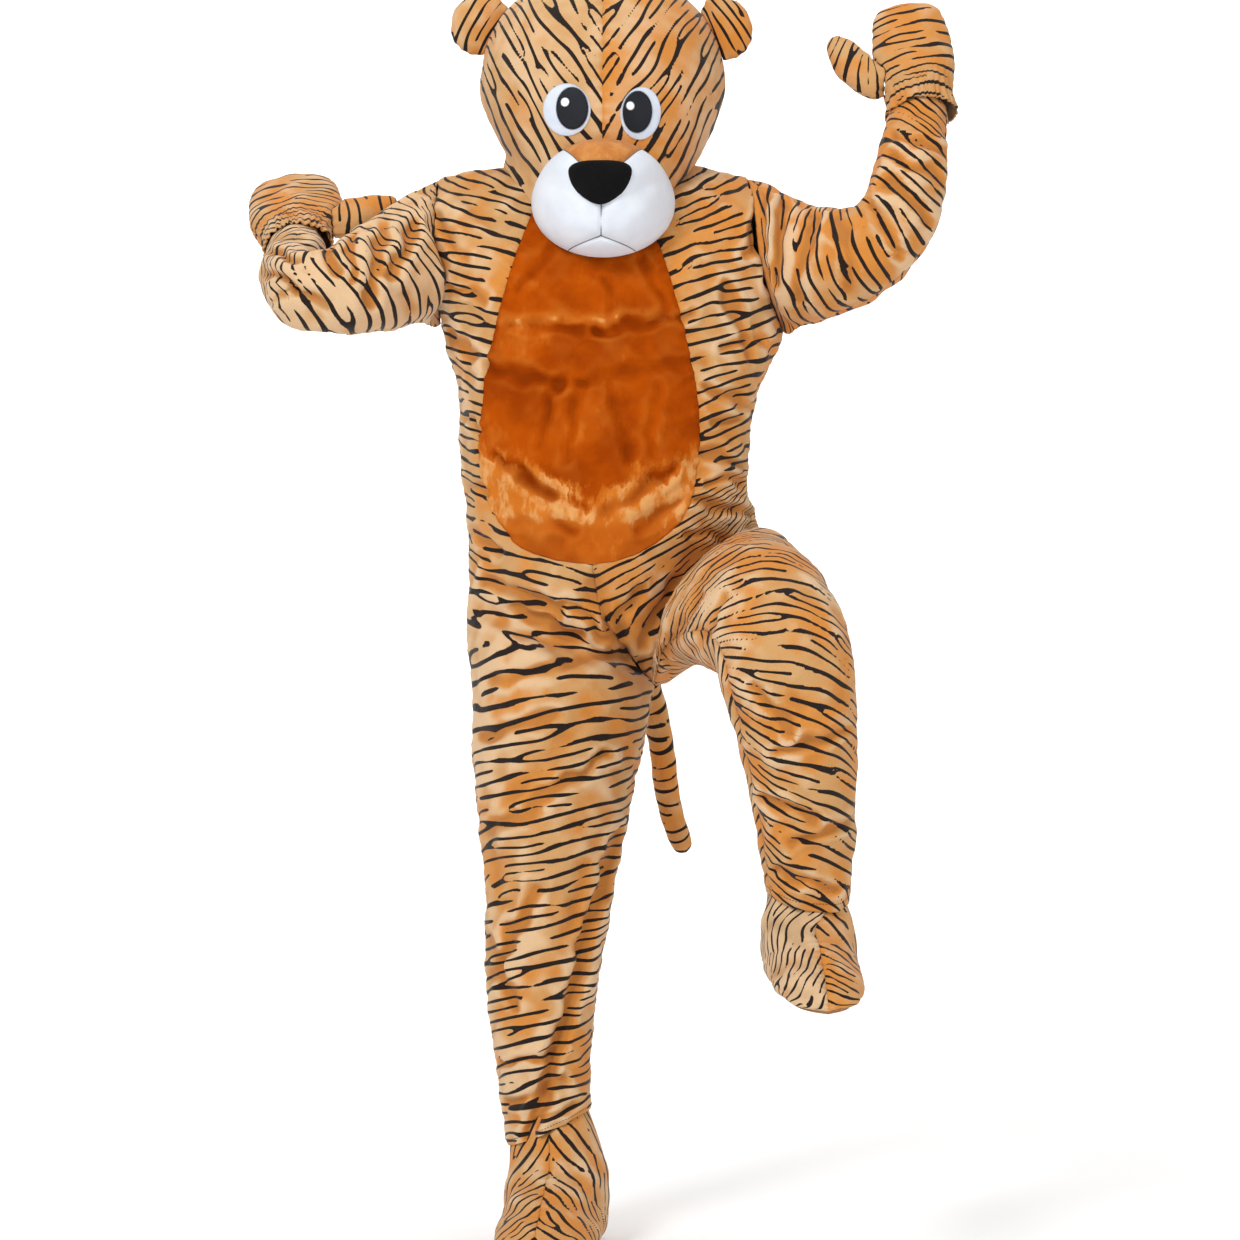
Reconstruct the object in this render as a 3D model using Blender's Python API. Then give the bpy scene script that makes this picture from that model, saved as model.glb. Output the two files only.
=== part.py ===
"""Tiger mascot costume: plush jumpsuit, head, mittens and boot covers, in the pose of a dancing wearer.

Metres, +Z up. The front faces -Y and the wearer's left is toward +X. The origin is at the shoulder line.
Every cloth piece is a thin wall with open neck, cuffs and hems, and nobody is inside.
"""

import math

import bmesh
import bpy
import numpy as np
from mathutils import Matrix, Vector
from mathutils.bvhtree import BVHTree

# Driving sizes
CLOTH = 0.002  # wall of the short-pile plush
HEAD_WALL = 0.006  # wall of the foam-backed head
FELT = 0.0012  # eye pieces
SEAM = 0.00015  # a sewn edge stands this far back from its seam line
TIP_SEAM = 0.0008  # the same at a point where pieces meet in a tip
LIFT = 0.0003  # clearance under a piece that lies on another
MUZZLE_EDGE = 0.004  # thickness of the muzzle at its sewn rim

RIGHT, LEFT = -1, 1  # the wearer's sides, as signs of X
FRONT, BACK = -1, 1  # as signs of Y
HAND = {RIGHT: "right", LEFT: "left"}
FACE = {FRONT: "front", BACK: "back"}
CROTCH = np.array([0.084, 0.010, -0.707])  # where both fronts and both backs meet


def table(text):
    """Read a table: its first line names the columns and each other line is a row."""
    lines = [line.split() for line in text.strip().splitlines()]
    values = np.array([[float(word) for word in line] for line in lines[1:]])
    return dict(zip(lines[0], values.T))


# Rows of the trunk from the neckline down to the hip. A row runs from the centre line to its end on the
# shoulder seam, armhole or side seam. sweep is the share of a quarter oval that it runs through, end_y is
# how far its end stands in front of (or behind) the shoulder line, and turn moves it as the trunk twists.
TORSO = table("""
front_x front_y front_z back_x back_y  back_z right_x right_z  left_x left_z  end_y sweep   turn
 -0.002  -0.088  -0.062  0.012  0.086  -0.004  -0.088   0.024   0.104  0.024  0.000  1.00  0.000
 -0.003  -0.108  -0.086  0.010  0.108  -0.024  -0.128   0.019   0.139  0.019  0.000  1.00  0.000
 -0.004  -0.119  -0.108  0.008  0.119  -0.048  -0.172   0.011   0.176  0.011  0.000  0.98  0.000
 -0.005  -0.127  -0.131  0.007  0.126  -0.074  -0.217   0.000   0.212  0.002  0.000  0.88  0.000
 -0.006  -0.133  -0.155  0.007  0.130  -0.102  -0.220  -0.030   0.217 -0.026  0.050  0.74  0.000
 -0.007  -0.137  -0.180  0.008  0.132  -0.131  -0.221  -0.072   0.222 -0.070  0.078  0.64  0.000
 -0.007  -0.140  -0.206  0.010  0.133  -0.160  -0.220  -0.118   0.228 -0.118  0.082  0.62  0.000
 -0.007  -0.142  -0.232  0.012  0.133  -0.190  -0.218  -0.164   0.243 -0.170  0.060  0.70  0.002
 -0.007  -0.144  -0.260  0.014  0.132  -0.222  -0.216  -0.204   0.262 -0.216  0.000  0.90  0.006
 -0.007  -0.146  -0.292  0.017  0.131  -0.262  -0.205  -0.244   0.249 -0.252  0.000  1.00  0.012
 -0.007  -0.148  -0.330  0.020  0.130  -0.306  -0.193  -0.294   0.231 -0.289  0.000  1.00  0.020
 -0.007  -0.150  -0.375  0.023  0.130  -0.356  -0.191  -0.350   0.219 -0.330  0.000  1.00  0.022
 -0.007  -0.151  -0.425  0.027  0.133  -0.410  -0.187  -0.410   0.215 -0.374  0.000  1.00  0.022
 -0.006  -0.150  -0.478  0.031  0.139  -0.468  -0.181  -0.466   0.213 -0.402  0.000  1.00  0.018
 -0.003  -0.143  -0.530  0.034  0.146  -0.530  -0.178  -0.516   0.213 -0.424  0.000  1.00  0.012
  0.004  -0.126  -0.585  0.038  0.148  -0.592  -0.177  -0.553   0.216 -0.442  0.000  1.00  0.006
  0.022  -0.098  -0.636  0.050  0.132  -0.650  -0.178  -0.592   0.224 -0.460  0.000  1.00  0.000
""")
SHOULDER_ROW, UNDERARM_ROW = 3, 8  # the armhole lies between these rows

# Sections of the legs from the crotch down to the hem: centre, half width and half depth. turn swings the
# section's outer side backward, lift raises it, and rise tips the section's front side upward (degrees).
LEG = {
    RIGHT: table("""
    x      y      z      half_width half_depth turn lift rise
   -0.046  0.000 -0.655  0.136      0.135      0    14    0
   -0.050  0.004 -0.752  0.123      0.126      0    9     0
   -0.056  0.006 -0.820  0.116      0.116      0    3     0
   -0.059  0.006 -0.900  0.104      0.107      0    0     0
   -0.064  0.008 -1.000  0.090      0.096      0    0     0
   -0.072  0.010 -1.100  0.0815     0.088      0    0     0
   -0.074  0.012 -1.190  0.0715     0.079      0   -4     0
   -0.070  0.012 -1.262  0.0655     0.072      0   -12    0
   -0.0645 0.010 -1.325  0.0640     0.069      0   -24    0
"""),
    LEFT: table("""
    x      y      z      half_width half_depth turn lift rise
    0.157  0.000 -0.591  0.132      0.118      0    56    25
    0.180 -0.092 -0.584  0.115      0.104      12   40    52
    0.209 -0.180 -0.598  0.101      0.096      20   21    74
    0.233 -0.252 -0.620  0.094      0.096      26   8     66
    0.250 -0.294 -0.664  0.091      0.090      27   0     32
    0.260 -0.290 -0.720  0.088      0.083      27   0     2
    0.272 -0.262 -0.802  0.079      0.075      27   0    -17
    0.281 -0.232 -0.885  0.069      0.069      27   0    -20
    0.286 -0.198 -0.985  0.057      0.060      27   0    -20
"""),
}
TORSO_ROWS = len(TORSO["front_z"])
SUIT_ROWS = TORSO_ROWS + len(LEG[RIGHT]["x"])
CROTCH_FADE = 0.3  # share of a row over which the legs part smoothly at the crotch

# The tummy panel's egg outline, seen from the front
EGG_TOP_Z, EGG_TOP_HALF = -0.080, 0.088
EGG_WIDEST_Z, EGG_HALF = -0.370, 0.1535
EGG_BOTTOM_Z = -0.540
EGG_CLOSE_ROWS = 0.7

# The largest folds, seen from the front: from one end to the other, how wide and how deep (a trough is
# negative). face says which side of the suit they are on: -1 front, 1 back.
FOLDS = table("""
face x0     z0     x1     z1     width depth
-1  -0.140 -0.540 -0.030 -0.665  0.022 -0.008
-1   0.000 -0.565  0.060 -0.690  0.018 -0.008
-1   0.170 -0.360  0.090 -0.480  0.020 -0.006
-1   0.150 -0.520  0.060 -0.640  0.022 -0.007
-1  -0.010 -0.960 -0.060 -1.270  0.020 -0.008
-1  -0.150 -0.930 -0.110 -1.130  0.020 -0.005
-1  -0.020 -0.760 -0.110 -0.860  0.022 -0.006
-1   0.240 -0.720  0.290 -0.800  0.018 -0.006
-1   0.250 -0.870  0.310 -0.930  0.016 -0.005
 1  -0.140 -0.480  0.060 -0.440  0.024 -0.008
 1   0.170 -0.560  0.060 -0.640  0.022 -0.008
 1  -0.140 -0.620  0.030 -0.680  0.022 -0.008
 1  -0.110 -0.820 -0.010 -0.900  0.022 -0.006
 1  -0.100 -1.050 -0.060 -1.240  0.020 -0.006
""")


# ---------------------------------------------------------------- curves and surfaces


def ease(t):
    """Smooth step from 0 to 1."""
    t = np.clip(t, 0.0, 1.0)
    return t * t * (3.0 - 2.0 * t)


def unit(vectors):
    """Vectors of length one; a zero vector stays zero."""
    length = np.linalg.norm(vectors, axis=-1, keepdims=True)
    return vectors / np.maximum(length, 1e-12)


def catmull_rom(before, here, there, after, f):
    """Point a share f of the way along a smooth curve from here to there."""
    return 0.5 * (
        2.0 * here
        + (there - before) * f
        + (2.0 * before - 5.0 * here + 4.0 * there - after) * f**2
        + (3.0 * here - before - 3.0 * there + after) * f**3
    )


def through_rows(row, count, u, mend=None):
    """Smooth surface through count rows: row(k) gives the points of the rows k, and u counts in rows."""
    k = np.clip(np.floor(u).astype(int), 0, count - 2)
    f = (u - k)[..., None]
    rows = [row(np.clip(k + step, 0, count - 1)) for step in (-1, 0, 1, 2)]
    if mend:
        rows = mend(k, rows)
    return catmull_rom(*rows, f)


def smooth_column(values, u):
    """Read a table's column between its rows."""
    column = np.asarray(values)[:, None]
    return through_rows(lambda k: column[k], len(column), np.asarray(u, float))[..., 0]


def surface_frame(surface, u, w, u_range, w_range, sign):
    """Points of surface(u, w) and its normals, sign choosing the side."""
    step = 0.01
    along = surface(np.minimum(u + step, u_range[1]), w) - surface(np.maximum(u - step, u_range[0]), w)
    across = surface(u, np.minimum(w + step, w_range[1])) - surface(u, np.maximum(w - step, w_range[0]))
    return surface(u, w), sign * unit(np.cross(along, across))


# ---------------------------------------------------------------- the suit's surface


def torso_row(side, face, k, w):
    """Points of the trunk rows k, w running from the centre line (0) to the row's end (1)."""
    x0 = TORSO[FACE[face] + "_x"][k]
    y0 = TORSO[FACE[face] + "_y"][k]
    z0 = TORSO[FACE[face] + "_z"][k]
    x1 = TORSO[HAND[side] + "_x"][k]
    y1 = face * TORSO["end_y"][k] - side * TORSO["turn"][k]
    z1 = TORSO[HAND[side] + "_z"][k]
    full = TORSO["sweep"][k] * math.pi / 2
    across = np.sin(full * w) / np.sin(full)
    round_to_side = (1.0 - np.cos(full * w)) / (1.0 - np.cos(full))
    return np.stack(
        [x0 + (x1 - x0) * across, y0 + (y1 - y0) * round_to_side, z0 + (z1 - z0) * ease(w)], axis=-1
    )


def leg_axes(side, k):
    """Outward and forward unit vectors of the leg sections k."""
    leg = LEG[side]
    turn, lift, rise = (np.radians(smooth_column(leg[name], k)) for name in ("turn", "lift", "rise"))
    outward = np.stack([side * np.cos(turn) * np.cos(lift), np.sin(turn) * np.cos(lift), np.sin(lift)], axis=-1)
    forward = np.stack([side * np.sin(turn) * np.cos(rise), -np.cos(turn) * np.cos(rise), np.sin(rise)], axis=-1)
    forward -= np.sum(forward * outward, axis=-1, keepdims=True) * outward
    return outward, unit(forward)


def leg_row(side, face, k, w):
    """Points of the leg sections k, w running from the inseam (0) round to the side seam (1)."""
    leg = LEG[side]
    outward, forward = leg_axes(side, k)
    half_width = leg["half_width"][k][..., None]
    half_depth = leg["half_depth"][k][..., None]
    centre = np.stack([leg["x"][k], leg["y"][k], leg["z"][k]], axis=-1)
    centre = np.where((k == 0)[..., None], CROTCH + half_width * outward, centre)
    angle = (math.pi * w)[..., None]
    return centre - half_width * np.cos(angle) * outward - face * half_depth * np.sin(angle) * forward


def suit_surface(side, face):
    """The suit's surface on one side of one face, as a function of row u and share w across the panel."""

    def point(u, w):
        u, w = np.broadcast_arrays(np.asarray(u, float), np.asarray(w, float))

        def row(k):
            trunk = torso_row(side, face, np.minimum(k, TORSO_ROWS - 1), w)
            leg = leg_row(side, face, np.maximum(k - TORSO_ROWS, 0), w)
            return np.where((k < TORSO_ROWS)[..., None], trunk, leg)

        def mend_crotch(k, rows):
            before, here, there, after = rows
            fade = ease(w / CROTCH_FADE)[..., None]
            above, below = (k + 1 == TORSO_ROWS)[..., None], (k == TORSO_ROWS)[..., None]
            after = np.where(above, there + (after - there) * fade, after)
            before = np.where(below, here + (before - here) * fade, before)
            return before, here, there, after

        return through_rows(row, SUIT_ROWS, u, mend_crotch)

    return point


def fold_height(points, normals):
    """How far the folds raise or sink the cloth at points whose normals are given."""
    height = np.zeros(points.shape[:-1])
    for face, x0, z0, x1, z1, width, depth in zip(*FOLDS.values()):
        start, end = np.array([x0, z0]), np.array([x1, z1])
        seen = points[..., [0, 2]]
        share = np.clip(((seen - start) @ (end - start)) / np.sum((end - start) ** 2), 0.0, 1.0)
        distance = np.linalg.norm(seen - start - share[..., None] * (end - start), axis=-1)
        facing = ease(face * normals[..., 1] * 1.6)
        height += depth * np.exp(-((distance / width) ** 2)) * facing
    return height


def bare_frame(side, face, u, w):
    """Points and outward normals of the suit's outer surface without its folds."""
    return surface_frame(suit_surface(side, face), u, w, (0, SUIT_ROWS - 1), (0, 1), -side * face)


def suit_frame(side, face, u, w):
    """Points and outward normals of the suit's outer surface, with its folds; panels agree at their seams."""
    u, w = np.broadcast_arrays(np.asarray(u, float), np.asarray(w, float))
    points, normals = bare_frame(side, face, u, w)
    across = bare_frame(-side, face, u, w)[1] if (u < TORSO_ROWS - 0.5).any() else normals
    behind = bare_frame(side, -face, u, w)[1]
    at_middle = np.where(((w < 1e-6) & (u < TORSO_ROWS - 0.5))[..., None], across, normals)
    sewn = (w > 1 - 1e-6) & ~((u > SHOULDER_ROW + 0.01) & (u < UNDERARM_ROW - 0.01))
    at_side = np.where((sewn | ((w < 1e-6) & (u >= TORSO_ROWS - 0.5)))[..., None], behind, normals)
    normals = unit(normals + (at_middle - normals) / 2 + (at_side - normals) / 2)
    return points + fold_height(points, normals)[..., None] * normals, normals


def egg_half_width(z):
    """Half width of the tummy panel at height z; zero below its lowest point."""
    above = np.clip((z - EGG_WIDEST_Z) / (EGG_TOP_Z - EGG_WIDEST_Z), 0.0, 1.5)
    below = np.clip((EGG_WIDEST_Z - z) / (EGG_WIDEST_Z - EGG_BOTTOM_Z), 0.0, 1.0)
    upper = EGG_HALF - (EGG_HALF - EGG_TOP_HALF) * above**1.6
    lower = EGG_HALF * (1.0 - below**2.3) ** (1 / 2.3)
    return np.where(z > EGG_WIDEST_Z, upper, lower)


def egg_crossing(side, u):
    """Share w at which the tummy panel's outline crosses each row u of a front panel."""
    low, high = np.zeros_like(u), np.full_like(u, 0.95)
    for _ in range(30):
        middle = (low + high) / 2
        point = suit_surface(side, FRONT)(u, middle)
        inside = np.abs(point[..., 0] - TORSO["front_x"][8]) < egg_half_width(point[..., 2])
        low, high = np.where(inside, middle, low), np.where(inside, high, middle)
    return low


def egg_share(side, u):
    """Share w of the tummy panel's edge on each row u; it closes in a curve over its last rows."""
    start = egg_bottom_row() - EGG_CLOSE_ROWS
    closing = np.clip((u - start) / EGG_CLOSE_ROWS, 0.0, 1.0)
    return egg_crossing(side, np.minimum(u, start)) * (1.0 - closing**1.9) ** (1 / 1.9)


def egg_bottom_row():
    """Row u at which the centre line reaches the tummy panel's lowest point."""
    u = np.linspace(10, TORSO_ROWS - 1, 4001)
    z = suit_surface(LEFT, FRONT)(u, np.zeros_like(u))[:, 2]
    return float(np.interp(-EGG_BOTTOM_Z, -z, u))


# ---------------------------------------------------------------- meshes


def add_object(name, mesh, colour, roughness, metallic=0.0):
    """Put a mesh in the costume's collection with a material of its own."""
    material = bpy.data.materials.new(name)
    material.use_nodes = True
    shader = material.node_tree.nodes["Principled BSDF"]
    shader.inputs["Base Color"].default_value = (*colour, 1.0)
    shader.inputs["Roughness"].default_value = roughness
    shader.inputs["Metallic"].default_value = metallic
    mesh.materials.clear()
    mesh.materials.append(material)
    mesh.shade_smooth()
    mesh.set_sharp_from_angle(angle=math.radians(50))
    obj = bpy.data.objects.new(name, mesh)
    bpy.data.collections[COLLECTION].objects.link(obj)
    return obj


def mesh_from(name, points, faces):
    """Mesh with welded points and faces that point outward."""
    mesh = bpy.data.meshes.new(name)
    mesh.from_pydata([tuple(p) for p in points], [], faces)
    shape = bmesh.new()
    shape.from_mesh(mesh)
    bmesh.ops.remove_doubles(shape, verts=shape.verts, dist=1e-6)
    bmesh.ops.triangulate(shape, faces=[f for f in shape.faces if len(f.verts) > 4])
    bmesh.ops.recalc_face_normals(shape, faces=shape.faces)
    shape.to_mesh(mesh)
    shape.free()
    return mesh


def grid_faces(rows, columns, closed, first=0):
    """Triangles of a grid whose points are numbered row by row from first, each cell cut the same way."""
    faces = []
    for r in range(rows - 1):
        for c in range(columns if closed else columns - 1):
            here, beside = first + r * columns + c, first + r * columns + (c + 1) % columns
            faces += [[here, beside, beside + columns], [here, beside + columns, here + columns]]
    return faces


def wall(name, outer, inner, closed=False, **look):
    """Cloth between an outer and an inner grid of points; closed joins the last column to the first."""
    rows, columns = outer.shape[:2]
    count = rows * columns
    faces = grid_faces(rows, columns, closed) + grid_faces(rows, columns, closed, count)
    ends = [r for r in (0, rows - 1) if not is_tip(outer[r])]
    edges = [[r * columns + c for c in range(columns)] + ([r * columns] if closed else []) for r in ends]
    if not closed:
        edges += [[r * columns + c for r in range(rows)] for c in (0, columns - 1)]
    for edge in edges:
        faces += [[a, b, b + count, a + count] for a, b in zip(edge, edge[1:])]
    points = np.concatenate([outer.reshape(-1, 3), inner.reshape(-1, 3)])
    return add_object(name, mesh_from(name, points, faces), **look)


def solid(name, grid, **look):
    """Filled body from closed rows; its first and last rows are tips or are capped."""
    rows, columns = grid.shape[:2]
    faces = grid_faces(rows, columns, True)
    faces += [list(range(columns)), list(range((rows - 1) * columns, rows * columns))]
    return add_object(name, mesh_from(name, grid.reshape(-1, 3), faces), **look)


def is_tip(row):
    return np.ptp(row, axis=0).max() < 1e-6


def stand_back(grid, first=True, last=True):
    """Move a grid's first and last columns back from their seam lines, and its tips with them."""
    grid = grid.copy()
    tips = [r for r in (0, len(grid) - 1) if is_tip(grid[r])]
    body = [r for r in range(len(grid)) if r not in tips]
    for column, neighbour, wanted in ((0, 1, first), (-1, -2, last)):
        if not wanted:
            continue
        tangent = unit(np.gradient(grid[:, column], axis=0))
        inward = grid[:, neighbour] - grid[:, column]
        inward = unit(inward - np.sum(inward * tangent, axis=-1, keepdims=True) * tangent)
        grid[body, column] += SEAM * inward[body]
    for tip in tips:
        next_row = 1 if tip == 0 else len(grid) - 2
        grid[tip] += TIP_SEAM * unit(grid[next_row].mean(axis=0) - grid[tip, 0])
    return grid


# ---------------------------------------------------------------- jumpsuit

PLUSH = {"colour": (0.80, 0.45, 0.16), "roughness": 0.85}
TUMMY = {"colour": (0.46, 0.13, 0.01), "roughness": 0.8}
PANEL_CELLS = 6  # cells across a panel
TUMMY_CELLS = 3  # cells across half the tummy panel
ZIP_HALF = 0.006  # half width of the visible zip
ZIP_END_ROW = 13.0  # the zip runs from the neckline down to this row


def suit_rows():
    """The rows u of the jumpsuit panels: the trunk's, closer near the tummy's lower end, then the legs'."""
    bottom = egg_bottom_row()
    trunk = list(np.arange(0.0, SHOULDER_ROW)) + list(np.arange(SHOULDER_ROW, UNDERARM_ROW, 0.5))
    trunk += [float(k) for k in range(UNDERARM_ROW, TORSO_ROWS) if k < bottom - 0.9]
    curve = [bottom - d for d in (0.9, 0.6, 0.36, 0.15, 0.0)]
    rest = [float(k) for k in range(TORSO_ROWS) if k > bottom + 0.3]
    legs = list(np.arange(TORSO_ROWS - 0.5, SUIT_ROWS - 0.75, 0.5))
    return np.array(trunk + curve + rest + legs), bottom


def zip_share(side, u):
    """Share w of the zip's edge on a back panel; zero below the zip."""
    width = np.abs(suit_surface(side, BACK)(u, np.full_like(u, 0.1))[..., 0] - suit_surface(side, BACK)(u, 0 * u)[..., 0])
    return np.where(u < ZIP_END_ROW + 0.01, 0.1 * ZIP_HALF / width, 0.0)


def panel_grid(side, face, rows, shares):
    """Outer points and normals of a panel strip: shares has one row of w values for each row u."""
    u = np.broadcast_to(rows[:, None], shares.shape)
    return suit_frame(side, face, u, shares)


def build_suit_panels():
    rows, _ = suit_rows()
    for side in (RIGHT, LEFT):
        for face in (FRONT, BACK):
            start = egg_share(side, rows) if face == FRONT else zip_share(side, rows)
            steps = np.linspace(0.0, 1.0, PANEL_CELLS + 1)
            shares = start[:, None] + (1.0 - start[:, None]) * steps
            points, normals = panel_grid(side, face, rows, shares)
            armhole = (rows >= SHOULDER_ROW) & (rows <= UNDERARM_ROW)
            normals[armhole, -1, 0] = 0.0
            normals[armhole, -1] = unit(normals[armhole, -1])
            points = stand_back(points)
            wall(f"suit_{FACE[face]}_{HAND[side]}", points, points - CLOTH * normals, **PLUSH)


def build_tummy():
    rows, bottom = suit_rows()
    rows = rows[rows < bottom + 1e-6]
    steps = np.linspace(0.0, 1.0, TUMMY_CELLS + 1)
    halves = {}
    for side in (RIGHT, LEFT):
        shares = egg_share(side, rows)[:, None] * steps
        halves[side] = panel_grid(side, FRONT, rows, shares)
    points, normals = (np.concatenate([halves[RIGHT][i][:, :0:-1], halves[LEFT][i]], axis=1) for i in (0, 1))
    points[-1], normals[-1] = points[-1].mean(axis=0), unit(normals[-1].mean(axis=0))
    points = stand_back(points)
    wall("tummy_panel", points, points - CLOTH * normals, **TUMMY)


# ---------------------------------------------------------------- sleeves

# The arms' paths from the armhole to the wrist, with the sleeve's half sizes across and front to back.
ARM = {
    RIGHT: table("""
    x      y      z      half_up half_side
   -0.217  0.000 -0.095  0.098   0.080
   -0.262 -0.052 -0.124  0.081   0.074
   -0.303 -0.104 -0.150  0.073   0.066
   -0.346 -0.154 -0.168  0.060   0.046
   -0.396 -0.156 -0.168  0.053   0.042
   -0.419 -0.110 -0.148  0.047   0.038
   -0.416 -0.066 -0.128  0.045   0.042
   -0.415 -0.034 -0.112  0.0420  0.0420
   -0.416 -0.008 -0.097  0.0399  0.0399
"""),
    LEFT: table("""
    x      y      z      half_up half_side
    0.238  0.000 -0.108  0.098   0.080
    0.292 -0.040 -0.122  0.082   0.077
    0.340 -0.077 -0.118  0.071   0.070
    0.384 -0.106 -0.100  0.060   0.064
    0.416 -0.118 -0.066  0.054   0.060
    0.430 -0.110 -0.020  0.052   0.057
    0.438 -0.092  0.028  0.048   0.050
    0.445 -0.073  0.066  0.040   0.040
    0.449 -0.060  0.092  0.0375  0.0375
"""),
}
SLEEVE_BLEND = 1.2  # rows over which the armhole's shape turns into the arm's


def carried_axes(centres, up):
    """Unit vectors along a path and across it, the second carried along without twisting."""
    along = unit(np.gradient(centres, axis=0))
    ups = []
    for direction in along:
        up = unit(up - np.dot(up, direction) * direction)
        ups.append(up)
    return along, np.array(ups)


def path_rows(path, ups, sides):
    """Rows of a tube: its centres and its two half axes."""
    centres = np.stack([path["x"], path["y"], path["z"]], axis=-1)
    return np.concatenate([centres, ups * path["half_up"][:, None], sides * path["half_side"][:, None]], axis=-1)


def carried_rows(path, up, hand):
    """Rows of a tube along a table's path; hand chooses which way its second axis points."""
    along, ups = carried_axes(np.stack([path["x"], path["y"], path["z"]], axis=-1), np.array(up, float))
    return path_rows(path, ups, hand * np.cross(along, ups))


def tube_surface(rows):
    """Surface through a tube's rows, as a function of row and angle."""

    def point(u, angle):
        u, angle = np.broadcast_arrays(np.asarray(u, float), np.asarray(angle, float))
        centre, up_arm, side_arm = np.split(through_rows(lambda k: rows[k], len(rows), u), 3, axis=-1)
        return centre + np.cos(angle)[..., None] * up_arm + np.sin(angle)[..., None] * side_arm

    return point


def grid_normals(grid, closed=True):
    """Outward normals of a tube's grid of points."""
    along = np.gradient(grid, axis=0)
    if closed:
        across = np.roll(grid, -1, axis=1) - np.roll(grid, 1, axis=1)
    else:
        across = np.gradient(grid, axis=1)
    normals = unit(np.cross(along, across))
    outward = grid - grid.mean(axis=1, keepdims=True)
    return normals * np.sign(np.sum(normals * outward))


def tube_from_opening(opening, tube_rows, rows, blend):
    """Grid of a tube that starts on an opening's ring of points and turns into its rows over blend rows."""
    surface = tube_surface(tube_rows)
    centre, up, side = np.split(tube_rows[0], 3)
    angles = np.unwrap(np.arctan2((opening - centre) @ unit(side), (opening - centre) @ unit(up)))
    step = tube_rows[1, :3] - centre
    share = ease(rows / blend)[:, None, None]
    start = opening + 2 * SEAM * unit(step) + rows[:, None, None] * step
    return (1.0 - share) * start + share * surface(rows[:, None], angles[None])


def armhole_ring(side):
    """Points round the armhole: down its front from the shoulder, then up its back."""
    rows, _ = suit_rows()
    rows = rows[(rows >= SHOULDER_ROW) & (rows <= UNDERARM_ROW)]
    ends = np.ones_like(rows)
    front, _ = suit_frame(side, FRONT, rows, ends)
    back, _ = suit_frame(side, BACK, rows, ends)
    return np.concatenate([front, back[-2:0:-1]])


def build_sleeves():
    for side in (RIGHT, LEFT):
        tube_rows = carried_rows(ARM[side], (0, 0, 1), side)
        rows = np.concatenate([[0.0, 0.3, 0.65, 1.0, 1.5], np.arange(2.0, 5.25, 0.5), np.arange(6.0, len(tube_rows))])
        grid = tube_from_opening(armhole_ring(side), tube_rows, rows, SLEEVE_BLEND)
        normals = grid_normals(grid)
        normals[0, :, 0] = 0.0
        normals[0] = unit(normals[0])
        wall(f"sleeve_{HAND[side]}", grid, grid - CLOTH * normals, closed=True, **PLUSH)


# ---------------------------------------------------------------- mittens

# Sections of a mitten from the end of its frill, past the elastic at z = 0, to the tip
MITTEN = table("""
 z      half_width half_thick gather
-0.020  0.0500     0.0480     0.0030
-0.009  0.0480     0.0462     0.0024
 0.000  0.0470     0.0452     0.0020
 0.014  0.0480     0.0440     0.0018
 0.032  0.0515     0.0400     0.0010
 0.050  0.0540     0.0370     0.0004
 0.068  0.0560     0.0340     0.0000
 0.086  0.0565     0.0320     0.0000
 0.108  0.0560     0.0290     0.0000
 0.132  0.0540     0.0250     0.0000
 0.156  0.0490     0.0200     0.0000
 0.174  0.0370     0.0130     0.0000
 0.184  0.0000     0.0000     0.0000
""")
MITTEN_CELLS = 10  # cells across each half; the gathers rise and sink cell by cell
THUMB_ROWS = (3, 7)  # the thumb's opening lies between these rows
THUMB_OPEN = 0.20  # half of the opening, as a share of a half's width
THUMB_BLEND = 1.5  # rows over which the opening's shape turns into the thumb's

# Sections of the thumbs from the opening's middle: outward and toward the fingertips, and tipped (degrees)
THUMB = {
    RIGHT: table("""
    out    forward tilt half_up half_side
    0.000  0.000   0    0.040   0.0200
    0.012  0.003   4    0.040   0.0220
    0.028  0.009   10   0.036   0.0230
    0.046  0.016   16   0.030   0.0220
    0.062  0.023   18   0.024   0.0190
    0.076  0.030   20   0.017   0.0150
    0.085  0.036   20   0.010   0.0090
    0.088  0.038   20   0.000   0.0000
"""),
    LEFT: table("""
    out    forward tilt half_up half_side
    0.000  0.000   0    0.034   0.0200
    0.011  0.002   0    0.034   0.0215
    0.023  0.010   18   0.031   0.0220
    0.035  0.022   36   0.028   0.0220
    0.046  0.038   48   0.025   0.0200
    0.054  0.055   54   0.019   0.0150
    0.060  0.068   54   0.011   0.0090
    0.062  0.073   54   0.000   0.0000
"""),
}

# Where each mitten is: its wrist, where its fingers point and its thumb side faces, and its width and length
# against the table
HANDS = {
    RIGHT: {
        "wrist": (-0.416, 0.002, -0.090), "fingers": (-0.10, 0.80, 0.60), "thumb": (0.99, 0.05, 0.12),
        "width": 1.2, "length": 1.0,
    },
    LEFT: {
        "wrist": (0.450, -0.055, 0.101), "fingers": (-0.085, 0.40, 0.90), "thumb": (-0.99, 0.05, 0.02),
        "width": 1.0, "length": 0.88,
    },
}
FAN_Z = (0.0, 0.06)  # a mitten widens between these distances from the wrist


def hand_axes(side):
    """Wrist point and the unit vectors toward the thumb, the palm's front and the fingertips."""
    hand = HANDS[side]
    fingers = unit(np.array(hand["fingers"], float))
    thumb = np.array(hand["thumb"], float)
    thumb = unit(thumb - np.dot(thumb, fingers) * fingers)
    palm = -side * np.cross(thumb, fingers)
    return np.array(hand["wrist"]), thumb, palm, fingers


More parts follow.
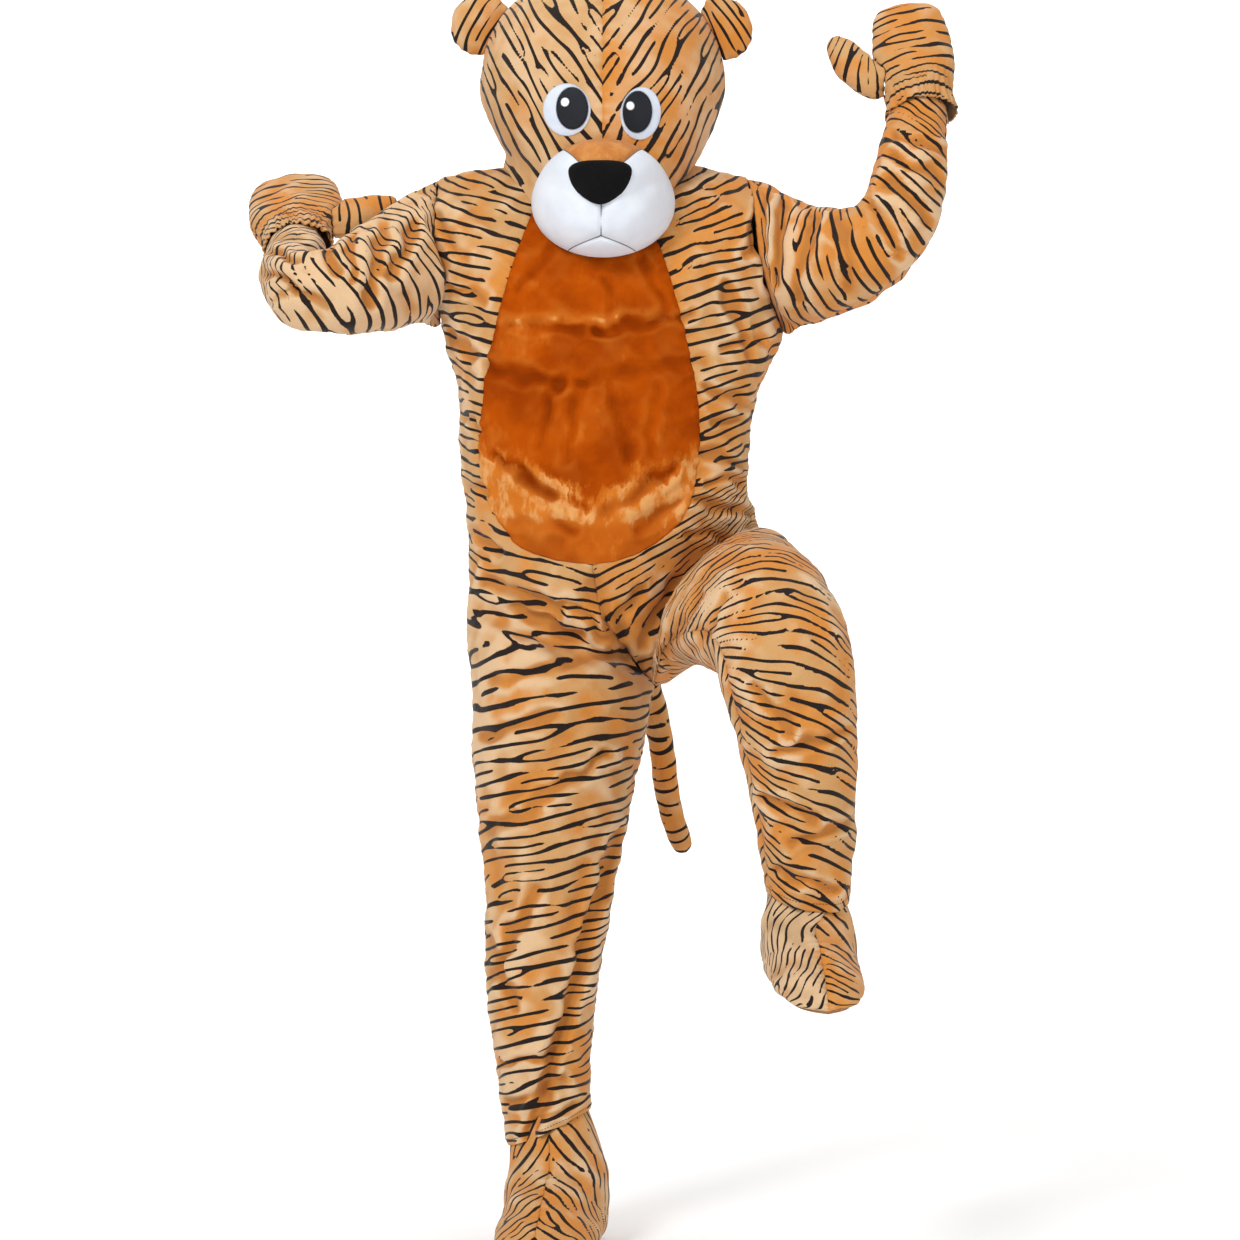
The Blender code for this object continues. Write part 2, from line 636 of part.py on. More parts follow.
def mitten_sizes(side):
    """Each row's distance from the wrist and half width for one hand."""
    z = MITTEN["z"]
    fan = ease((z - FAN_Z[0]) / (FAN_Z[1] - FAN_Z[0]))
    wide = MITTEN["half_width"] * (1.0 + (HANDS[side]["width"] - 1.0) * fan)
    return np.where(z > 0, z * HANDS[side]["length"], z), wide


def mitten_half(side, half):
    """Outer points of the palm (half 1) or back (half -1), from the thumb side round to the other side."""
    wrist, thumb, palm, fingers = hand_axes(side)
    z, half_width = mitten_sizes(side)
    rows = np.arange(len(MITTEN["z"]))
    opened = (rows > THUMB_ROWS[0]) & (rows < THUMB_ROWS[1])
    position = (rows - THUMB_ROWS[0]) / (THUMB_ROWS[1] - THUMB_ROWS[0])
    start = np.where(opened, THUMB_OPEN * np.sin(math.pi * np.clip(position, 0, 1)), 0.0)
    steps = np.linspace(0.0, 1.0, MITTEN_CELLS + 1)
    angle = math.pi * (start[:, None] + (1.0 - start[:, None]) * steps)
    wave = MITTEN["gather"][:, None] * np.where(np.arange(MITTEN_CELLS + 1) % 2 == 0, 1.0, -1.0)
    across = (half_width[:, None] + wave) * np.cos(angle)
    through = (MITTEN["half_thick"][:, None] + wave) * np.sin(angle)
    tip = half_width == 0.0
    across[tip], through[tip] = 0.0, 0.0
    along = np.broadcast_to(z[:, None], angle.shape)
    return wrist + across[..., None] * thumb + half * through[..., None] * palm + along[..., None] * fingers


def mitten_normals(grid, side, half):
    """Outward normals of a mitten half; on the seams they point straight away from the hand."""
    wrist, thumb, palm, fingers = hand_axes(side)
    normals = unit(np.cross(np.gradient(grid, axis=0), np.gradient(grid, axis=1)))
    normals *= np.sign(np.sum(normals * half * palm))
    for column in (0, -1):
        flat = normals[:, column] - np.sum(normals[:, column] * palm, axis=-1, keepdims=True) * palm
        sign = 1.0 if column == 0 else -1.0
        seam_rows = np.abs(np.sum((grid[:, column] - wrist) * palm, axis=-1)) < 1e-6
        away = unit(flat + 1e-6 * sign * thumb)
        normals[seam_rows, column] = (away * np.sign(np.sum(away * sign * thumb, axis=-1, keepdims=True)))[seam_rows]
    normals[-1] = fingers
    return normals


def thumb_rows(side):
    """Rows of the thumb's tube, from its opening outward."""
    wrist, thumb, palm, fingers = hand_axes(side)
    path = THUMB[side]
    z, half_width = mitten_sizes(side)
    middle = (z[THUMB_ROWS[0]] + z[THUMB_ROWS[1]]) / 2
    opening = half_width[sum(THUMB_ROWS) // 2] * math.cos(math.pi * THUMB_OPEN) + 0.004
    centres = wrist + (opening + path["out"])[:, None] * thumb + (middle + path["forward"])[:, None] * fingers
    tilt = np.radians(path["tilt"])[:, None]
    ups = np.sin(tilt) * thumb - np.cos(tilt) * fingers
    placed = {"x": centres[:, 0], "y": centres[:, 1], "z": centres[:, 2], **path}
    return path_rows(placed, ups, np.broadcast_to(palm, ups.shape))


def build_mittens():
    for side in (RIGHT, LEFT):
        halves = {}
        for half, part in ((1, "palm"), (-1, "back")):
            grid = mitten_half(side, half)
            halves[half] = grid
            normals = mitten_normals(grid, side, half)
            grid = stand_back(grid)
            wall(f"mitten_{part}_{HAND[side]}", grid, grid - CLOTH * normals, **PLUSH)
        first, last = THUMB_ROWS
        ring = np.concatenate([halves[1][first : last + 1, 0], halves[-1][last - 1 : first : -1, 0]])
        ring = refine_ring(ring)
        rows = np.arange(8.0)
        grid = tube_from_opening(ring, thumb_rows(side), rows, THUMB_BLEND)
        normals = grid_normals(grid)
        normals[-1] = unit(grid[-1, 0] - grid[-2].mean(axis=0))
        wall(f"mitten_thumb_{HAND[side]}", grid, grid - CLOTH * normals, closed=True, **PLUSH)


def refine_ring(ring):
    """Ring with a point added in the middle of each side."""
    middles = (ring + np.roll(ring, -1, axis=0)) / 2
    return np.stack([ring, middles], axis=1).reshape(-1, 3)


# ---------------------------------------------------------------- boot covers

# Rows of a boot half from the ankle to the toe. Each runs from the instep seam round the side to the heel
# seam or, where end_x is above zero, to the sole's edge. The toe points to -Y and z = 0 is the floor.
BOOT = table("""
front_y front_z back_y back_z half_width end_x
-0.090  0.122   0.073  0.100  0.0690     0.000
-0.118  0.104   0.079  0.055  0.0710     0.000
-0.134  0.097   0.079  0.006  0.0715     0.000
-0.146  0.090   0.070  0.006  0.0715     0.028
-0.163  0.079   0.045  0.006  0.0715     0.044
-0.180  0.069   0.000  0.006  0.0715     0.049
-0.196  0.058  -0.060  0.006  0.0700     0.052
-0.209  0.046  -0.115  0.006  0.0660     0.053
-0.219  0.033  -0.165  0.006  0.0570     0.046
-0.226  0.019  -0.205  0.006  0.0400     0.031
-0.230  0.006  -0.230  0.006  0.0000     0.000
""")
SHAFT = table("""
leg_row inset
7.55    0.0110
7.80    0.0090
8.00    0.0045
""")  # rows of the leg that a boot's top follows from inside, and how far inside
BOOT_CELLS = 7
SOLE_ROW = 2  # the first of the boot's rows that ends on the sole
SOLE_THICK = 0.0057

# Where each boot stands: the floor point under its ankle, the way its toe turns toward the wearer's left and
# points down (degrees), and its size against the table, across, along and up
FEET = {
    RIGHT: {"floor": (-0.050, 0.004, -1.490), "turn": -8, "pitch": 0, "size": (1.0, 1.0, 1.0)},
    LEFT: {"floor": (0.286, -0.172, -1.098), "turn": 5, "pitch": 8, "size": (0.88, 0.92, 0.72)},
}
PLUSH_SOLE = {"colour": (0.60, 0.38, 0.20), "roughness": 0.9}


def place_boot(side, points):
    """Shape a boot's own points for one foot and put them in place."""
    foot = FEET[side]
    turn = Matrix.Rotation(math.radians(foot["turn"]), 3, "Z") @ Matrix.Rotation(math.radians(foot["pitch"]), 3, "X")
    return (points * np.array(foot["size"])) @ np.array(turn).T + np.array(foot["floor"])


def shaft_rows(side, hand, angle):
    """The boot's top rows, inside the leg's hem, for angles from the instep (0) to the heel."""
    at = lambda name: smooth_column(LEG[side][name], SHAFT["leg_row"])[:, None, None]
    outward, forward = (axes[:, None] for axes in leg_axes(side, SHAFT["leg_row"]))
    centre = np.concatenate([at("x"), at("y"), at("z")], axis=-1)
    inset = SHAFT["inset"][:, None, None]
    across = hand * side * (at("half_width") - inset) * outward
    return centre + np.sin(angle)[:, None] * across + np.cos(angle)[:, None] * (at("half_depth") - inset) * forward


def boot_half(side, hand):
    """Outer points of one boot half; hand is the sign of its side in X."""
    front = np.stack([0 * BOOT["front_y"], BOOT["front_y"], BOOT["front_z"]], axis=-1)
    back = np.stack([0 * BOOT["back_y"], BOOT["back_y"], BOOT["back_z"]], axis=-1)
    width = BOOT["half_width"]
    ratio = np.divide(BOOT["end_x"], width, out=np.zeros_like(width), where=width > 0)
    sweep = math.pi - np.arcsin(ratio)
    steps = np.linspace(0.0, 1.0, BOOT_CELLS + 1)
    angle = sweep[:, None] * steps
    share = (1.0 - np.cos(angle)) / (1.0 - np.cos(sweep))[:, None]
    points = front[:, None] + (back - front)[:, None] * share[..., None]
    points[..., 0] = hand * width[:, None] * np.sin(angle)
    points[:, 0, 0] = 0.0
    points[BOOT["end_x"] == 0.0, -1, 0] = 0.0
    return np.concatenate([shaft_rows(side, hand, math.pi * steps), place_boot(side, points)])


def boot_normals(side, grids):
    """Outward normals of a boot's two halves, which agree along their seams and lie flat along the sole."""
    normals = {}
    for hand, grid in grids.items():
        normal = unit(np.cross(np.gradient(grid, axis=0), np.gradient(grid, axis=1)))
        normals[hand] = normal * np.sign(np.sum(normal[:, :, 0]) * hand)
    for column in (0, -1):
        joined = np.linalg.norm(grids[RIGHT][:, column] - grids[LEFT][:, column], axis=-1) < 1e-6
        mean = unit(normals[RIGHT][joined, column] + normals[LEFT][joined, column])
        normals[RIGHT][joined, column], normals[LEFT][joined, column] = mean, mean
    ends = place_boot(side, np.array([[0.0, 0.0, 0.0], [0.0, 0.0, 1.0], [0.0, -1.0, 0.0]]))
    up, ahead = unit(ends[1] - ends[0]), unit(ends[2] - ends[0])
    first = len(SHAFT["leg_row"]) + SOLE_ROW
    for normal in normals.values():
        normal[-1] = ahead
        normal[first:, -1] -= np.sum(normal[first:, -1] * up, axis=-1, keepdims=True) * up
        normal[first:, -1] = unit(normal[first:, -1])
    return normals


def build_boots():
    for side in (RIGHT, LEFT):
        grids = {hand: boot_half(side, hand) for hand in (RIGHT, LEFT)}
        normals = boot_normals(side, grids)
        for hand, grid in grids.items():
            part = "outer" if hand == side else "inner"
            grid = stand_back(grid)
            wall(f"boot_{part}_{HAND[side]}", grid, grid - CLOTH * normals[hand], **PLUSH)
        build_sole(side)


def build_sole(side):
    """Flat sole under a boot's two halves."""
    edge_y, edge_x = BOOT["back_y"][SOLE_ROW:], BOOT["end_x"][SOLE_ROW:]
    across = np.linspace(-1.0, 1.0, 5)
    x = edge_x[:, None] * across
    y = np.broadcast_to(edge_y[:, None], x.shape)
    bottom = np.stack([x, y, 0 * x], axis=-1)
    top = bottom + np.array([0.0, 0.0, SOLE_THICK])
    wall(f"boot_sole_{HAND[side]}", place_boot(side, bottom), place_boot(side, top), **PLUSH_SOLE)


# ---------------------------------------------------------------- head

HEAD_X = 0.011
# Rings of the head from the crown down: heights at its sides, front and back, and its half sizes
HEAD = table("""
side_z front_z back_z half_x front_y back_y
0.292  0.292   0.292  0.000  0.000   0.000
0.286  0.285   0.286  0.052  0.048   0.052
0.266  0.263   0.266  0.098  0.091   0.096
0.236  0.228   0.236  0.134  0.124   0.129
0.200  0.186   0.200  0.157  0.147   0.152
0.160  0.139   0.158  0.169  0.159   0.164
0.120  0.090   0.112  0.171  0.162   0.167
0.086  0.042   0.068  0.161  0.158   0.161
0.056 -0.006   0.030  0.147  0.147   0.147
0.036 -0.048   0.002  0.137  0.129   0.128
-0.030 -0.150  -0.060 0.142  0.135   0.128
""")
UNDER_RING = 10  # the last ring only carries the muzzle below the head; the head itself ends on the suit
RIM_ROW, RIM_NEXT_ROW = 1.0, 0.0  # the head's lower edge rests on the suit between these rows
RIM_WIDTH = 0.2  # share of the way between them that the edge covers
HEAD_ROWS = UNDER_RING + 1
CHEEK = {"colour": (0.78, 0.48, 0.20), "roughness": 0.85}


def neck_rim(side, angle, row):
    """Points just above the suit, on its row, round from the front (angle 0) to the back."""
    share = angle / (math.pi / 2)
    front, front_normal = suit_frame(side, FRONT, row, np.minimum(share, 1.0))
    back, back_normal = suit_frame(side, BACK, row, np.clip(2.0 - share, 0.0, 1.0))
    behind = (share > 1.0)[..., None]
    return np.where(behind, back + LIFT * back_normal, front + LIFT * front_normal)


def head_ring(side, k, angle):
    """Points of the head's rings k, angle running from the front to the back."""
    cosine = np.cos(angle)
    depth = np.where(cosine > 0, HEAD["front_y"][k], HEAD["back_y"][k])
    end_z = np.where(cosine > 0, HEAD["front_z"][k], HEAD["back_z"][k])
    z = HEAD["side_z"][k] + (end_z - HEAD["side_z"][k]) * cosine**2
    return np.stack([HEAD_X + side * HEAD["half_x"][k] * np.sin(angle), -depth * cosine, z], axis=-1)


def head_surface(side):
    """The head's surface on one side: row u from the crown to the neck rim, angle from front to back."""

    def point(u, angle):
        u, angle = np.broadcast_arrays(np.asarray(u, float), np.asarray(angle, float))
        rim = neck_rim(side, angle, RIM_ROW)

        def row(k):
            ring = head_ring(side, np.minimum(k, UNDER_RING - 1), angle)
            return np.where((k == UNDER_RING)[..., None], rim, ring)

        return through_rows(row, HEAD_ROWS, u)

    return point


def under_surface(u, angle):
    """The head's front carried on below its lower edge, for the muzzle."""
    u, angle = np.broadcast_arrays(np.asarray(u, float), np.asarray(angle, float))
    return through_rows(lambda k: head_ring(1, k, angle), UNDER_RING + 1, u)


def head_frame(side, u, angle):
    """Points and outward normals of the head."""
    u, angle = np.broadcast_arrays(np.asarray(u, float), np.asarray(angle, float))
    points, normals = surface_frame(head_surface(side), u, angle, (0, HEAD_ROWS - 1), (0, math.pi), side)
    normals[u < 0.01] = (0.0, 0.0, 1.0)
    return points, normals


def rim_angles(side):
    """Angles of the head's columns, which meet the columns of the suit's panels at the rim."""
    row = np.array([RIM_ROW])
    egg, zipper = egg_share(side, row)[0], zip_share(side, row)[0]
    steps = np.linspace(0.0, 1.0, PANEL_CELLS + 1)
    front = np.concatenate([egg * np.linspace(0.0, 1.0, TUMMY_CELLS + 1)[:-1], egg + (1.0 - egg) * steps[:-1]])
    back = np.concatenate([zipper + (1.0 - zipper) * steps[::-1], [0.0]])
    return np.concatenate([front, 2.0 - back]) * math.pi / 2


def build_head():
    rows = np.concatenate([[0.0], np.arange(1.0, HEAD_ROWS - 1.0), [HEAD_ROWS - 1.5, HEAD_ROWS - 1.0]])
    for side in (RIGHT, LEFT):
        angles = rim_angles(side)
        points, normals = head_frame(side, rows[:, None], angles[None])
        points[0] = points[0].mean(axis=0)
        normals[:, [0, -1], 0] = 0.0
        normals = unit(normals)
        points = stand_back(points)
        inner = points - HEAD_WALL * normals
        inner[-1] = points[-1] + RIM_WIDTH * (neck_rim(side, angles, RIM_NEXT_ROW) - points[-1])
        wall(f"head_{HAND[side]}", points, inner, **CHEEK)


def skin_of(surfaces):
    """Fine copy of smooth surfaces, to lay pieces on: each entry is a grid of points."""
    points, faces = [], []
    for grid in surfaces:
        faces += grid_faces(*grid.shape[:2], False, len(points))
        points += [tuple(p) for p in grid.reshape(-1, 3)]
    return BVHTree.FromPolygons(points, faces)


def head_skin():
    rows, angles = np.linspace(0.0, HEAD_ROWS - 1, 90), np.linspace(0.0, math.pi, 90)
    return skin_of([head_surface(side)(rows[:, None], angles[None]) for side in (RIGHT, LEFT)])


def muzzle_skin():
    rows, angles = np.linspace(4.0, UNDER_RING, 80), np.linspace(-1.4, 1.4, 120)
    return skin_of([under_surface(rows[:, None], angles[None])])


def drop(skin, starts, direction):
    """Points where lines from starts along a direction first meet the skin; far away where they miss it."""
    flat = starts.reshape(-1, 3)
    hits = [skin.ray_cast(Vector(p), Vector(direction))[0] for p in flat]
    return np.array([tuple(hit or (9.0, 9.0, 9.0)) for hit in hits]).reshape(starts.shape)


def front_depth(skins, seen):
    """Y of the foremost skin at points x, z seen from the front."""
    starts = np.stack([seen[..., 0], np.full_like(seen[..., 0], -1.0), seen[..., 1]], axis=-1)
    return np.min([drop(skin, starts, (0, 1, 0))[..., 1] for skin in skins], axis=0)


# ---------------------------------------------------------------- face

MUZZLE_X, MUZZLE_Z = 0.012, -0.0433
MUZZLE_HALF_X, MUZZLE_HALF_Z = 0.0986, 0.0788
MUZZLE_DEPTH = 0.084
MUZZLE_SEAT = 0.0011  # clearance behind the muzzle, whose cells span the rounded head
NOSE_SEAT = 0.0014  # and behind the nose
APEX = np.array([0.010, -0.034])  # where the muzzle's seams meet, under the nose
MOUTH = np.array([0.0095, -0.0986])  # top of the upside-down Y's legs
BRIDGE_ANGLES = (123.5, 57.5)  # where the nose bridge's sides meet the muzzle's rim (degrees)
MOUTH_ANGLES = (-119.0, -63.0)  # and where the mouth lines do
WHITE_PLUSH = {"colour": (0.88, 0.90, 0.93), "roughness": 0.85}
BRIDGE_PLUSH = {"colour": (0.60, 0.25, 0.06), "roughness": 0.85}
BLACK_PLUSH = {"colour": (0.01, 0.01, 0.01), "roughness": 0.8}


def muzzle_outline(degrees):
    """Points x, z of the muzzle's rim at angles from its centre."""
    angle = np.radians(degrees)
    return np.stack([MUZZLE_X + MUZZLE_HALF_X * np.cos(angle), MUZZLE_Z + MUZZLE_HALF_Z * np.sin(angle)], axis=-1)


def muzzle_back(skins, seen):
    """Y of the muzzle's back, on the head and on the head's front carried on below it."""
    return front_depth(skins, seen) - MUZZLE_SEAT


def muzzle_front(skins, seen):
    """Y of the muzzle's rounded front."""
    reach = np.hypot((seen[..., 0] - MUZZLE_X) / MUZZLE_HALF_X, (seen[..., 1] - MUZZLE_Z) / MUZZLE_HALF_Z)
    dome = (1.0 - np.clip(reach, 0.0, 1.0) ** 2.4) ** 0.55
    return muzzle_back(skins, seen) - MUZZLE_EDGE - MUZZLE_DEPTH * dome


def muzzle_piece(name, skins, seen, look):
    """Padded piece of the muzzle from its grid of points x, z."""
    front, back = (
        np.stack([seen[..., 0], depth(skins, seen), seen[..., 1]], axis=-1) for depth in (muzzle_front, muzzle_back)
    )
    wall(name, front, back, **look)


def fan(edge, rings):
    """Grid of points x, z from the apex out to an edge, its sides and outer edge standing back."""
    edge = edge.copy()
    grid = APEX + (edge - APEX) * rings[:, None, None]
    return stand_back(grid)


def build_muzzle(skins):
    rings = np.array([0.0, 0.2, 0.4, 0.6, 0.76, 0.88, 0.96, 1.0])
    bridge_right, bridge_left = BRIDGE_ANGLES
    mouth_right, mouth_left = MOUTH_ANGLES
    lines = {RIGHT: (bridge_right, 360 + mouth_right), LEFT: (bridge_left, mouth_left)}
    for side, (start, end) in lines.items():
        arc = muzzle_outline(np.linspace(start, end, 11))
        lip = arc[-1] + (MOUTH - arc[-1]) * np.linspace(0.0, 1.0, 5)[1:, None]
        lip[:, 1] += SEAM
        muzzle_piece(f"muzzle_{HAND[side]}", skins, fan(np.concatenate([arc, lip]), rings), WHITE_PLUSH)
    top = muzzle_outline(np.linspace(bridge_right, bridge_left, 9))
    muzzle_piece("nose_bridge", skins, fan(top, rings), BRIDGE_PLUSH)
    steps = np.linspace(-1.0, 1.0, 9)
    corners = muzzle_outline(np.array(MOUTH_ANGLES))
    upper = np.where(
        (steps < 0)[:, None], MOUTH + (corners[0] - MOUTH) * -steps[:, None], MOUTH + (corners[1] - MOUTH) * steps[:, None]
    )
    upper[:, 1] -= SEAM
    lower = muzzle_outline(np.linspace(mouth_right, mouth_left, 9))
    share = np.array([0.0, 0.4, 0.75, 1.0])[:, None, None]
    chin = upper + (lower - upper) * share
    chin[:, [0, -1]] = chin[:, [0, -1]].mean(axis=0)
    muzzle_piece("muzzle_chin", skins, chin, WHITE_PLUSH)


# The nose's outline about its centre, clockwise from the top
NOSE_CENTRE = (0.0084, -0.0270)
NOSE_OUTLINE = table("""
 x       z
 0.0000  0.0245
 0.0220  0.0240
 0.0365  0.0200
 0.0410  0.0110
 0.0350 -0.0070
 0.0200 -0.0240
 0.0000 -0.0325
-0.0200 -0.0240
-0.0350 -0.0070
-0.0410  0.0110
-0.0365  0.0200
-0.0220  0.0240
""")
NOSE_PAD = 0.006

# Sewn-on eye pieces: centre, half sizes and tilt (degrees, top leaning to -X), seen from the front
EYES = {
    "eye_white_right": {"centre": (-0.0370, 0.0766), "half": (0.0312, 0.0345), "tilt": 14},
    "eye_white_left": {"centre": (0.0628, 0.0718), "half": (0.0262, 0.0345), "tilt": -10},
    "pupil_right": {"centre": (-0.0293, 0.0780), "half": (0.0208, 0.0276), "tilt": 4},
    "pupil_left": {"centre": (0.0580, 0.0735), "half": (0.0190, 0.0272), "tilt": -5},
    "highlight_right": {"centre": (-0.0385, 0.0862), "half": (0.0048, 0.0050), "tilt": 0},
    "highlight_left": {"centre": (0.0482, 0.0808), "half": (0.0046, 0.0048), "tilt": 0},
}
EYE_LAYERS = {"eye_white": 0, "pupil": 1, "highlight": 2}
EYE_COLOURS = {
    "eye_white": {"colour": (0.62, 0.66, 0.72), "roughness": 0.6},
    "pupil": {"colour": (0.02, 0.02, 0.03), "roughness": 0.35},
    "highlight": {"colour": (0.85, 0.86, 0.88), "roughness": 0.5},
}


def pad_on(name, depth, seen, base, thickness, look):
    """Piece on a front surface: seen is its grid of points x, z, base its clearance and thickness its pad."""
    y = depth(seen)
    step = 0.0005
    slope_x = (depth(seen + (step, 0.0)) - depth(seen - (step, 0.0))) / (2 * step)
    slope_z = (depth(seen + (0.0, step)) - depth(seen - (0.0, step))) / (2 * step)
    normals = unit(np.stack([slope_x, -np.ones_like(y), slope_z], axis=-1))
    under = np.stack([seen[..., 0], y, seen[..., 1]], axis=-1) + base * normals
    wall(name, under + thickness[..., None] * normals, under, closed=True, **look)


def rounds(outline, rings):
    """Grid of points x, z from a closed outline's centre out to the outline."""
    centre = outline.mean(axis=0)
    return centre + (outline - centre) * np.asarray(rings)[:, None, None]


def build_nose(skins):
    points = np.stack([NOSE_OUTLINE["x"], NOSE_OUTLINE["z"]], axis=-1)
    count = len(points)
    u = np.linspace(0, count, 16, endpoint=False)
    looped = np.concatenate([points[-1:], points, points[:2]])
    outline = through_rows(lambda k: looped[k], len(looped), u + 1.0) + np.array(NOSE_CENTRE)
    rings = np.array([0.0, 0.35, 0.65, 0.88, 1.0])
    seen = rounds(outline, rings)
    thickness = np.broadcast_to((0.0015 + NOSE_PAD * (1.0 - rings**4))[:, None], seen.shape[:2])
    pad_on("nose", lambda place: muzzle_front(skins, place), seen, NOSE_SEAT, thickness, BLACK_PLUSH)


def build_eyes(skin):
    angle = np.linspace(0.0, 2 * math.pi, 18, endpoint=False)
    for name, eye in EYES.items():
        kind = name.rsplit("_", 1)[0]
        tilt = math.radians(eye["tilt"])
        x, z = eye["half"][0] * np.cos(angle), eye["half"][1] * np.sin(angle)
        outline = np.stack([x * math.cos(tilt) - z * math.sin(tilt), x * math.sin(tilt) + z * math.cos(tilt)], axis=-1)
        seen = rounds(outline + np.array(eye["centre"]), [0.0, 1.0] if kind == "highlight" else [0.0, 0.55, 1.0])
        base = LIFT + EYE_LAYERS[kind] * (FELT + LIFT)
        thickness = np.full(seen.shape[:2], FELT)
        pad_on(name, lambda place: front_depth([skin], place), seen, base, thickness, EYE_COLOURS[kind])


# ---------------------------------------------------------------- ears and tail

EAR = table("""
along  half_up half_side
0.000  0.0380  0.0120
0.016  0.0450  0.0170
0.034  0.0450  0.0190
0.050  0.0370  0.0170
0.062  0.0220  0.0110
0.068  0.0000  0.0000
""")
EARS = {
    RIGHT: {"base": (-0.137, -0.006, 0.205), "axis": (-0.88, 0.0, 0.48)},
    LEFT: {"base": (0.158, -0.006, 0.197), "axis": (0.82, 0.0, 0.58)},
}
SEAT = 0.0007  # clearance of a stuffed piece's base, which spans a rounded surface
SEAT_FADE = 3.0  # rows over which a stuffed piece takes up the form of its seat

TAIL = table("""
x     y      z      radius
0.030 0.135 -0.560  0.0190
0.034 0.176 -0.585  0.0195
0.050 0.212 -0.640  0.0195
0.076 0.226 -0.715  0.0190
0.094 0.226 -0.790  0.0185
0.101 0.222 -0.850  0.0180
0.112 0.216 -0.905  0.0175
0.127 0.210 -0.945  0.0140
0.132 0.208 -0.955  0.0000
""")


def stuffed_on(name, skin, surface, rows, columns, inward, look):
    """Filled tube whose base lies on a skin: its first row is dropped on it, with a centre point."""
    angles = np.linspace(0.0, 2 * math.pi, columns, endpoint=False)
    grid = surface(rows[:, None], angles[None])
    starts = np.stack([grid[0], np.broadcast_to(grid[0].mean(axis=0), grid[0].shape)])
    starts = starts - 0.12 * np.array(inward)
    base = drop(skin, starts, inward) - SEAT * np.array(inward)
    fade = 1.0 - ease(rows / SEAT_FADE)[:, None, None]
    grid = grid + (base[0] - grid[0]) * fade
    solid(name, np.concatenate([base[1:], grid]), **look)


def build_ears(skin):
    for side, ear in EARS.items():
        axis = unit(np.array(ear["axis"]))
        centres = np.array(ear["base"]) + EAR["along"][:, None] * axis
        path = {"x": centres[:, 0], "y": centres[:, 1], "z": centres[:, 2], **EAR}
        surface = tube_surface(carried_rows(path, np.cross(axis, (0, -1, 0)), 1))
        rows = np.array([0.0, 0.5, 1.0, 2.0, 3.0, 3.6, 4.3, 5.0])
        stuffed_on(f"ear_{HAND[side]}", skin, surface, rows, 16, -axis, PLUSH)


def build_tail():
    rows, shares = np.linspace(12.0, TORSO_ROWS + 1.0, 60), np.linspace(0.0, 1.0, 30)
    skin = skin_of([suit_frame(side, BACK, rows[:, None], shares[None])[0] for side in (RIGHT, LEFT)])
    path = {"x": TAIL["x"], "y": TAIL["y"], "z": TAIL["z"], "half_up": TAIL["radius"], "half_side": TAIL["radius"]}
    tube_rows = carried_rows(path, (1, 0, 0), 1)
    rows = np.concatenate([[0.0, 1.0], np.arange(1.5, 7.0, 0.5), [7.0, 7.5, 8.0]])
    inward = unit(tube_rows[0, :3] - tube_rows[1, :3])
    stuffed_on("tail", skin, tube_surface(tube_rows), rows, 10, inward, PLUSH)


# ---------------------------------------------------------------- zip

ZIP_CHAIN = 0.0012  # height of the closed teeth above the tape
ZIP_CHAIN_ROW = 1.3  # the teeth lie flat above this row, under the head's rim
SLIDER_ROW = 2.6
SLIDER = {"half_width": 0.0045, "half_length": 0.0075, "plate": 0.0028}
ARCH = {"half_width": 0.0015, "half_length": 0.0050, "bar": 0.0020, "hole": 0.0022}
TAB = {"half_width": 0.0040, "length": 0.0220, "thick": 0.0012, "pin": 0.0007, "window": 0.0064, "rim": 0.0013}
TAB_LEAN = 6  # degrees that the pull tab stands off the slider
ZIP_TAPE = {"colour": (0.16, 0.10, 0.05), "roughness": 0.8}
STEEL = {"colour": (0.55, 0.55, 0.56), "roughness": 0.35, "metallic": 1.0}


def build_zip():
    rows, _ = suit_rows()
    above = rows[rows < ZIP_END_ROW + 0.01]
    rows = rows[: len(above) + 1]
    steps = np.array([0.0, 1.0])
    sides = {}
    for side in (RIGHT, LEFT):
        shares = zip_share(side, rows)[:, None] * steps
        sides[side] = panel_grid(side, BACK, rows, shares)
    points, normals = (np.concatenate([sides[RIGHT][i][:, :0:-1], sides[LEFT][i]], axis=1) for i in (0, 1))
    points[-1], normals[-1] = points[-1].mean(axis=0), unit(normals[-1].mean(axis=0))
    points = stand_back(points)
    inner = points - CLOTH * normals
    raised = (rows > ZIP_CHAIN_ROW) & (rows < ZIP_END_ROW - 0.5)
    points[raised, 1] += ZIP_CHAIN * normals[raised, 1]
    wall("back_zip", points, inner, **ZIP_TAPE)


def box(low, high):
    """Corner points and faces of a box."""
    points = [(x, y, z) for x in (low[0], high[0]) for y in (low[1], high[1]) for z in (low[2], high[2])]
    faces = [(0, 1, 3, 2), (4, 6, 7, 5), (0, 4, 5, 1), (2, 3, 7, 6), (0, 2, 6, 4), (1, 5, 7, 3)]
    return points, faces


def box_object(name, low, high):
    obj = bpy.data.objects.new(name, mesh_from(name, *box(low, high)))
    bpy.data.collections[CUTTERS].objects.link(obj)
    obj.hide_render = True
    obj.display_type = "WIRE"
    return obj


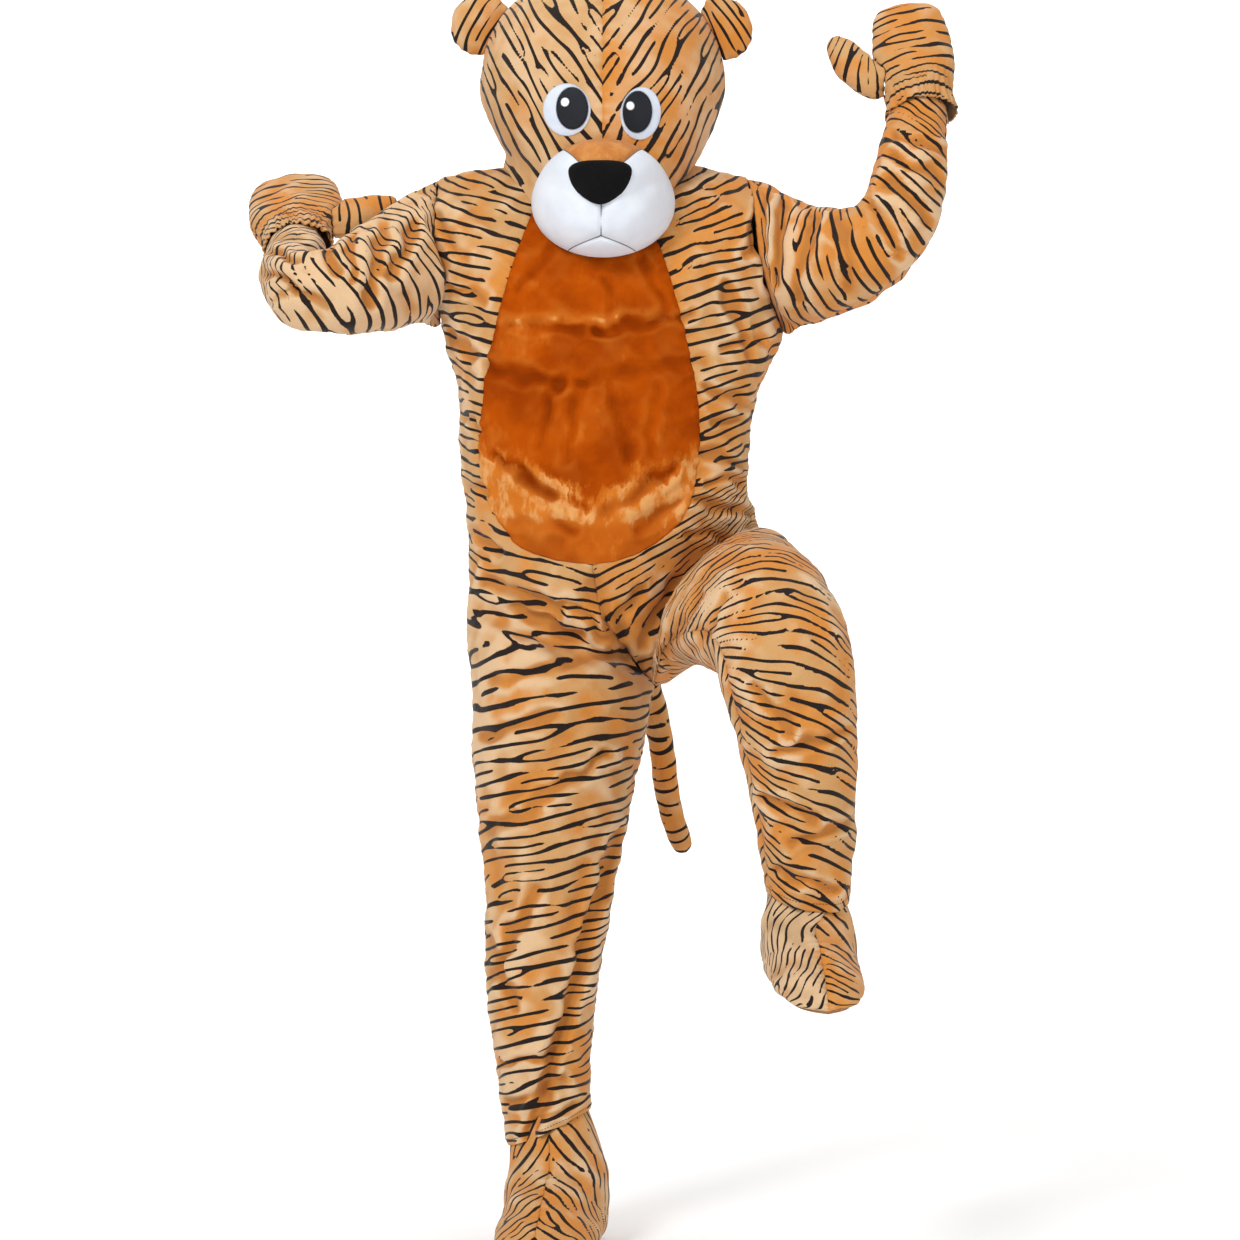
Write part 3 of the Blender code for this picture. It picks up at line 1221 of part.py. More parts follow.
def combined(name, pieces, place, **look):
    """Named object from a first box and a list of (operation, box) steps, put in place by a matrix."""
    body = box_object(name + "_form", *pieces[0])
    for index, (operation, extent) in enumerate(pieces[1:]):
        step = body.modifiers.new(operation, "BOOLEAN")
        step.operation = operation
        step.solver = "EXACT"
        step.object = box_object(f"{name}_step_{index}", *extent)
    graph = bpy.context.evaluated_depsgraph_get()
    mesh = bpy.data.meshes.new_from_object(body.evaluated_get(graph))
    mesh.transform(place)
    add_object(name, mesh, **look)


def zip_place():
    """Matrix of the slider: its X across, its Y up the zip and its Z away from the back."""
    points, normals = suit_frame(LEFT, BACK, np.array([SLIDER_ROW, SLIDER_ROW - 0.1]), np.zeros(2))
    normal = normals[0] * (0.0, 1.0, 1.0)
    normal = unit(normal)
    up = unit(np.array([0.0, -normal[2], normal[1]]))
    across = np.cross(up, normal)
    foot = points[0] + (ZIP_CHAIN + 2 * LIFT) * normal
    matrix = Matrix.Identity(4)
    for row in range(3):
        matrix[row][0], matrix[row][1], matrix[row][2] = across[row], up[row], normal[row]
        matrix[row][3] = foot[row]
    return matrix


def build_slider():
    place = zip_place()
    plate, arch_top = SLIDER["plate"], SLIDER["plate"] + ARCH["hole"] + ARCH["bar"]
    body = ((-SLIDER["half_width"], -SLIDER["half_length"], 0), (SLIDER["half_width"], SLIDER["half_length"], plate))
    arch = ((-ARCH["half_width"], -ARCH["half_length"], plate / 2), (ARCH["half_width"], ARCH["half_length"], arch_top))
    hole_half = ARCH["half_length"] - ARCH["bar"]
    hole = ((-0.01, -hole_half, plate), (0.01, hole_half, plate + ARCH["hole"]))
    combined("zip_slider", [body, ("UNION", arch), ("DIFFERENCE", hole)], place, **STEEL)
    pin_height = plate + ARCH["hole"] / 2
    swing = place @ Matrix.Translation((0, 0, pin_height)) @ Matrix.Rotation(-math.radians(TAB_LEAN), 4, "X")
    half, thick, pin = TAB["half_width"], TAB["thick"] / 2, TAB["pin"]
    plate_box = ((-half, -TAB["length"], -thick), (half, pin, thick))
    window = ((-half + TAB["rim"], -TAB["window"], -0.01), (half - TAB["rim"], -pin, 0.01))
    combined("zip_pull_tab", [plate_box, ("DIFFERENCE", window)], swing, **STEEL)


# ---------------------------------------------------------------- build

COLLECTION, CUTTERS = "tiger_mascot_costume", "tiger_mascot_costume_cutters"


def main():
    for obj in list(bpy.data.objects):
        bpy.data.objects.remove(obj, do_unlink=True)
    for name in (COLLECTION, CUTTERS):
        bpy.context.scene.collection.children.link(bpy.data.collections.new(name))
    build_suit_panels()
    build_tummy()
    build_sleeves()
    build_mittens()
    build_boots()
    build_head()
    skin = head_skin()
    build_muzzle([skin, muzzle_skin()])
    build_nose([skin, muzzle_skin()])
    build_eyes(skin)
    build_ears(skin)
    build_tail()
    build_zip()
    build_slider()


main()
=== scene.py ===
# %% [markdown]
# # Tiger mascot costume
#
# A mascot costume is a plush jumpsuit, a foam-backed head, mittens and covers for the feet. The real one
# is cut from flat cloth and sewn into tubes and shells, so every piece here is a surface that is worked
# out from a few short tables, sampled finely, creased, and given the thickness of the cloth.

import itertools
import math

import bmesh
import bpy
import numpy as np
from mathutils import Matrix, Vector
from mathutils.bvhtree import BVHTree


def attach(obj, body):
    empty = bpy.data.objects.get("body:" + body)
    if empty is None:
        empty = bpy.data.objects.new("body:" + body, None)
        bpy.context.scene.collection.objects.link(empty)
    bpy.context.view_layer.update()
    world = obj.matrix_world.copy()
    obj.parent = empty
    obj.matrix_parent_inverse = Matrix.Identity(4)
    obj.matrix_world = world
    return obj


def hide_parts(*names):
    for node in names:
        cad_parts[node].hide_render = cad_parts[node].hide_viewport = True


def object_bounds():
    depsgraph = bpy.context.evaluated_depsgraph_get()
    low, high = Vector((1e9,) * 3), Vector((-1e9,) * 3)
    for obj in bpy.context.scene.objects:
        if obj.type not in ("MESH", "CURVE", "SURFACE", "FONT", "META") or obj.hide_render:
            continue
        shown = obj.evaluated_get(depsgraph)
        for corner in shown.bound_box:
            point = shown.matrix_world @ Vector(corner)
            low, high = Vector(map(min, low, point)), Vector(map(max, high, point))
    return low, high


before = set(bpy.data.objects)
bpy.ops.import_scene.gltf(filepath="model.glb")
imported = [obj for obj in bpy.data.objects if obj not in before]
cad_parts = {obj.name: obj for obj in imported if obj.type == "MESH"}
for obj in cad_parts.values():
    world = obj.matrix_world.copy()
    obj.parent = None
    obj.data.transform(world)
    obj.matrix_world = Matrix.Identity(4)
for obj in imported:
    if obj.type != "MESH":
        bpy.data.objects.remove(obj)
cad_low, cad_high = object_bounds()
print("solids reach from", [round(v, 3) for v in cad_low], "to", [round(v, 3) for v in cad_high])

# %% [markdown]
# The costume is seen from the front, a little above its middle, through a long lens, so that it is hardly
# distorted. The paper behind it sweeps up from the floor, and wide lamps keep the plush free of hard
# shadows.

# %% Camera, paper and lamps
CAMERA_DISTANCE = 5.0
CAMERA_PLACE = (0.035, -CAMERA_DISTANCE, -0.616)
FRAME_WIDTH = 0.0014 * 1240  # metres across the picture at the costume
FLOOR_Z = cad_low.z
WHITE = (1.0, 1.0, 1.0, 1.0)


def linked(name, data):
    """New object in the scene."""
    obj = bpy.data.objects.new(name, data)
    bpy.context.scene.collection.objects.link(obj)
    return obj


camera_data = bpy.data.cameras.new("camera")
camera = linked("camera", camera_data)
camera.location = CAMERA_PLACE
camera.rotation_euler = (math.radians(90), 0.0, 0.0)
camera_data.lens = camera_data.sensor_width * CAMERA_DISTANCE / FRAME_WIDTH
camera_data.clip_end = 60.0
bpy.context.scene.camera = camera
bpy.context.scene.view_settings.view_transform = "Standard"

world = bpy.data.worlds.new("studio")
bpy.context.scene.world = world
world.use_nodes = True
background = world.node_tree.nodes["Background"].inputs
background["Color"].default_value = WHITE
background["Strength"].default_value = 0.60


def paper_sweep():
    """Pale paper: flat on the floor, then curving up behind the costume."""
    near_y, bend_y, bend, top_z, half_width = -9.0, 7.0, 2.0, 9.0, 14.0
    turns = np.linspace(0.1, math.pi / 2, 12)
    profile = [(near_y, 0.0), (bend_y, 0.0)]
    profile += [(bend_y + bend * math.sin(a), bend - bend * math.cos(a)) for a in turns]
    profile += [(bend_y + bend, top_z)]
    points = [(x, y, FLOOR_Z + z) for y, z in profile for x in (-half_width, half_width)]
    faces = [(2 * i, 2 * i + 1, 2 * i + 3, 2 * i + 2) for i in range(len(profile) - 1)]
    mesh = bpy.data.meshes.new("paper")
    mesh.from_pydata(points, [], faces)
    mesh.shade_smooth()
    paper = linked("paper", mesh)
    material = bpy.data.materials.new("paper")
    material.use_nodes = True
    shader = material.node_tree.nodes["Principled BSDF"]
    shader.inputs["Base Color"].default_value = (0.94, 0.94, 0.94, 1.0)
    shader.inputs["Roughness"].default_value = 1.0
    mesh.materials.append(material)


def lamp(name, place, aim, size, power):
    """Square soft lamp that points at a place."""
    data = bpy.data.lights.new(name, "AREA")
    data.size = size
    data.energy = power
    obj = linked(name, data)
    obj.location = place
    obj.rotation_euler = (Vector(aim) - Vector(place)).to_track_quat("-Z", "Y").to_euler()


paper_sweep()
lamp("key", (-2.2, -4.2, 2.4), (0.0, 0.0, -0.5), 1.5, 150)
lamp("fill", (3.2, -3.6, 0.6), (0.0, 0.0, -0.6), 2.6, 40)
lamp("top", (0.0, 0.8, 3.4), (0.0, 0.0, -0.5), 2.4, 40)
lamp("paper_wash", (0.0, 4.5, 5.0), (0.0, 9.0, 1.2), 4.0, 420)
print("camera, paper and lamps are ready")

# %% [markdown]
# ## Tables and smooth rows
#
# A pattern cutter writes a garment down as a short list of measurements. These helpers read such a list
# and run a smooth surface through its rows, which is called lofting.

# %% Helpers for tables and curves
def table(text):
    """Read a table: its first line names the columns and each other line is a row."""
    lines = [line.split() for line in text.strip().splitlines()]
    values = np.array([[float(word) for word in line] for line in lines[1:]])
    return dict(zip(lines[0], values.T))


def drawn_table(text):
    """Table of drawn lines in metres, from one in millimetres with depths in tenths of a millimetre."""
    units = {"face": 1, "depth": 10000}
    return {name: values / units.get(name, 1000) for name, values in table(text).items()}


def ease(t):
    """Smooth step from 0 to 1."""
    t = np.clip(t, 0.0, 1.0)
    return t * t * (3.0 - 2.0 * t)


def unit(vectors):
    """Vectors of length one; a zero vector stays zero."""
    length = np.linalg.norm(vectors, axis=-1, keepdims=True)
    return vectors / np.maximum(length, 1e-12)


def catmull_rom(before, here, there, after, f):
    """Point a share f of the way along a smooth curve from here to there."""
    return 0.5 * (
        2.0 * here
        + (there - before) * f
        + (2.0 * before - 5.0 * here + 4.0 * there - after) * f**2
        + (3.0 * here - before - 3.0 * there + after) * f**3
    )


def through_rows(row, count, u, mend=None):
    """Smooth surface through count rows: row(k) gives the points of the rows k, and u counts in rows."""
    k = np.clip(np.floor(u).astype(int), 0, count - 2)
    f = (u - k)[..., None]
    rows = [row(np.clip(k + step, 0, count - 1)) for step in (-1, 0, 1, 2)]
    if mend:
        rows = mend(k, rows)
    return catmull_rom(*rows, f)


def smooth_column(values, u):
    """Read a table's column between its rows."""
    column = np.asarray(values)[:, None]
    return through_rows(lambda k: column[k], len(column), np.asarray(u, float))[..., 0]


def from_segment(seen, start, end):
    """Distance of points from the straight line between two ends."""
    share = np.clip(((seen - start) @ (end - start)) / np.sum((end - start) ** 2), 0.0, 1.0)
    return np.linalg.norm(seen - start - share[..., None] * (end - start), axis=-1)


def surface_frame(surface, u, w, u_range, w_range, sign):
    """Points of surface(u, w) and its normals, sign choosing the side."""
    step = 0.01
    along = surface(np.minimum(u + step, u_range[1]), w) - surface(np.maximum(u - step, u_range[0]), w)
    across = surface(u, np.minimum(w + step, w_range[1])) - surface(u, np.maximum(w - step, w_range[0]))
    return surface(u, w), sign * unit(np.cross(along, across))


# %% [markdown]
# ## The costume's measurements
#
# All sizes are in metres. The wearer's left is toward +X and the front faces -Y. Heights count from the
# shoulder line. These are the sizes that the solids were built from, so the cloth lies where they do.

# %% Sides and thicknesses
RIGHT, LEFT = -1, 1  # the wearer's sides, as signs of X
FRONT, BACK = -1, 1  # as signs of Y
HAND = {RIGHT: "right", LEFT: "left"}
FACE = {FRONT: "front", BACK: "back"}
CROTCH = np.array([0.084, 0.010, -0.707])  # where both fronts and both backs meet
HEAD_WALL = 0.006  # wall of the foam-backed head
FELT = 0.0012  # eye pieces
LIFT = 0.0003  # clearance under a piece that lies on another
MUZZLE_EDGE = 0.004  # thickness of the muzzle at its sewn rim
ZIP_HALF = 0.006  # half width of the visible zip
ZIP_END_ROW = 13.0  # the zip runs from the neckline down to this row

# %% Trunk and legs
# Rows of the trunk from the neckline down to the hip. A row runs from the centre line to its end on the
# shoulder seam, armhole or side seam. sweep is the share of a quarter oval that it runs through, end_y is
# how far its end stands in front of (or behind) the shoulder line, and turn moves it as the trunk twists.
TORSO = table("""
front_x front_y front_z back_x back_y  back_z right_x right_z  left_x left_z  end_y sweep   turn
 -0.002  -0.088  -0.062  0.012  0.086  -0.004  -0.088   0.024   0.104  0.024  0.000  1.00  0.000
 -0.003  -0.108  -0.086  0.010  0.108  -0.024  -0.128   0.019   0.139  0.019  0.000  1.00  0.000
 -0.004  -0.119  -0.108  0.008  0.119  -0.048  -0.172   0.011   0.176  0.011  0.000  0.98  0.000
 -0.005  -0.127  -0.131  0.007  0.126  -0.074  -0.217   0.000   0.212  0.002  0.000  0.88  0.000
 -0.006  -0.133  -0.155  0.007  0.130  -0.102  -0.220  -0.030   0.217 -0.026  0.050  0.74  0.000
 -0.007  -0.137  -0.180  0.008  0.132  -0.131  -0.221  -0.072   0.222 -0.070  0.078  0.64  0.000
 -0.007  -0.140  -0.206  0.010  0.133  -0.160  -0.220  -0.118   0.228 -0.118  0.082  0.62  0.000
 -0.007  -0.142  -0.232  0.012  0.133  -0.190  -0.218  -0.164   0.243 -0.170  0.060  0.70  0.002
 -0.007  -0.144  -0.260  0.014  0.132  -0.222  -0.216  -0.204   0.262 -0.216  0.000  0.90  0.006
 -0.007  -0.146  -0.292  0.017  0.131  -0.262  -0.205  -0.244   0.249 -0.252  0.000  1.00  0.012
 -0.007  -0.148  -0.330  0.020  0.130  -0.306  -0.193  -0.294   0.231 -0.289  0.000  1.00  0.020
 -0.007  -0.150  -0.375  0.023  0.130  -0.356  -0.191  -0.350   0.219 -0.330  0.000  1.00  0.022
 -0.007  -0.151  -0.425  0.027  0.133  -0.410  -0.187  -0.410   0.215 -0.374  0.000  1.00  0.022
 -0.006  -0.150  -0.478  0.031  0.139  -0.468  -0.181  -0.466   0.213 -0.402  0.000  1.00  0.018
 -0.003  -0.143  -0.530  0.034  0.146  -0.530  -0.178  -0.516   0.213 -0.424  0.000  1.00  0.012
  0.004  -0.126  -0.585  0.038  0.148  -0.592  -0.177  -0.553   0.216 -0.442  0.000  1.00  0.006
  0.022  -0.098  -0.636  0.050  0.132  -0.650  -0.178  -0.592   0.224 -0.460  0.000  1.00  0.000
""")
SHOULDER_ROW, UNDERARM_ROW = 3, 8  # the armhole lies between these rows

# Sections of the legs from the crotch down to the hem: centre, half width and half depth. turn swings the
# section's outer side backward, lift raises it, and rise tips the section's front side upward (degrees).
LEG = {
    RIGHT: table("""
    x      y      z      half_width half_depth turn lift rise
   -0.046  0.000 -0.655  0.136      0.135      0    14    0
   -0.050  0.004 -0.752  0.123      0.126      0    9     0
   -0.056  0.006 -0.820  0.116      0.116      0    3     0
   -0.059  0.006 -0.900  0.104      0.107      0    0     0
   -0.064  0.008 -1.000  0.090      0.096      0    0     0
   -0.072  0.010 -1.100  0.0815     0.088      0    0     0
   -0.074  0.012 -1.190  0.0715     0.079      0   -4     0
   -0.070  0.012 -1.262  0.0655     0.072      0   -12    0
   -0.0645 0.010 -1.325  0.0640     0.069      0   -24    0
"""),
    LEFT: table("""
    x      y      z      half_width half_depth turn lift rise
    0.157  0.000 -0.591  0.132      0.118      0    56    25
    0.180 -0.092 -0.584  0.115      0.104      12   40    52
    0.209 -0.180 -0.598  0.101      0.096      20   21    74
    0.233 -0.252 -0.620  0.094      0.096      26   8     66
    0.250 -0.294 -0.664  0.091      0.090      27   0     32
    0.260 -0.290 -0.720  0.088      0.083      27   0     2
    0.272 -0.262 -0.802  0.079      0.075      27   0    -17
    0.281 -0.232 -0.885  0.069      0.069      27   0    -20
    0.286 -0.198 -0.985  0.057      0.060      27   0    -20
"""),
}
TORSO_ROWS = len(TORSO["front_z"])
SUIT_ROWS = TORSO_ROWS + len(LEG[RIGHT]["x"])
CROTCH_FADE = 0.3  # share of a row over which the legs part smoothly at the crotch

# The tummy panel's egg outline, seen from the front
EGG_TOP_Z, EGG_TOP_HALF = -0.080, 0.088
EGG_WIDEST_Z, EGG_HALF = -0.370, 0.1535
EGG_BOTTOM_Z = -0.540
EGG_CLOSE_ROWS, EGG_CLOSE_POWER = 0.7, 1.9  # its sides meet over these rows, in a round curve

# The largest folds, seen from the front: from one end to the other and how wide, in millimetres, and how
# deep in tenths of one (a trough is negative). face is the side of the suit: -1 front, 1 back.
FOLDS = drawn_table("""
face x0 z0 x1 z1 width depth
-1 -140  -540  -30  -665 22 -80
-1    0  -565   60  -690 18 -80
-1  170  -360   90  -480 20 -60
-1  150  -520   60  -640 22 -70
-1  -10  -960  -60 -1270 20 -80
-1 -150  -930 -110 -1130 20 -50
-1  -20  -760 -110  -860 22 -60
-1  240  -720  290  -800 18 -60
-1  250  -870  310  -930 16 -50
 1 -140  -480   60  -440 24 -80
 1  170  -560   60  -640 22 -80
 1 -140  -620   30  -680 22 -80
 1 -110  -820  -10  -900 22 -60
 1 -100 -1050  -60 -1240 20 -60
""")

# %% Arms, mittens and boots
ARM = {
    RIGHT: table("""
    x      y      z      half_up half_side
   -0.217  0.000 -0.095  0.098   0.080
   -0.262 -0.052 -0.124  0.081   0.074
   -0.303 -0.104 -0.150  0.073   0.066
   -0.346 -0.154 -0.168  0.060   0.046
   -0.396 -0.156 -0.168  0.053   0.042
   -0.419 -0.110 -0.148  0.047   0.038
   -0.416 -0.066 -0.128  0.045   0.042
   -0.415 -0.034 -0.112  0.0420  0.0420
   -0.416 -0.008 -0.097  0.0399  0.0399
"""),
    LEFT: table("""
    x      y      z      half_up half_side
    0.238  0.000 -0.108  0.098   0.080
    0.292 -0.040 -0.122  0.082   0.077
    0.340 -0.077 -0.118  0.071   0.070
    0.384 -0.106 -0.100  0.060   0.064
    0.416 -0.118 -0.066  0.054   0.060
    0.430 -0.110 -0.020  0.052   0.057
    0.438 -0.092  0.028  0.048   0.050
    0.445 -0.073  0.066  0.040   0.040
    0.449 -0.060  0.092  0.0375  0.0375
"""),
}
SLEEVE_BLEND = 1.2  # rows over which the armhole's shape turns into the arm's

# Sections of a mitten from the end of its frill, past the elastic at z = 0, to the tip
MITTEN = table("""
 z      half_width half_thick gather
-0.020  0.0500     0.0480     0.0030
-0.009  0.0480     0.0462     0.0024
 0.000  0.0470     0.0452     0.0020
 0.014  0.0480     0.0440     0.0018
 0.032  0.0515     0.0400     0.0010
 0.050  0.0540     0.0370     0.0004
 0.068  0.0560     0.0340     0.0000
 0.086  0.0565     0.0320     0.0000
 0.108  0.0560     0.0290     0.0000
 0.132  0.0540     0.0250     0.0000
 0.156  0.0490     0.0200     0.0000
 0.174  0.0370     0.0130     0.0000
 0.184  0.0000     0.0000     0.0000
""")
THUMB_ROWS = (3, 7)  # the thumb's opening lies between these rows
THUMB_OPEN = 0.20  # half of the opening, as a share of a half's width
THUMB_BLEND = 1.5  # rows over which the opening's shape turns into the thumb's

# Sections of the thumbs from the opening's middle: outward and toward the fingertips, and tipped (degrees)
THUMB = {
    RIGHT: table("""
    out    forward tilt half_up half_side
    0.000  0.000   0    0.040   0.0200
    0.012  0.003   4    0.040   0.0220
    0.028  0.009   10   0.036   0.0230
    0.046  0.016   16   0.030   0.0220
    0.062  0.023   18   0.024   0.0190
    0.076  0.030   20   0.017   0.0150
    0.085  0.036   20   0.010   0.0090
    0.088  0.038   20   0.000   0.0000
"""),
    LEFT: table("""
    out    forward tilt half_up half_side
    0.000  0.000   0    0.034   0.0200
    0.011  0.002   0    0.034   0.0215
    0.023  0.010   18   0.031   0.0220
    0.035  0.022   36   0.028   0.0220
    0.046  0.038   48   0.025   0.0200
    0.054  0.055   54   0.019   0.0150
    0.060  0.068   54   0.011   0.0090
    0.062  0.073   54   0.000   0.0000
"""),
}

# Where each mitten is: its wrist, where its fingers point and its thumb side faces, and its width and length
# against the table
HANDS = {
    RIGHT: {
        "wrist": (-0.416, 0.002, -0.090), "fingers": (-0.10, 0.80, 0.60), "thumb": (0.99, 0.05, 0.12),
        "width": 1.2, "length": 1.0,
    },
    LEFT: {
        "wrist": (0.450, -0.055, 0.101), "fingers": (-0.085, 0.40, 0.90), "thumb": (-0.99, 0.05, 0.02),
        "width": 1.0, "length": 0.88,
    },
}
FAN_Z = (0.0, 0.06)  # a mitten widens between these distances from the wrist

# Rows of a boot half from the ankle to the toe. Each runs from the instep seam round the side to the heel
# seam or, where end_x is above zero, to the sole's edge. The toe points to -Y and z = 0 is the floor.
BOOT = table("""
front_y front_z back_y back_z half_width end_x
-0.090  0.122   0.073  0.100  0.0690     0.000
-0.118  0.104   0.079  0.055  0.0710     0.000
-0.134  0.097   0.079  0.006  0.0715     0.000
-0.146  0.090   0.070  0.006  0.0715     0.028
-0.163  0.079   0.045  0.006  0.0715     0.044
-0.180  0.069   0.000  0.006  0.0715     0.049
-0.196  0.058  -0.060  0.006  0.0700     0.052
-0.209  0.046  -0.115  0.006  0.0660     0.053
-0.219  0.033  -0.165  0.006  0.0570     0.046
-0.226  0.019  -0.205  0.006  0.0400     0.031
-0.230  0.006  -0.230  0.006  0.0000     0.000
""")
SHAFT = table("""
leg_row inset
7.55    0.0110
7.80    0.0090
8.00    0.0045
""")  # rows of the leg that a boot's top follows from inside, and how far inside
SOLE_ROW = 2  # the first of the boot's rows that ends on the sole
SOLE_THICK = 0.0057

# Where each boot stands: the floor point under its ankle, the way its toe turns toward the wearer's left and
# points down (degrees), and its size against the table, across, along and up
FEET = {
    RIGHT: {"floor": (-0.050, 0.004, -1.490), "turn": -8, "pitch": 0, "size": (1.0, 1.0, 1.0)},
    LEFT: {"floor": (0.286, -0.172, -1.098), "turn": 5, "pitch": 8, "size": (0.88, 0.92, 0.72)},
}

# %% Head, face, ears and tail
HEAD_X = 0.011
# Rings of the head from the crown down: heights at its sides, front and back, and its half sizes
HEAD = table("""
side_z front_z back_z half_x front_y back_y
0.292  0.292   0.292  0.000  0.000   0.000
0.286  0.285   0.286  0.052  0.048   0.052
0.266  0.263   0.266  0.098  0.091   0.096
0.236  0.228   0.236  0.134  0.124   0.129
0.200  0.186   0.200  0.157  0.147   0.152
0.160  0.139   0.158  0.169  0.159   0.164
0.120  0.090   0.112  0.171  0.162   0.167
0.086  0.042   0.068  0.161  0.158   0.161
0.056 -0.006   0.030  0.147  0.147   0.147
0.036 -0.048   0.002  0.137  0.129   0.128
-0.030 -0.150  -0.060 0.142  0.135   0.128
""")
UNDER_RING = 10  # the last ring only carries the muzzle below the head; the head itself ends on the suit
RIM_ROW, RIM_NEXT_ROW = 1.0, 0.0  # the head's lower edge rests on the suit between these rows
RIM_WIDTH = 0.2  # share of the way between them that the edge covers
HEAD_ROWS = UNDER_RING + 1

MUZZLE_X, MUZZLE_Z = 0.012, -0.0433
MUZZLE_HALF_X, MUZZLE_HALF_Z = 0.0986, 0.0788
MUZZLE_DEPTH = 0.084
MUZZLE_SEAT = 0.0011  # clearance behind the muzzle, whose cells span the rounded head
NOSE_SEAT = 0.0014  # and behind the nose
APEX = np.array([0.010, -0.034])  # where the muzzle's seams meet, under the nose
MOUTH = np.array([0.0095, -0.0986])  # top of the upside-down Y's legs
BRIDGE_ANGLES = (123.5, 57.5)  # where the nose bridge's sides meet the muzzle's rim (degrees)
MOUTH_ANGLES = (-119.0, -63.0)  # and where the mouth lines do

# The nose's outline about its centre, clockwise from the top
NOSE_CENTRE = (0.0084, -0.0270)
NOSE_OUTLINE = table("""
 x       z
 0.0000  0.0245
 0.0220  0.0240
 0.0365  0.0200
 0.0410  0.0110
 0.0350 -0.0070
 0.0200 -0.0240
 0.0000 -0.0325
-0.0200 -0.0240
-0.0350 -0.0070
-0.0410  0.0110
-0.0365  0.0200
-0.0220  0.0240
""")
NOSE_PAD = 0.006

# Sewn-on eye pieces: centre, half sizes and tilt (degrees, top leaning to -X), seen from the front
EYES = {
    "eye_white_right": {"centre": (-0.0370, 0.0766), "half": (0.0312, 0.0345), "tilt": 14},
    "eye_white_left": {"centre": (0.0628, 0.0718), "half": (0.0262, 0.0345), "tilt": -10},
    "pupil_right": {"centre": (-0.0293, 0.0780), "half": (0.0208, 0.0276), "tilt": 4},
    "pupil_left": {"centre": (0.0580, 0.0735), "half": (0.0190, 0.0272), "tilt": -5},
    "highlight_right": {"centre": (-0.0385, 0.0862), "half": (0.0048, 0.0050), "tilt": 0},
    "highlight_left": {"centre": (0.0482, 0.0808), "half": (0.0046, 0.0048), "tilt": 0},
}
# Each kind's place in the stack, and its felt
EYE_LAYERS = {"eye_white": (0, "felt_white"), "pupil": (1, "felt_dark"), "highlight": (2, "felt_spark")}

EAR = table("""
along  half_up half_side
0.000  0.0380  0.0120
0.016  0.0450  0.0170
0.034  0.0450  0.0190
0.050  0.0370  0.0170
0.062  0.0220  0.0110
0.068  0.0000  0.0000
""")
EARS = {
    RIGHT: {"base": (-0.137, -0.006, 0.205), "axis": (-0.88, 0.0, 0.48)},
    LEFT: {"base": (0.158, -0.006, 0.197), "axis": (0.82, 0.0, 0.58)},
}
SEAT = 0.0007  # clearance of a stuffed piece's base, which spans a rounded surface
SEAT_FADE = 3.0  # rows over which a stuffed piece takes up the form of its seat

TAIL = table("""
x     y      z      half_up half_side
0.030 0.135 -0.560 0.0190  0.0190
0.034 0.176 -0.585 0.0195  0.0195
0.050 0.212 -0.640 0.0195  0.0195
0.076 0.226 -0.715 0.0190  0.0190
0.094 0.226 -0.790 0.0185  0.0185
0.101 0.222 -0.850 0.0180  0.0180
0.112 0.216 -0.905 0.0175  0.0175
0.127 0.210 -0.945 0.0140  0.0140
0.132 0.208 -0.955 0.0000  0.0000
""")

ZIP_CHAIN = 0.0012  # height of the closed teeth above the tape
ZIP_CHAIN_ROW = 1.3  # the teeth lie flat above this row, under the head's rim

# %% [markdown]
# ## Surfaces of the trunk and legs
#
# A row of the trunk is a share of a quarter oval, from the centre line out to the side. A section of a
# leg is an oval. A smooth curve runs through the rows, so any point of the suit is known from its row and
# its share across.

# %% Trunk and leg surfaces
def torso_row(side, face, k, w):
    """Points of the trunk rows k, w running from the centre line (0) to the row's end (1)."""
    x0, y0, z0 = (TORSO[f"{FACE[face]}_{axis}"][k] for axis in "xyz")
    x1, z1 = (TORSO[f"{HAND[side]}_{axis}"][k] for axis in "xz")
    y1 = face * TORSO["end_y"][k] - side * TORSO["turn"][k]
    full = TORSO["sweep"][k] * math.pi / 2
    across = np.sin(full * w) / np.sin(full)
    round_to_side = (1.0 - np.cos(full * w)) / (1.0 - np.cos(full))
    places = x0 + (x1 - x0) * across, y0 + (y1 - y0) * round_to_side, z0 + (z1 - z0) * ease(w)
    return np.stack(places, axis=-1)


def leg_axes(side, k):
    """Outward and forward unit vectors of the leg sections k."""
    leg = LEG[side]
    turn, lift, rise = (np.radians(smooth_column(leg[name], k)) for name in ("turn", "lift", "rise"))
    out_x, out_y = side * np.cos(turn), np.sin(turn)
    outward = np.stack([out_x * np.cos(lift), out_y * np.cos(lift), np.sin(lift)], axis=-1)
    front_x, front_y = side * np.sin(turn), -np.cos(turn)
    forward = np.stack([front_x * np.cos(rise), front_y * np.cos(rise), np.sin(rise)], axis=-1)
    forward -= np.sum(forward * outward, axis=-1, keepdims=True) * outward
    return outward, unit(forward)


def leg_row(side, face, k, w):
    """Points of the leg sections k, w running from the inseam (0) round to the side seam (1)."""
    leg = LEG[side]
    outward, forward = leg_axes(side, k)
    half_width, half_depth = (leg[name][k][..., None] for name in ("half_width", "half_depth"))
    centre = np.stack([leg[axis][k] for axis in "xyz"], axis=-1)
    centre = np.where((k == 0)[..., None], CROTCH + half_width * outward, centre)
    angle = (math.pi * w)[..., None]
    return centre - half_width * np.cos(angle) * outward - face * half_depth * np.sin(angle) * forward


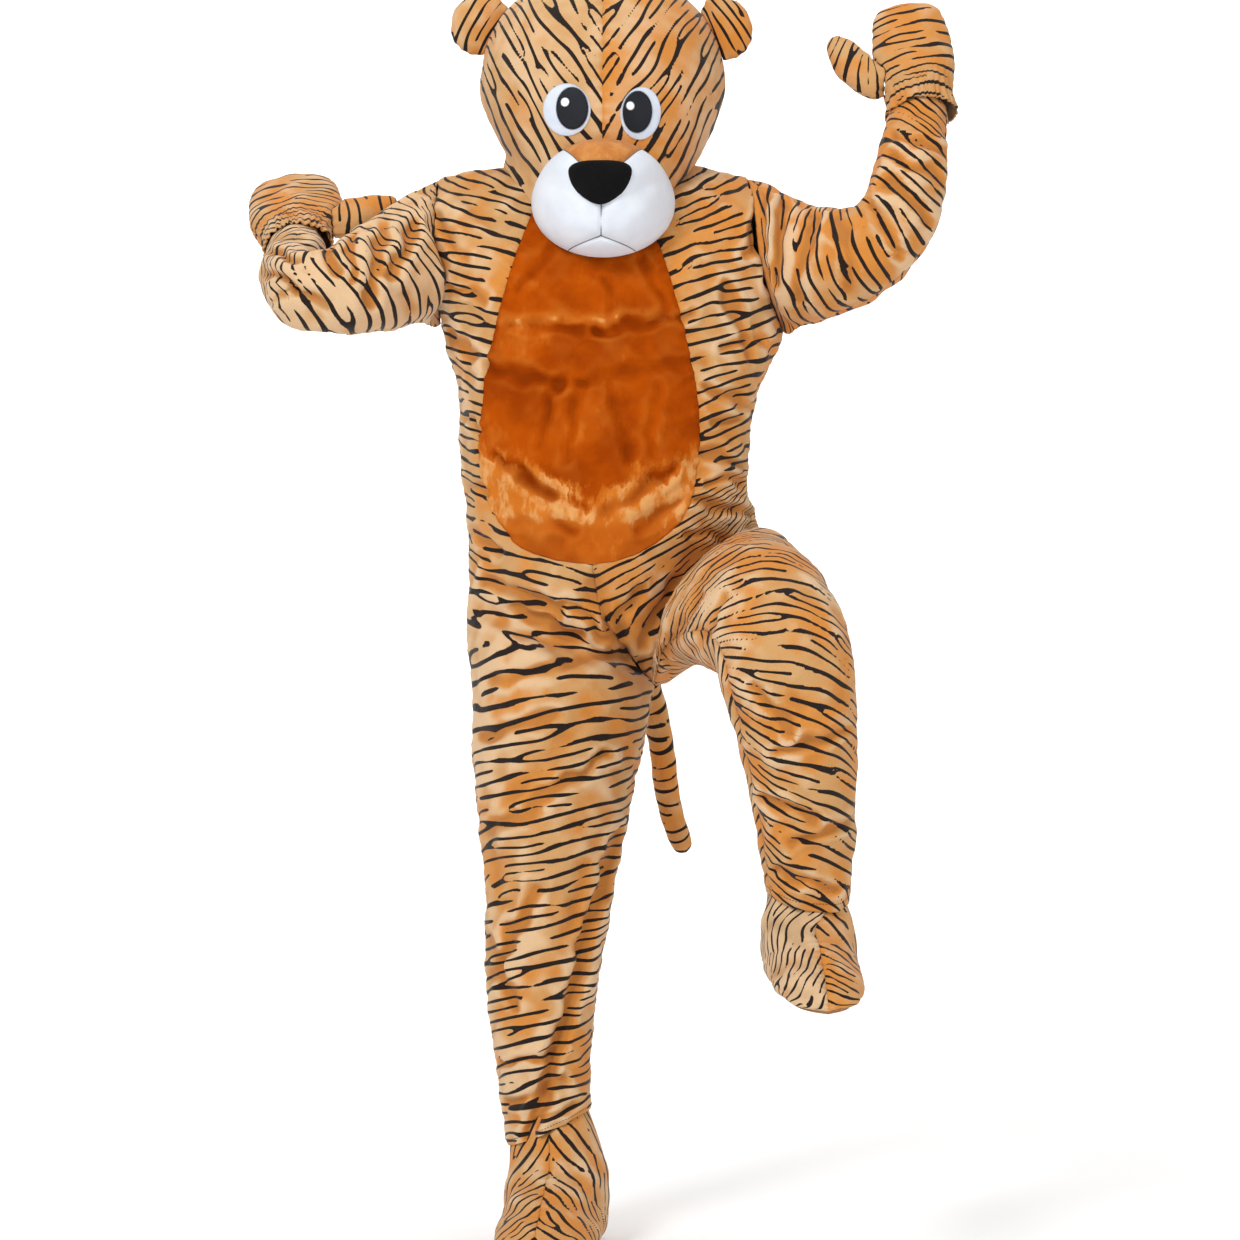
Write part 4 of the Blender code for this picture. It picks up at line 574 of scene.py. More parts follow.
def suit_surface(side, face):
    """The suit's surface on one side of one face, as a function of row u and share w across the panel."""

    def point(u, w):
        u, w = np.broadcast_arrays(np.asarray(u, float), np.asarray(w, float))

        def row(k):
            trunk = torso_row(side, face, np.minimum(k, TORSO_ROWS - 1), w)
            leg = leg_row(side, face, np.maximum(k - TORSO_ROWS, 0), w)
            return np.where((k < TORSO_ROWS)[..., None], trunk, leg)

        def mend_crotch(k, rows):
            before, here, there, after = rows
            fade = ease(w / CROTCH_FADE)[..., None]
            above, below = (k + 1 == TORSO_ROWS)[..., None], (k == TORSO_ROWS)[..., None]
            after = np.where(above, there + (after - there) * fade, after)
            before = np.where(below, here + (before - here) * fade, before)
            return before, here, there, after

        return through_rows(row, SUIT_ROWS, u, mend_crotch)

    return point


def drawn_lines(lines, seen):
    """For each line of a table of folds its face, width and depth, and how far points x, z are from it."""
    for face, x0, z0, x1, z1, width, depth in zip(*lines.values()):
        yield face, width, depth, from_segment(seen, np.array([x0, z0]), np.array([x1, z1]))


def fold_height(points, normals):
    """How far the folds raise or sink the cloth at points whose normals are given."""
    height = np.zeros(points.shape[:-1])
    for face, width, depth, distance in drawn_lines(FOLDS, points[..., [0, 2]]):
        facing = ease(face * normals[..., 1] * 1.6)
        height += depth * np.exp(-((distance / width) ** 2)) * facing
    return height


def bare_frame(side, face, u, w):
    """Points and outward normals of the suit's outer surface without its folds."""
    return surface_frame(suit_surface(side, face), u, w, (0, SUIT_ROWS - 1), (0, 1), -side * face)


def suit_frame(side, face, u, w):
    """Points and outward normals of the folded suit's outer surface; panels agree at their seams."""
    u, w = np.broadcast_arrays(np.asarray(u, float), np.asarray(w, float))
    points, normals = bare_frame(side, face, u, w)
    trunk, middle = u < TORSO_ROWS - 0.5, w < 1e-6
    across = bare_frame(-side, face, u, w)[1] if trunk.any() else normals
    behind = bare_frame(side, -face, u, w)[1]
    at_middle = np.where((middle & trunk)[..., None], across, normals)
    sewn = (w > 1 - 1e-6) & ~((u > SHOULDER_ROW + 0.01) & (u < UNDERARM_ROW - 0.01))
    at_side = np.where((sewn | (middle & ~trunk))[..., None], behind, normals)
    normals = unit(normals + (at_middle - normals) / 2 + (at_side - normals) / 2)
    return points + fold_height(points, normals)[..., None] * normals, normals


def egg_half_width(z):
    """Half width of the tummy panel at height z; zero below its lowest point."""
    above = np.clip((z - EGG_WIDEST_Z) / (EGG_TOP_Z - EGG_WIDEST_Z), 0.0, 1.5)
    below = np.clip((EGG_WIDEST_Z - z) / (EGG_WIDEST_Z - EGG_BOTTOM_Z), 0.0, 1.0)
    upper = EGG_HALF - (EGG_HALF - EGG_TOP_HALF) * above**1.6
    lower = EGG_HALF * (1.0 - below**2.3) ** (1 / 2.3)
    return np.where(z > EGG_WIDEST_Z, upper, lower)


def egg_crossing(side, u):
    """Share w at which the tummy panel's outline crosses each row u of a front panel."""
    low, high = np.zeros_like(u), np.full_like(u, 0.95)
    for _ in range(30):
        middle = (low + high) / 2
        point = suit_surface(side, FRONT)(u, middle)
        inside = np.abs(point[..., 0] - TORSO["front_x"][8]) < egg_half_width(point[..., 2])
        low, high = np.where(inside, middle, low), np.where(inside, high, middle)
    return low


def egg_share(side, u):
    """Share w of the tummy panel's edge on each row u; it closes in a curve over its last rows."""
    start = egg_bottom_row() - EGG_CLOSE_ROWS
    closing = np.clip((u - start) / EGG_CLOSE_ROWS, 0.0, 1.0)
    left = (1.0 - closing**EGG_CLOSE_POWER) ** (1 / EGG_CLOSE_POWER)
    return egg_crossing(side, np.minimum(u, start)) * left


def egg_bottom_row():
    """Row u at which the centre line reaches the tummy panel's lowest point."""
    u = np.linspace(10, TORSO_ROWS - 1, 4001)
    z = suit_surface(LEFT, FRONT)(u, np.zeros_like(u))[:, 2]
    return float(np.interp(-EGG_BOTTOM_Z, -z, u))


# %% [markdown]
# ## The printed tiger stripes
#
# The plush is printed with dark brush strokes that run across the body, fork, taper and stop. A stripe is
# a wave that counts up along the body. A fork is a place where the wave's phase turns once round a point,
# as in wood grain round a knot, so a few such points turn plain bands into branching ones. A second,
# slowly changing value gives each stroke its width, and where it falls below nothing the stroke stops.
#
# The count and the phase's slow drift are kept apart. The count changes evenly along the cloth, so a mesh
# carries it exactly, and the drift changes so slowly that the points of the mesh carry it well.

# %% Stripe fields
def wander(places, size, seed, count=7):
    """Smooth value from about -1 to 1 that changes over a given size, the same on every run."""
    places = np.asarray(places, float)
    dice = np.random.default_rng(seed)
    total = np.zeros(places.shape[:-1])
    for _ in range(count):
        direction = dice.normal(size=places.shape[-1])
        direction *= 2 * math.pi / (size * np.linalg.norm(direction)) * dice.uniform(0.6, 1.4)
        total += np.sin(places @ direction + dice.uniform(0, 2 * math.pi))
    return total / math.sqrt(count)


STRIPE_SPACING = 0.0168  # from one stroke to the next
FORK_CELL = (0.070, 0.038)  # each cell of this size, along and across the strokes, has a fork
FORK_LENGTH = 0.55  # a fork turns over a length along the strokes, as a share of that across them
BLOT_HALF = (0.010, 0.0050)  # half size of the ink blot at a fork


def stripe_values(
    across, down, seed, spacing=STRIPE_SPACING, slant=0.0, ink=0.90, cell=FORK_CELL, gaps=0.60
):
    """Drift of the phase as a cosine and a sine, the strokes' width, and their count.

    They are worked out at distances across and down the cloth. slant turns the strokes downward away from
    the first column (degrees), and a higher gaps leaves them longer."""
    dice = np.random.default_rng(seed)
    turn = math.radians(slant)
    run = across * math.cos(turn) + down * math.sin(turn)
    rank = down * math.cos(turn) - across * math.sin(turn)
    flat = np.stack([run, rank], axis=-1)
    drift = 1.1 * wander(flat / (1.5, 1.0), 0.10, seed + 1)
    drift += 0.3 * wander(flat / (1.6, 1.0), 0.035, seed + 2)
    blot = np.zeros_like(drift)
    columns = int(np.ptp(run) / cell[0]) + 3
    rows = int(np.ptp(rank) / cell[1]) + 3
    for i in range(columns):
        for j in range(rows):
            at_run = run.min() + (i - 1 + dice.uniform(0.2, 0.8) + 0.5 * (j % 2)) * cell[0]
            at_rank = rank.min() + (j - 1 + dice.uniform(0.25, 0.75)) * cell[1]
            hand = 1 if (i + j) % 2 else -1
            drift += hand * np.arctan2(rank - at_rank, FORK_LENGTH * (run - at_run))
            blot += np.exp(-(((run - at_run) / BLOT_HALF[0]) ** 2) - ((rank - at_rank) / BLOT_HALF[1]) ** 2)
    ends = np.clip(wander(flat / (0.060, 0.011), 1.7, seed + 3) - gaps, 0.0, 1.0)
    width = ink * (1.0 + 0.12 * wander(flat, 0.05, seed + 4) - 3.4 * ends) + 0.7 * np.clip(blot, 0.0, 1.0)
    return np.stack([np.cos(drift), np.sin(drift), width, rank / spacing], axis=-1)


# %% [markdown]
# ## From a grid of points to cloth
#
# Each piece is a grid of points. The helper turns it into a mesh whose faces point away from the wearer,
# keeps the distances along the cloth as its UV map, stores the stripes on its points, and lets the
# Solidify modifier give it the wall of real plush. The inside gets the pale knitted backing.

# %% Cloth makers
WALL = 0.002  # thickness of the plush
SAME_POINT = 2e-6  # points this close are one
MATERIALS = {}


def grid_normals(grid):
    """Normals of a grid of points, on the side that the order of its rows and columns gives."""
    return unit(np.cross(np.gradient(grid, axis=0), np.gradient(grid, axis=1)))


def turned_outward(normals, outward):
    """The same normals on the side where the outward vectors point."""
    return normals * np.sign(np.sum(normals * outward))


def distances(grid, own=0.35):
    """Distances across and down the cloth; own is the share of each column's own length in the second."""
    across, down = (np.linalg.norm(np.diff(grid, axis=axis), axis=-1) for axis in (1, 0))
    across = np.concatenate([np.zeros((len(grid), 1)), across], axis=1).cumsum(axis=1)
    down = np.concatenate([np.zeros((1, grid.shape[1])), down], axis=0).cumsum(axis=0)
    return across, (1 - own) * down.mean(axis=1, keepdims=True) + own * down


def from_edges(across):
    """Distance from the nearer of a grid's first and last columns."""
    return np.minimum(across, across[:, -1:] - across)


def put_in_scene(name, mesh, *materials):
    """New object with its materials, by their names."""
    for material in materials:
        mesh.materials.append(MATERIALS[material])
    return linked(name, mesh)


def stand(obj, stands_for):
    """Ride on the costume in place of a solid, with its finish."""
    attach(obj, "costume")
    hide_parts(stands_for)
    return obj


def made_plain(obj):
    """Swap an object's live modifiers for the mesh that they make."""
    graph = bpy.context.evaluated_depsgraph_get()
    whole = {"preserve_all_data_layers": True, "depsgraph": graph}
    mesh = bpy.data.meshes.new_from_object(obj.evaluated_get(graph), **whole)
    obj.modifiers.clear()
    obj.data = mesh


def grid_cells(rows, columns, start=0):
    """Four corners of each cell of a grid of points."""
    index = start + np.arange(rows * columns).reshape(rows, columns)
    return np.stack([index[:-1, :-1], index[:-1, 1:], index[1:, 1:], index[1:, :-1]], axis=-1).reshape(-1, 4)


def keep_on_points(mesh, name, kind, values):
    """Store a number or a vector for each point of a mesh."""
    field = "vector" if kind == "FLOAT_VECTOR" else "value"
    mesh.attributes.new(name, kind, "POINT").data.foreach_set(field, values.astype(np.float32).ravel())


def mesh_of(name, points, faces, uv, stripes=None, fold=None):
    """Mesh with the distances along the cloth as its UV map, and the stripes and the folds' heights on its
    points; the printed plush and the velvet paint shade and highlight from those heights.
    """
    mesh = bpy.data.meshes.new(name)
    mesh.from_pydata(points.reshape(-1, 3).tolist(), [], faces.tolist())
    layer = mesh.uv_layers.new(name="cloth")
    corner = np.zeros(len(mesh.loops), int)
    mesh.loops.foreach_get("vertex_index", corner)
    layer.data.foreach_set("uv", np.stack([part.ravel()[corner] for part in uv], axis=-1).ravel())
    if stripes is not None:
        keep_on_points(mesh, "stripes", "FLOAT_VECTOR", stripes[..., :3])
        keep_on_points(mesh, "count", "FLOAT", stripes[..., 3])
    if fold is not None:
        keep_on_points(mesh, "fold", "FLOAT", fold * 1000.0)
    return mesh


def cleaned(mesh, closed):
    """Join points that coincide, on a shell only at its edges, and turn a closed body's faces outward."""
    shape = bmesh.new()
    shape.from_mesh(mesh)
    near = [v for v in shape.verts if closed or v.is_boundary]
    bmesh.ops.remove_doubles(shape, verts=near, dist=SAME_POINT)
    if closed:
        bmesh.ops.dissolve_degenerate(shape, dist=1e-7, edges=shape.edges)
        bmesh.ops.recalc_face_normals(shape, faces=shape.faces)
    shape.to_mesh(mesh)
    shape.free()
    mesh.shade_smooth()


def padded(kind, name, outer, inner, looks, stripes=None, uv=None, fold=None, ring=False):
    """Closed body between two grids of points; the outer one shows the first look. A ring's last column
    lies on its first."""
    rows, columns = outer.shape[:2]
    count = rows * columns
    index = np.arange(count).reshape(rows, columns)
    front, back = grid_cells(rows, columns), grid_cells(rows, columns, count)
    rim = np.concatenate([index[0], index[1:, -1], index[-1, -2::-1], index[-2:0:-1, 0], index[:1, 0]])
    if ring:
        rim = index[-1]
    sides = np.stack([rim[:-1], rim[1:], rim[1:] + count, rim[:-1] + count], axis=-1)
    uv = distances(outer) if uv is None else uv
    both = [None if part is None else np.concatenate([part, part]) for part in (*uv, stripes, fold)]
    points = np.concatenate([outer.reshape(-1, 3), inner.reshape(-1, 3)])
    faces = np.concatenate([front, back[:, ::-1], sides])
    mesh = mesh_of(f"{kind}_{name}", points, faces, both[:2], both[2], both[3])
    inside = np.zeros(len(mesh.polygons), dtype=np.int32)
    inside[len(front) :] = len(looks) - 1
    mesh.polygons.foreach_set("material_index", inside)
    cleaned(mesh, closed=True)
    mesh.set_sharp_from_angle(angle=math.radians(60))
    piece = stand(put_in_scene(mesh.name, mesh, *looks), name)


def sheet(name, stands_for, grid, outward, looks, stripes=None, uv=None, fold=None, wall=WALL):
    """Thin shell on a grid of points; outward holds vectors that point away from the wearer. The wall's
    inside shows the last look."""
    quads = grid_cells(*grid.shape[:2])
    if np.sum(grid_normals(grid) * outward) > 0:
        quads = quads[:, ::-1]
    mesh = mesh_of(name, grid, quads, distances(grid) if uv is None else uv, stripes, fold)
    cleaned(mesh, closed=False)
    piece = put_in_scene(name, mesh, *looks)
    shell = piece.modifiers.new("wall", "SOLIDIFY")
    shell.thickness = wall
    shell.offset = -1.0
    shell.material_offset = len(looks) - 1
    made_plain(piece)
    stand(piece, stands_for)


# %% [markdown]
# ## Finishes
#
# A material is a small tree of nodes. Writing it as sums and products is easier to read, so a wrapper
# round a socket overloads the operators, and one method adds any other node with its settings and its
# inputs.

# %% Writing shaders as expressions
class Value:
    """A node's output; arithmetic on it adds Math nodes."""

    def __init__(self, finish, socket):
        self.finish, self.socket = finish, socket

    def math(self, operation, other=0.0, swap=False):
        pair = (other, self) if swap else (self, other)
        return self.finish.node("ShaderNodeMath", {"operation": operation}, {0: pair[0], 1: pair[1]})

    def __add__(self, other):
        return self.math("ADD", other)

    def __sub__(self, other):
        return self.math("SUBTRACT", other)

    def __mul__(self, other):
        return self.math("MULTIPLY", other)

    def __rsub__(self, other):
        return self.math("SUBTRACT", other, swap=True)

    def clipped(self):
        return self.math("MAXIMUM", 0.0).math("MINIMUM", 1.0)

    def between(self, low, high):
        """Smooth step from 0 at low to 1 at high."""
        smooth = {"interpolation_type": "SMOOTHSTEP"}
        return self.finish.node("ShaderNodeMapRange", smooth, {0: self, 1: low, 2: high})


class Finish:
    """A material in the making."""

    def __init__(self, name, roughness=0.85, sheen=0.0, metallic=0.0, shine=0.2):
        self.material = bpy.data.materials.new(name)
        self.material.use_nodes = True
        self.tree = self.material.node_tree
        self.shader = self.tree.nodes["Principled BSDF"]
        looks = {"Roughness": roughness, "Metallic": metallic, "Specular IOR Level": shine}
        looks |= {"Sheen Weight": sheen, "Sheen Roughness": 0.45}
        for key, value in looks.items():
            self.shader.inputs[key].default_value = value
        MATERIALS[name] = self.material

    def node(self, kind, settings=None, sockets=None, out=0):
        node = self.tree.nodes.new(kind)
        for key, value in (settings or {}).items():
            setattr(node, key, value)
        for key, value in (sockets or {}).items():
            self.feed(node.inputs[key], value)
        return Value(self, node.outputs[out])

    def feed(self, socket, value):
        if isinstance(value, Value):
            self.tree.links.new(value.socket, socket)
        elif isinstance(value, tuple) and len(value) == 3 and socket.type == "RGBA":
            socket.default_value = (*value, 1.0)
        else:
            socket.default_value = value

    def mix(self, share, first, second):
        """Colour between first (share 0) and second (share 1)."""
        return self.node("ShaderNodeMix", {"data_type": "RGBA"}, {0: share, 6: first, 7: second}, out=2)

    def place(self):
        """The point's own place in the piece."""
        return self.node("ShaderNodeTexCoord", out=3)

    def stored(self, name, out=2):
        """A value kept on the cloth's points."""
        return self.node("ShaderNodeAttribute", {"attribute_name": name}, out=out)

    def noise(self, where, scale, detail=2.0, rough=0.5):
        sockets = {"Vector": where, "Scale": scale, "Detail": detail, "Roughness": rough}
        return self.node("ShaderNodeTexNoise", None, sockets)

    def parts(self, vector):
        """The three parts of a vector."""
        node = self.node("ShaderNodeSeparateXYZ", None, {0: vector}).socket.node
        return [Value(self, socket) for socket in node.outputs]

    def stretched(self, where, scale):
        return self.node("ShaderNodeMapping", None, {"Vector": where, "Scale": scale})

    def pile(self, height, depth, strength):
        """Bump from a height value, in metres of depth."""
        bump = self.node("ShaderNodeBump", None, {"Strength": strength, "Distance": depth, "Height": height})
        self.tree.links.new(bump.socket, self.shader.inputs["Normal"])

    def colour(self, value):
        self.feed(self.shader.inputs["Base Color"], value)


# %% [markdown]
# Printed plush: a tan ground with printed orange blotches and cream patches. The cream is partly print and
# partly painted sheen, where the nap would catch the light, and the folds' heights paint cream highlights
# onto the swells and brown shade into the troughs.
# The stripes lie on top. The edge of a printed stroke is a little ragged, because the dye follows the pile.

# %% Striped plush
TAN, CREAM, ORANGE = (0.560, 0.310, 0.122), (0.690, 0.470, 0.275), (0.610, 0.232, 0.040)
INK = (0.013, 0.007, 0.005)


def striped_plush(name, tan=TAN, cream=CREAM, orange=ORANGE, warm=0.5, pale=0.4):
    """Printed plush; warm and pale say how much orange and how much cream its ground has."""
    finish = Finish(name, roughness=0.85, sheen=0.15)
    where = finish.place()
    cosine, sine, width = finish.parts(finish.stored("stripes", out=1))
    count = finish.stored("count")
    fold = finish.stored("fold")
    phase = count * (2 * math.pi) + sine.math("ARCTAN2", cosine)
    wrap = {0: phase, 1: math.pi, 2: -math.pi}
    phase = finish.node("ShaderNodeMath", {"operation": "WRAP"}, wrap).math("ABSOLUTE")
    ragged = (finish.noise(where, 260.0, 2.0) - 0.5) * 0.20
    width = width - (width.between(0.0, 0.35) * -1.0 + 1.0) * 0.9
    ink = (width - phase + ragged).between(-0.13, 0.13)
    nap = finish.noise(where, 14.0, 3.0, 0.55)
    cream_print_and_sheen = finish.noise(finish.stretched(where, (1.0, 1.0, 0.55)), 9.0, 3.0)
    # Tan turns to printed orange blotches; troughs get a little more orange as painted shade.
    ground = finish.mix((nap + (warm - 0.5) - fold * 0.03).between(0.36, 0.64), tan, orange)
    # Cream patches are partly print and partly painted sheen; swells get more cream as a painted highlight.
    ground = finish.mix((cream_print_and_sheen + (pale - 0.5) + fold * 0.09).between(0.38, 0.74) * 0.9, ground, cream)
    # Painted shade: dark brown in the troughs of the creases and folds.
    ground = finish.mix((fold * -0.15).between(0.08, 0.85) * 0.45, ground, (0.330, 0.125, 0.030))
    speckle = finish.noise(where, 700.0, 1.0) * 0.22 + 0.89
    ground = finish.node("ShaderNodeVectorMath", {"operation": "SCALE"}, {0: ground, 3: speckle})
    finish.colour(finish.mix(ink, ground, INK))
    fibres = finish.noise(where, 950.0, 2.0) + finish.noise(where, 160.0, 2.0) * 1.2
    finish.pile(fibres - ink * 0.35, 0.0006, 0.55)


# The side copies are painted light and shade: the wearer's right, which faces the key lamp, is paler and
# creamier than the left, whose copies are warmer and more orange.
striped_plush("plush_body")
striped_plush("plush_body_light", warm=0.45, pale=0.46)
striped_plush("plush_boot_pale", tan=(0.500, 0.320, 0.165), warm=0.32, pale=0.62)
striped_plush("plush_sleeve_right", warm=0.38, pale=0.60)
striped_plush("plush_sleeve_left", warm=0.60, pale=0.36)
striped_plush("plush_head_right", warm=0.34, pale=0.56)
striped_plush("plush_head_left", warm=0.56, pale=0.42)
print("striped plush is ready")

# %% [markdown]
# Plain plush: the white muzzle, the orange nose bridge, the black nose, the soles and the knitted
# backing.

# %% Plain plush and felt
def plain_plush(name, colour, shade, depth=0.0005, scale=750.0, patch=16.0, **looks):
    """Plush of one colour whose nap lies unevenly.

    depth is the pile's, scale that of its fibres and patch that of its nap."""
    finish = Finish(name, **{"roughness": 0.88, "sheen": 0.2, **looks})
    where = finish.place()
    nap = finish.noise(where, patch, 3.0, 0.6)
    fibres = finish.noise(where, scale, 2.0)
    share = (nap * 0.75 + fibres * 0.25).between(0.35, 0.68)
    finish.colour(finish.mix(share, shade, colour))
    finish.pile(fibres + finish.noise(where, scale / 5, 2.0) * 0.8, depth, 0.5)


plain_plush("plush_white", (0.76, 0.80, 0.86), (0.68, 0.72, 0.79), sheen=0.1, depth=0.0003)
plain_plush("plush_bridge", (0.66, 0.285, 0.078), (0.48, 0.165, 0.032), patch=38.0, sheen=0.1)
plain_plush("plush_nose", (0.006, 0.006, 0.006), (0.003, 0.003, 0.003), sheen=0.03, shine=0.1)
plain_plush("plush_sole", (0.40, 0.20, 0.085), (0.30, 0.14, 0.055))
plain_plush("felt_white", (0.66, 0.71, 0.79), (0.56, 0.61, 0.70), sheen=0.05, depth=0.0002, patch=30.0)
plain_plush("felt_dark", (0.007, 0.008, 0.011), (0.013, 0.014, 0.020), 0.0001, roughness=0.6, sheen=0.0)
plain_plush("felt_spark", (0.90, 0.91, 0.93), (0.80, 0.82, 0.85), sheen=0.0, depth=0.0001)
plain_plush("thread_grey", (0.16, 0.16, 0.17), (0.10, 0.10, 0.11), sheen=0.0, depth=0.0001, scale=1500.0)
plain_plush("thread_white", (0.70, 0.74, 0.81), (0.60, 0.65, 0.73), sheen=0.1, depth=0.0001, scale=1500.0)
plain_plush("thread_dark", (0.014, 0.015, 0.020), (0.008, 0.009, 0.012), 0.0001, roughness=0.55, sheen=0.0)
plain_plush("knit_backing", (0.52, 0.36, 0.22), (0.44, 0.29, 0.17), sheen=0.05, depth=0.0002, scale=1300.0)
plain_plush("zip_tape", (0.055, 0.034, 0.020), (0.035, 0.022, 0.013), sheen=0.0, depth=0.0002, scale=1300.0)
plain_plush("zip_teeth", (0.10, 0.062, 0.036), (0.075, 0.046, 0.027), 0.0001, roughness=0.35, sheen=0.0)

# %% [markdown]
# Velvet: the tummy is a crushed, silky plush of deep burnt orange. Its pale orange streaks are painted
# sheen, where pressed pile would throw light back, most of all over the lower belly; a painted highlight
# runs along a fold under the chest, and its creases get painted shade.

# %% Tummy velvet
def tummy_velvet():
    """Crushed velvet whose sheen and crease shade are painted into its colour: a bright band over the lower
    belly and a highlight along the fold under the chest.
    """
    finish = Finish("velvet_tummy", roughness=0.7, sheen=0.0, shine=0.02)
    where = finish.place()
    across, _, height = finish.parts(where)
    fold = finish.stored("fold")
    swirl = finish.noise(where, 9.0, 4.0, 0.62)
    brushed = finish.noise(finish.stretched(where, (1.7, 1.0, 0.8)), 26.0, 4.0, 0.65)
    # Painted sheen: a bright band over the lower belly with a ragged upper edge, fading out below.
    ragged = height + (brushed - 0.5) * 0.13 + (swirl - 0.5) * 0.08 - across.math("ABSOLUTE") * 0.52
    belly_sheen = (ragged * -1.0).between(0.440, 0.466)
    fading = (height * -1.0 + (swirl - 0.5) * 0.05).between(0.472, 0.500)
    # Painted highlight along the fold under the chest.
    ridge = (height + 0.205 + (swirl - 0.5) * 0.06).math("ABSOLUTE")
    ridge = (0.018 - ridge).between(0.0, 0.020) * swirl.between(0.35, 0.50)
    # Scattered patches of painted sheen.
    scattered_sheen = (brushed * 0.5 + swirl * 0.5).between(0.54, 0.66) * 0.40
    light = belly_sheen * (1.0 - fading * 0.62) * (brushed * 0.6 + 0.58) + ridge * 0.55 + scattered_sheen
    # Painted highlight on the swells of the creases.
    light = (light + fold * 0.07).clipped()
    deep = finish.mix(swirl.between(0.36, 0.62), (0.300, 0.042, 0.0006), (0.430, 0.070, 0.0012))
    # Painted shade: darker in the troughs of the creases.
    deep = finish.mix((fold * -0.13).between(0.05, 0.9) * 0.6, deep, (0.170, 0.022, 0.0004))
    mid = finish.mix(light, deep, (0.58, 0.165, 0.018))
    # Painted glint where the sheen is brightest.
    glint = light.between(0.62, 0.95) * brushed.between(0.42, 0.60) * 0.8
    finish.colour(finish.mix(glint, mid, (0.71, 0.37, 0.130)))
    fibres = finish.noise(where, 800.0, 2.0) * 0.5 + brushed * 1.6
    finish.pile(fibres, 0.0020, 0.55)


tummy_velvet()


def nickel():
    finish = Finish("nickel", roughness=0.3, metallic=1.0, shine=0.5)
    worn = finish.noise(finish.place(), 320.0, 3.0)
    finish.colour(finish.mix(worn, (0.50, 0.50, 0.51), (0.66, 0.66, 0.68)))
    finish.feed(finish.shader.inputs["Roughness"], worn * 0.25 + 0.2)


nickel()
print(len(MATERIALS), "finishes are ready")

# %% [markdown]
# ## Creases
#
# Loose plush falls into soft folds where a limb bends, and into short ones where it is gathered. Each
# crease is a line seen from the front or the back, with its own width and depth. A trough has a low swell
# on each side, because the cloth that sinks in has to come from somewhere, and a little wandering keeps
# it from being straight.

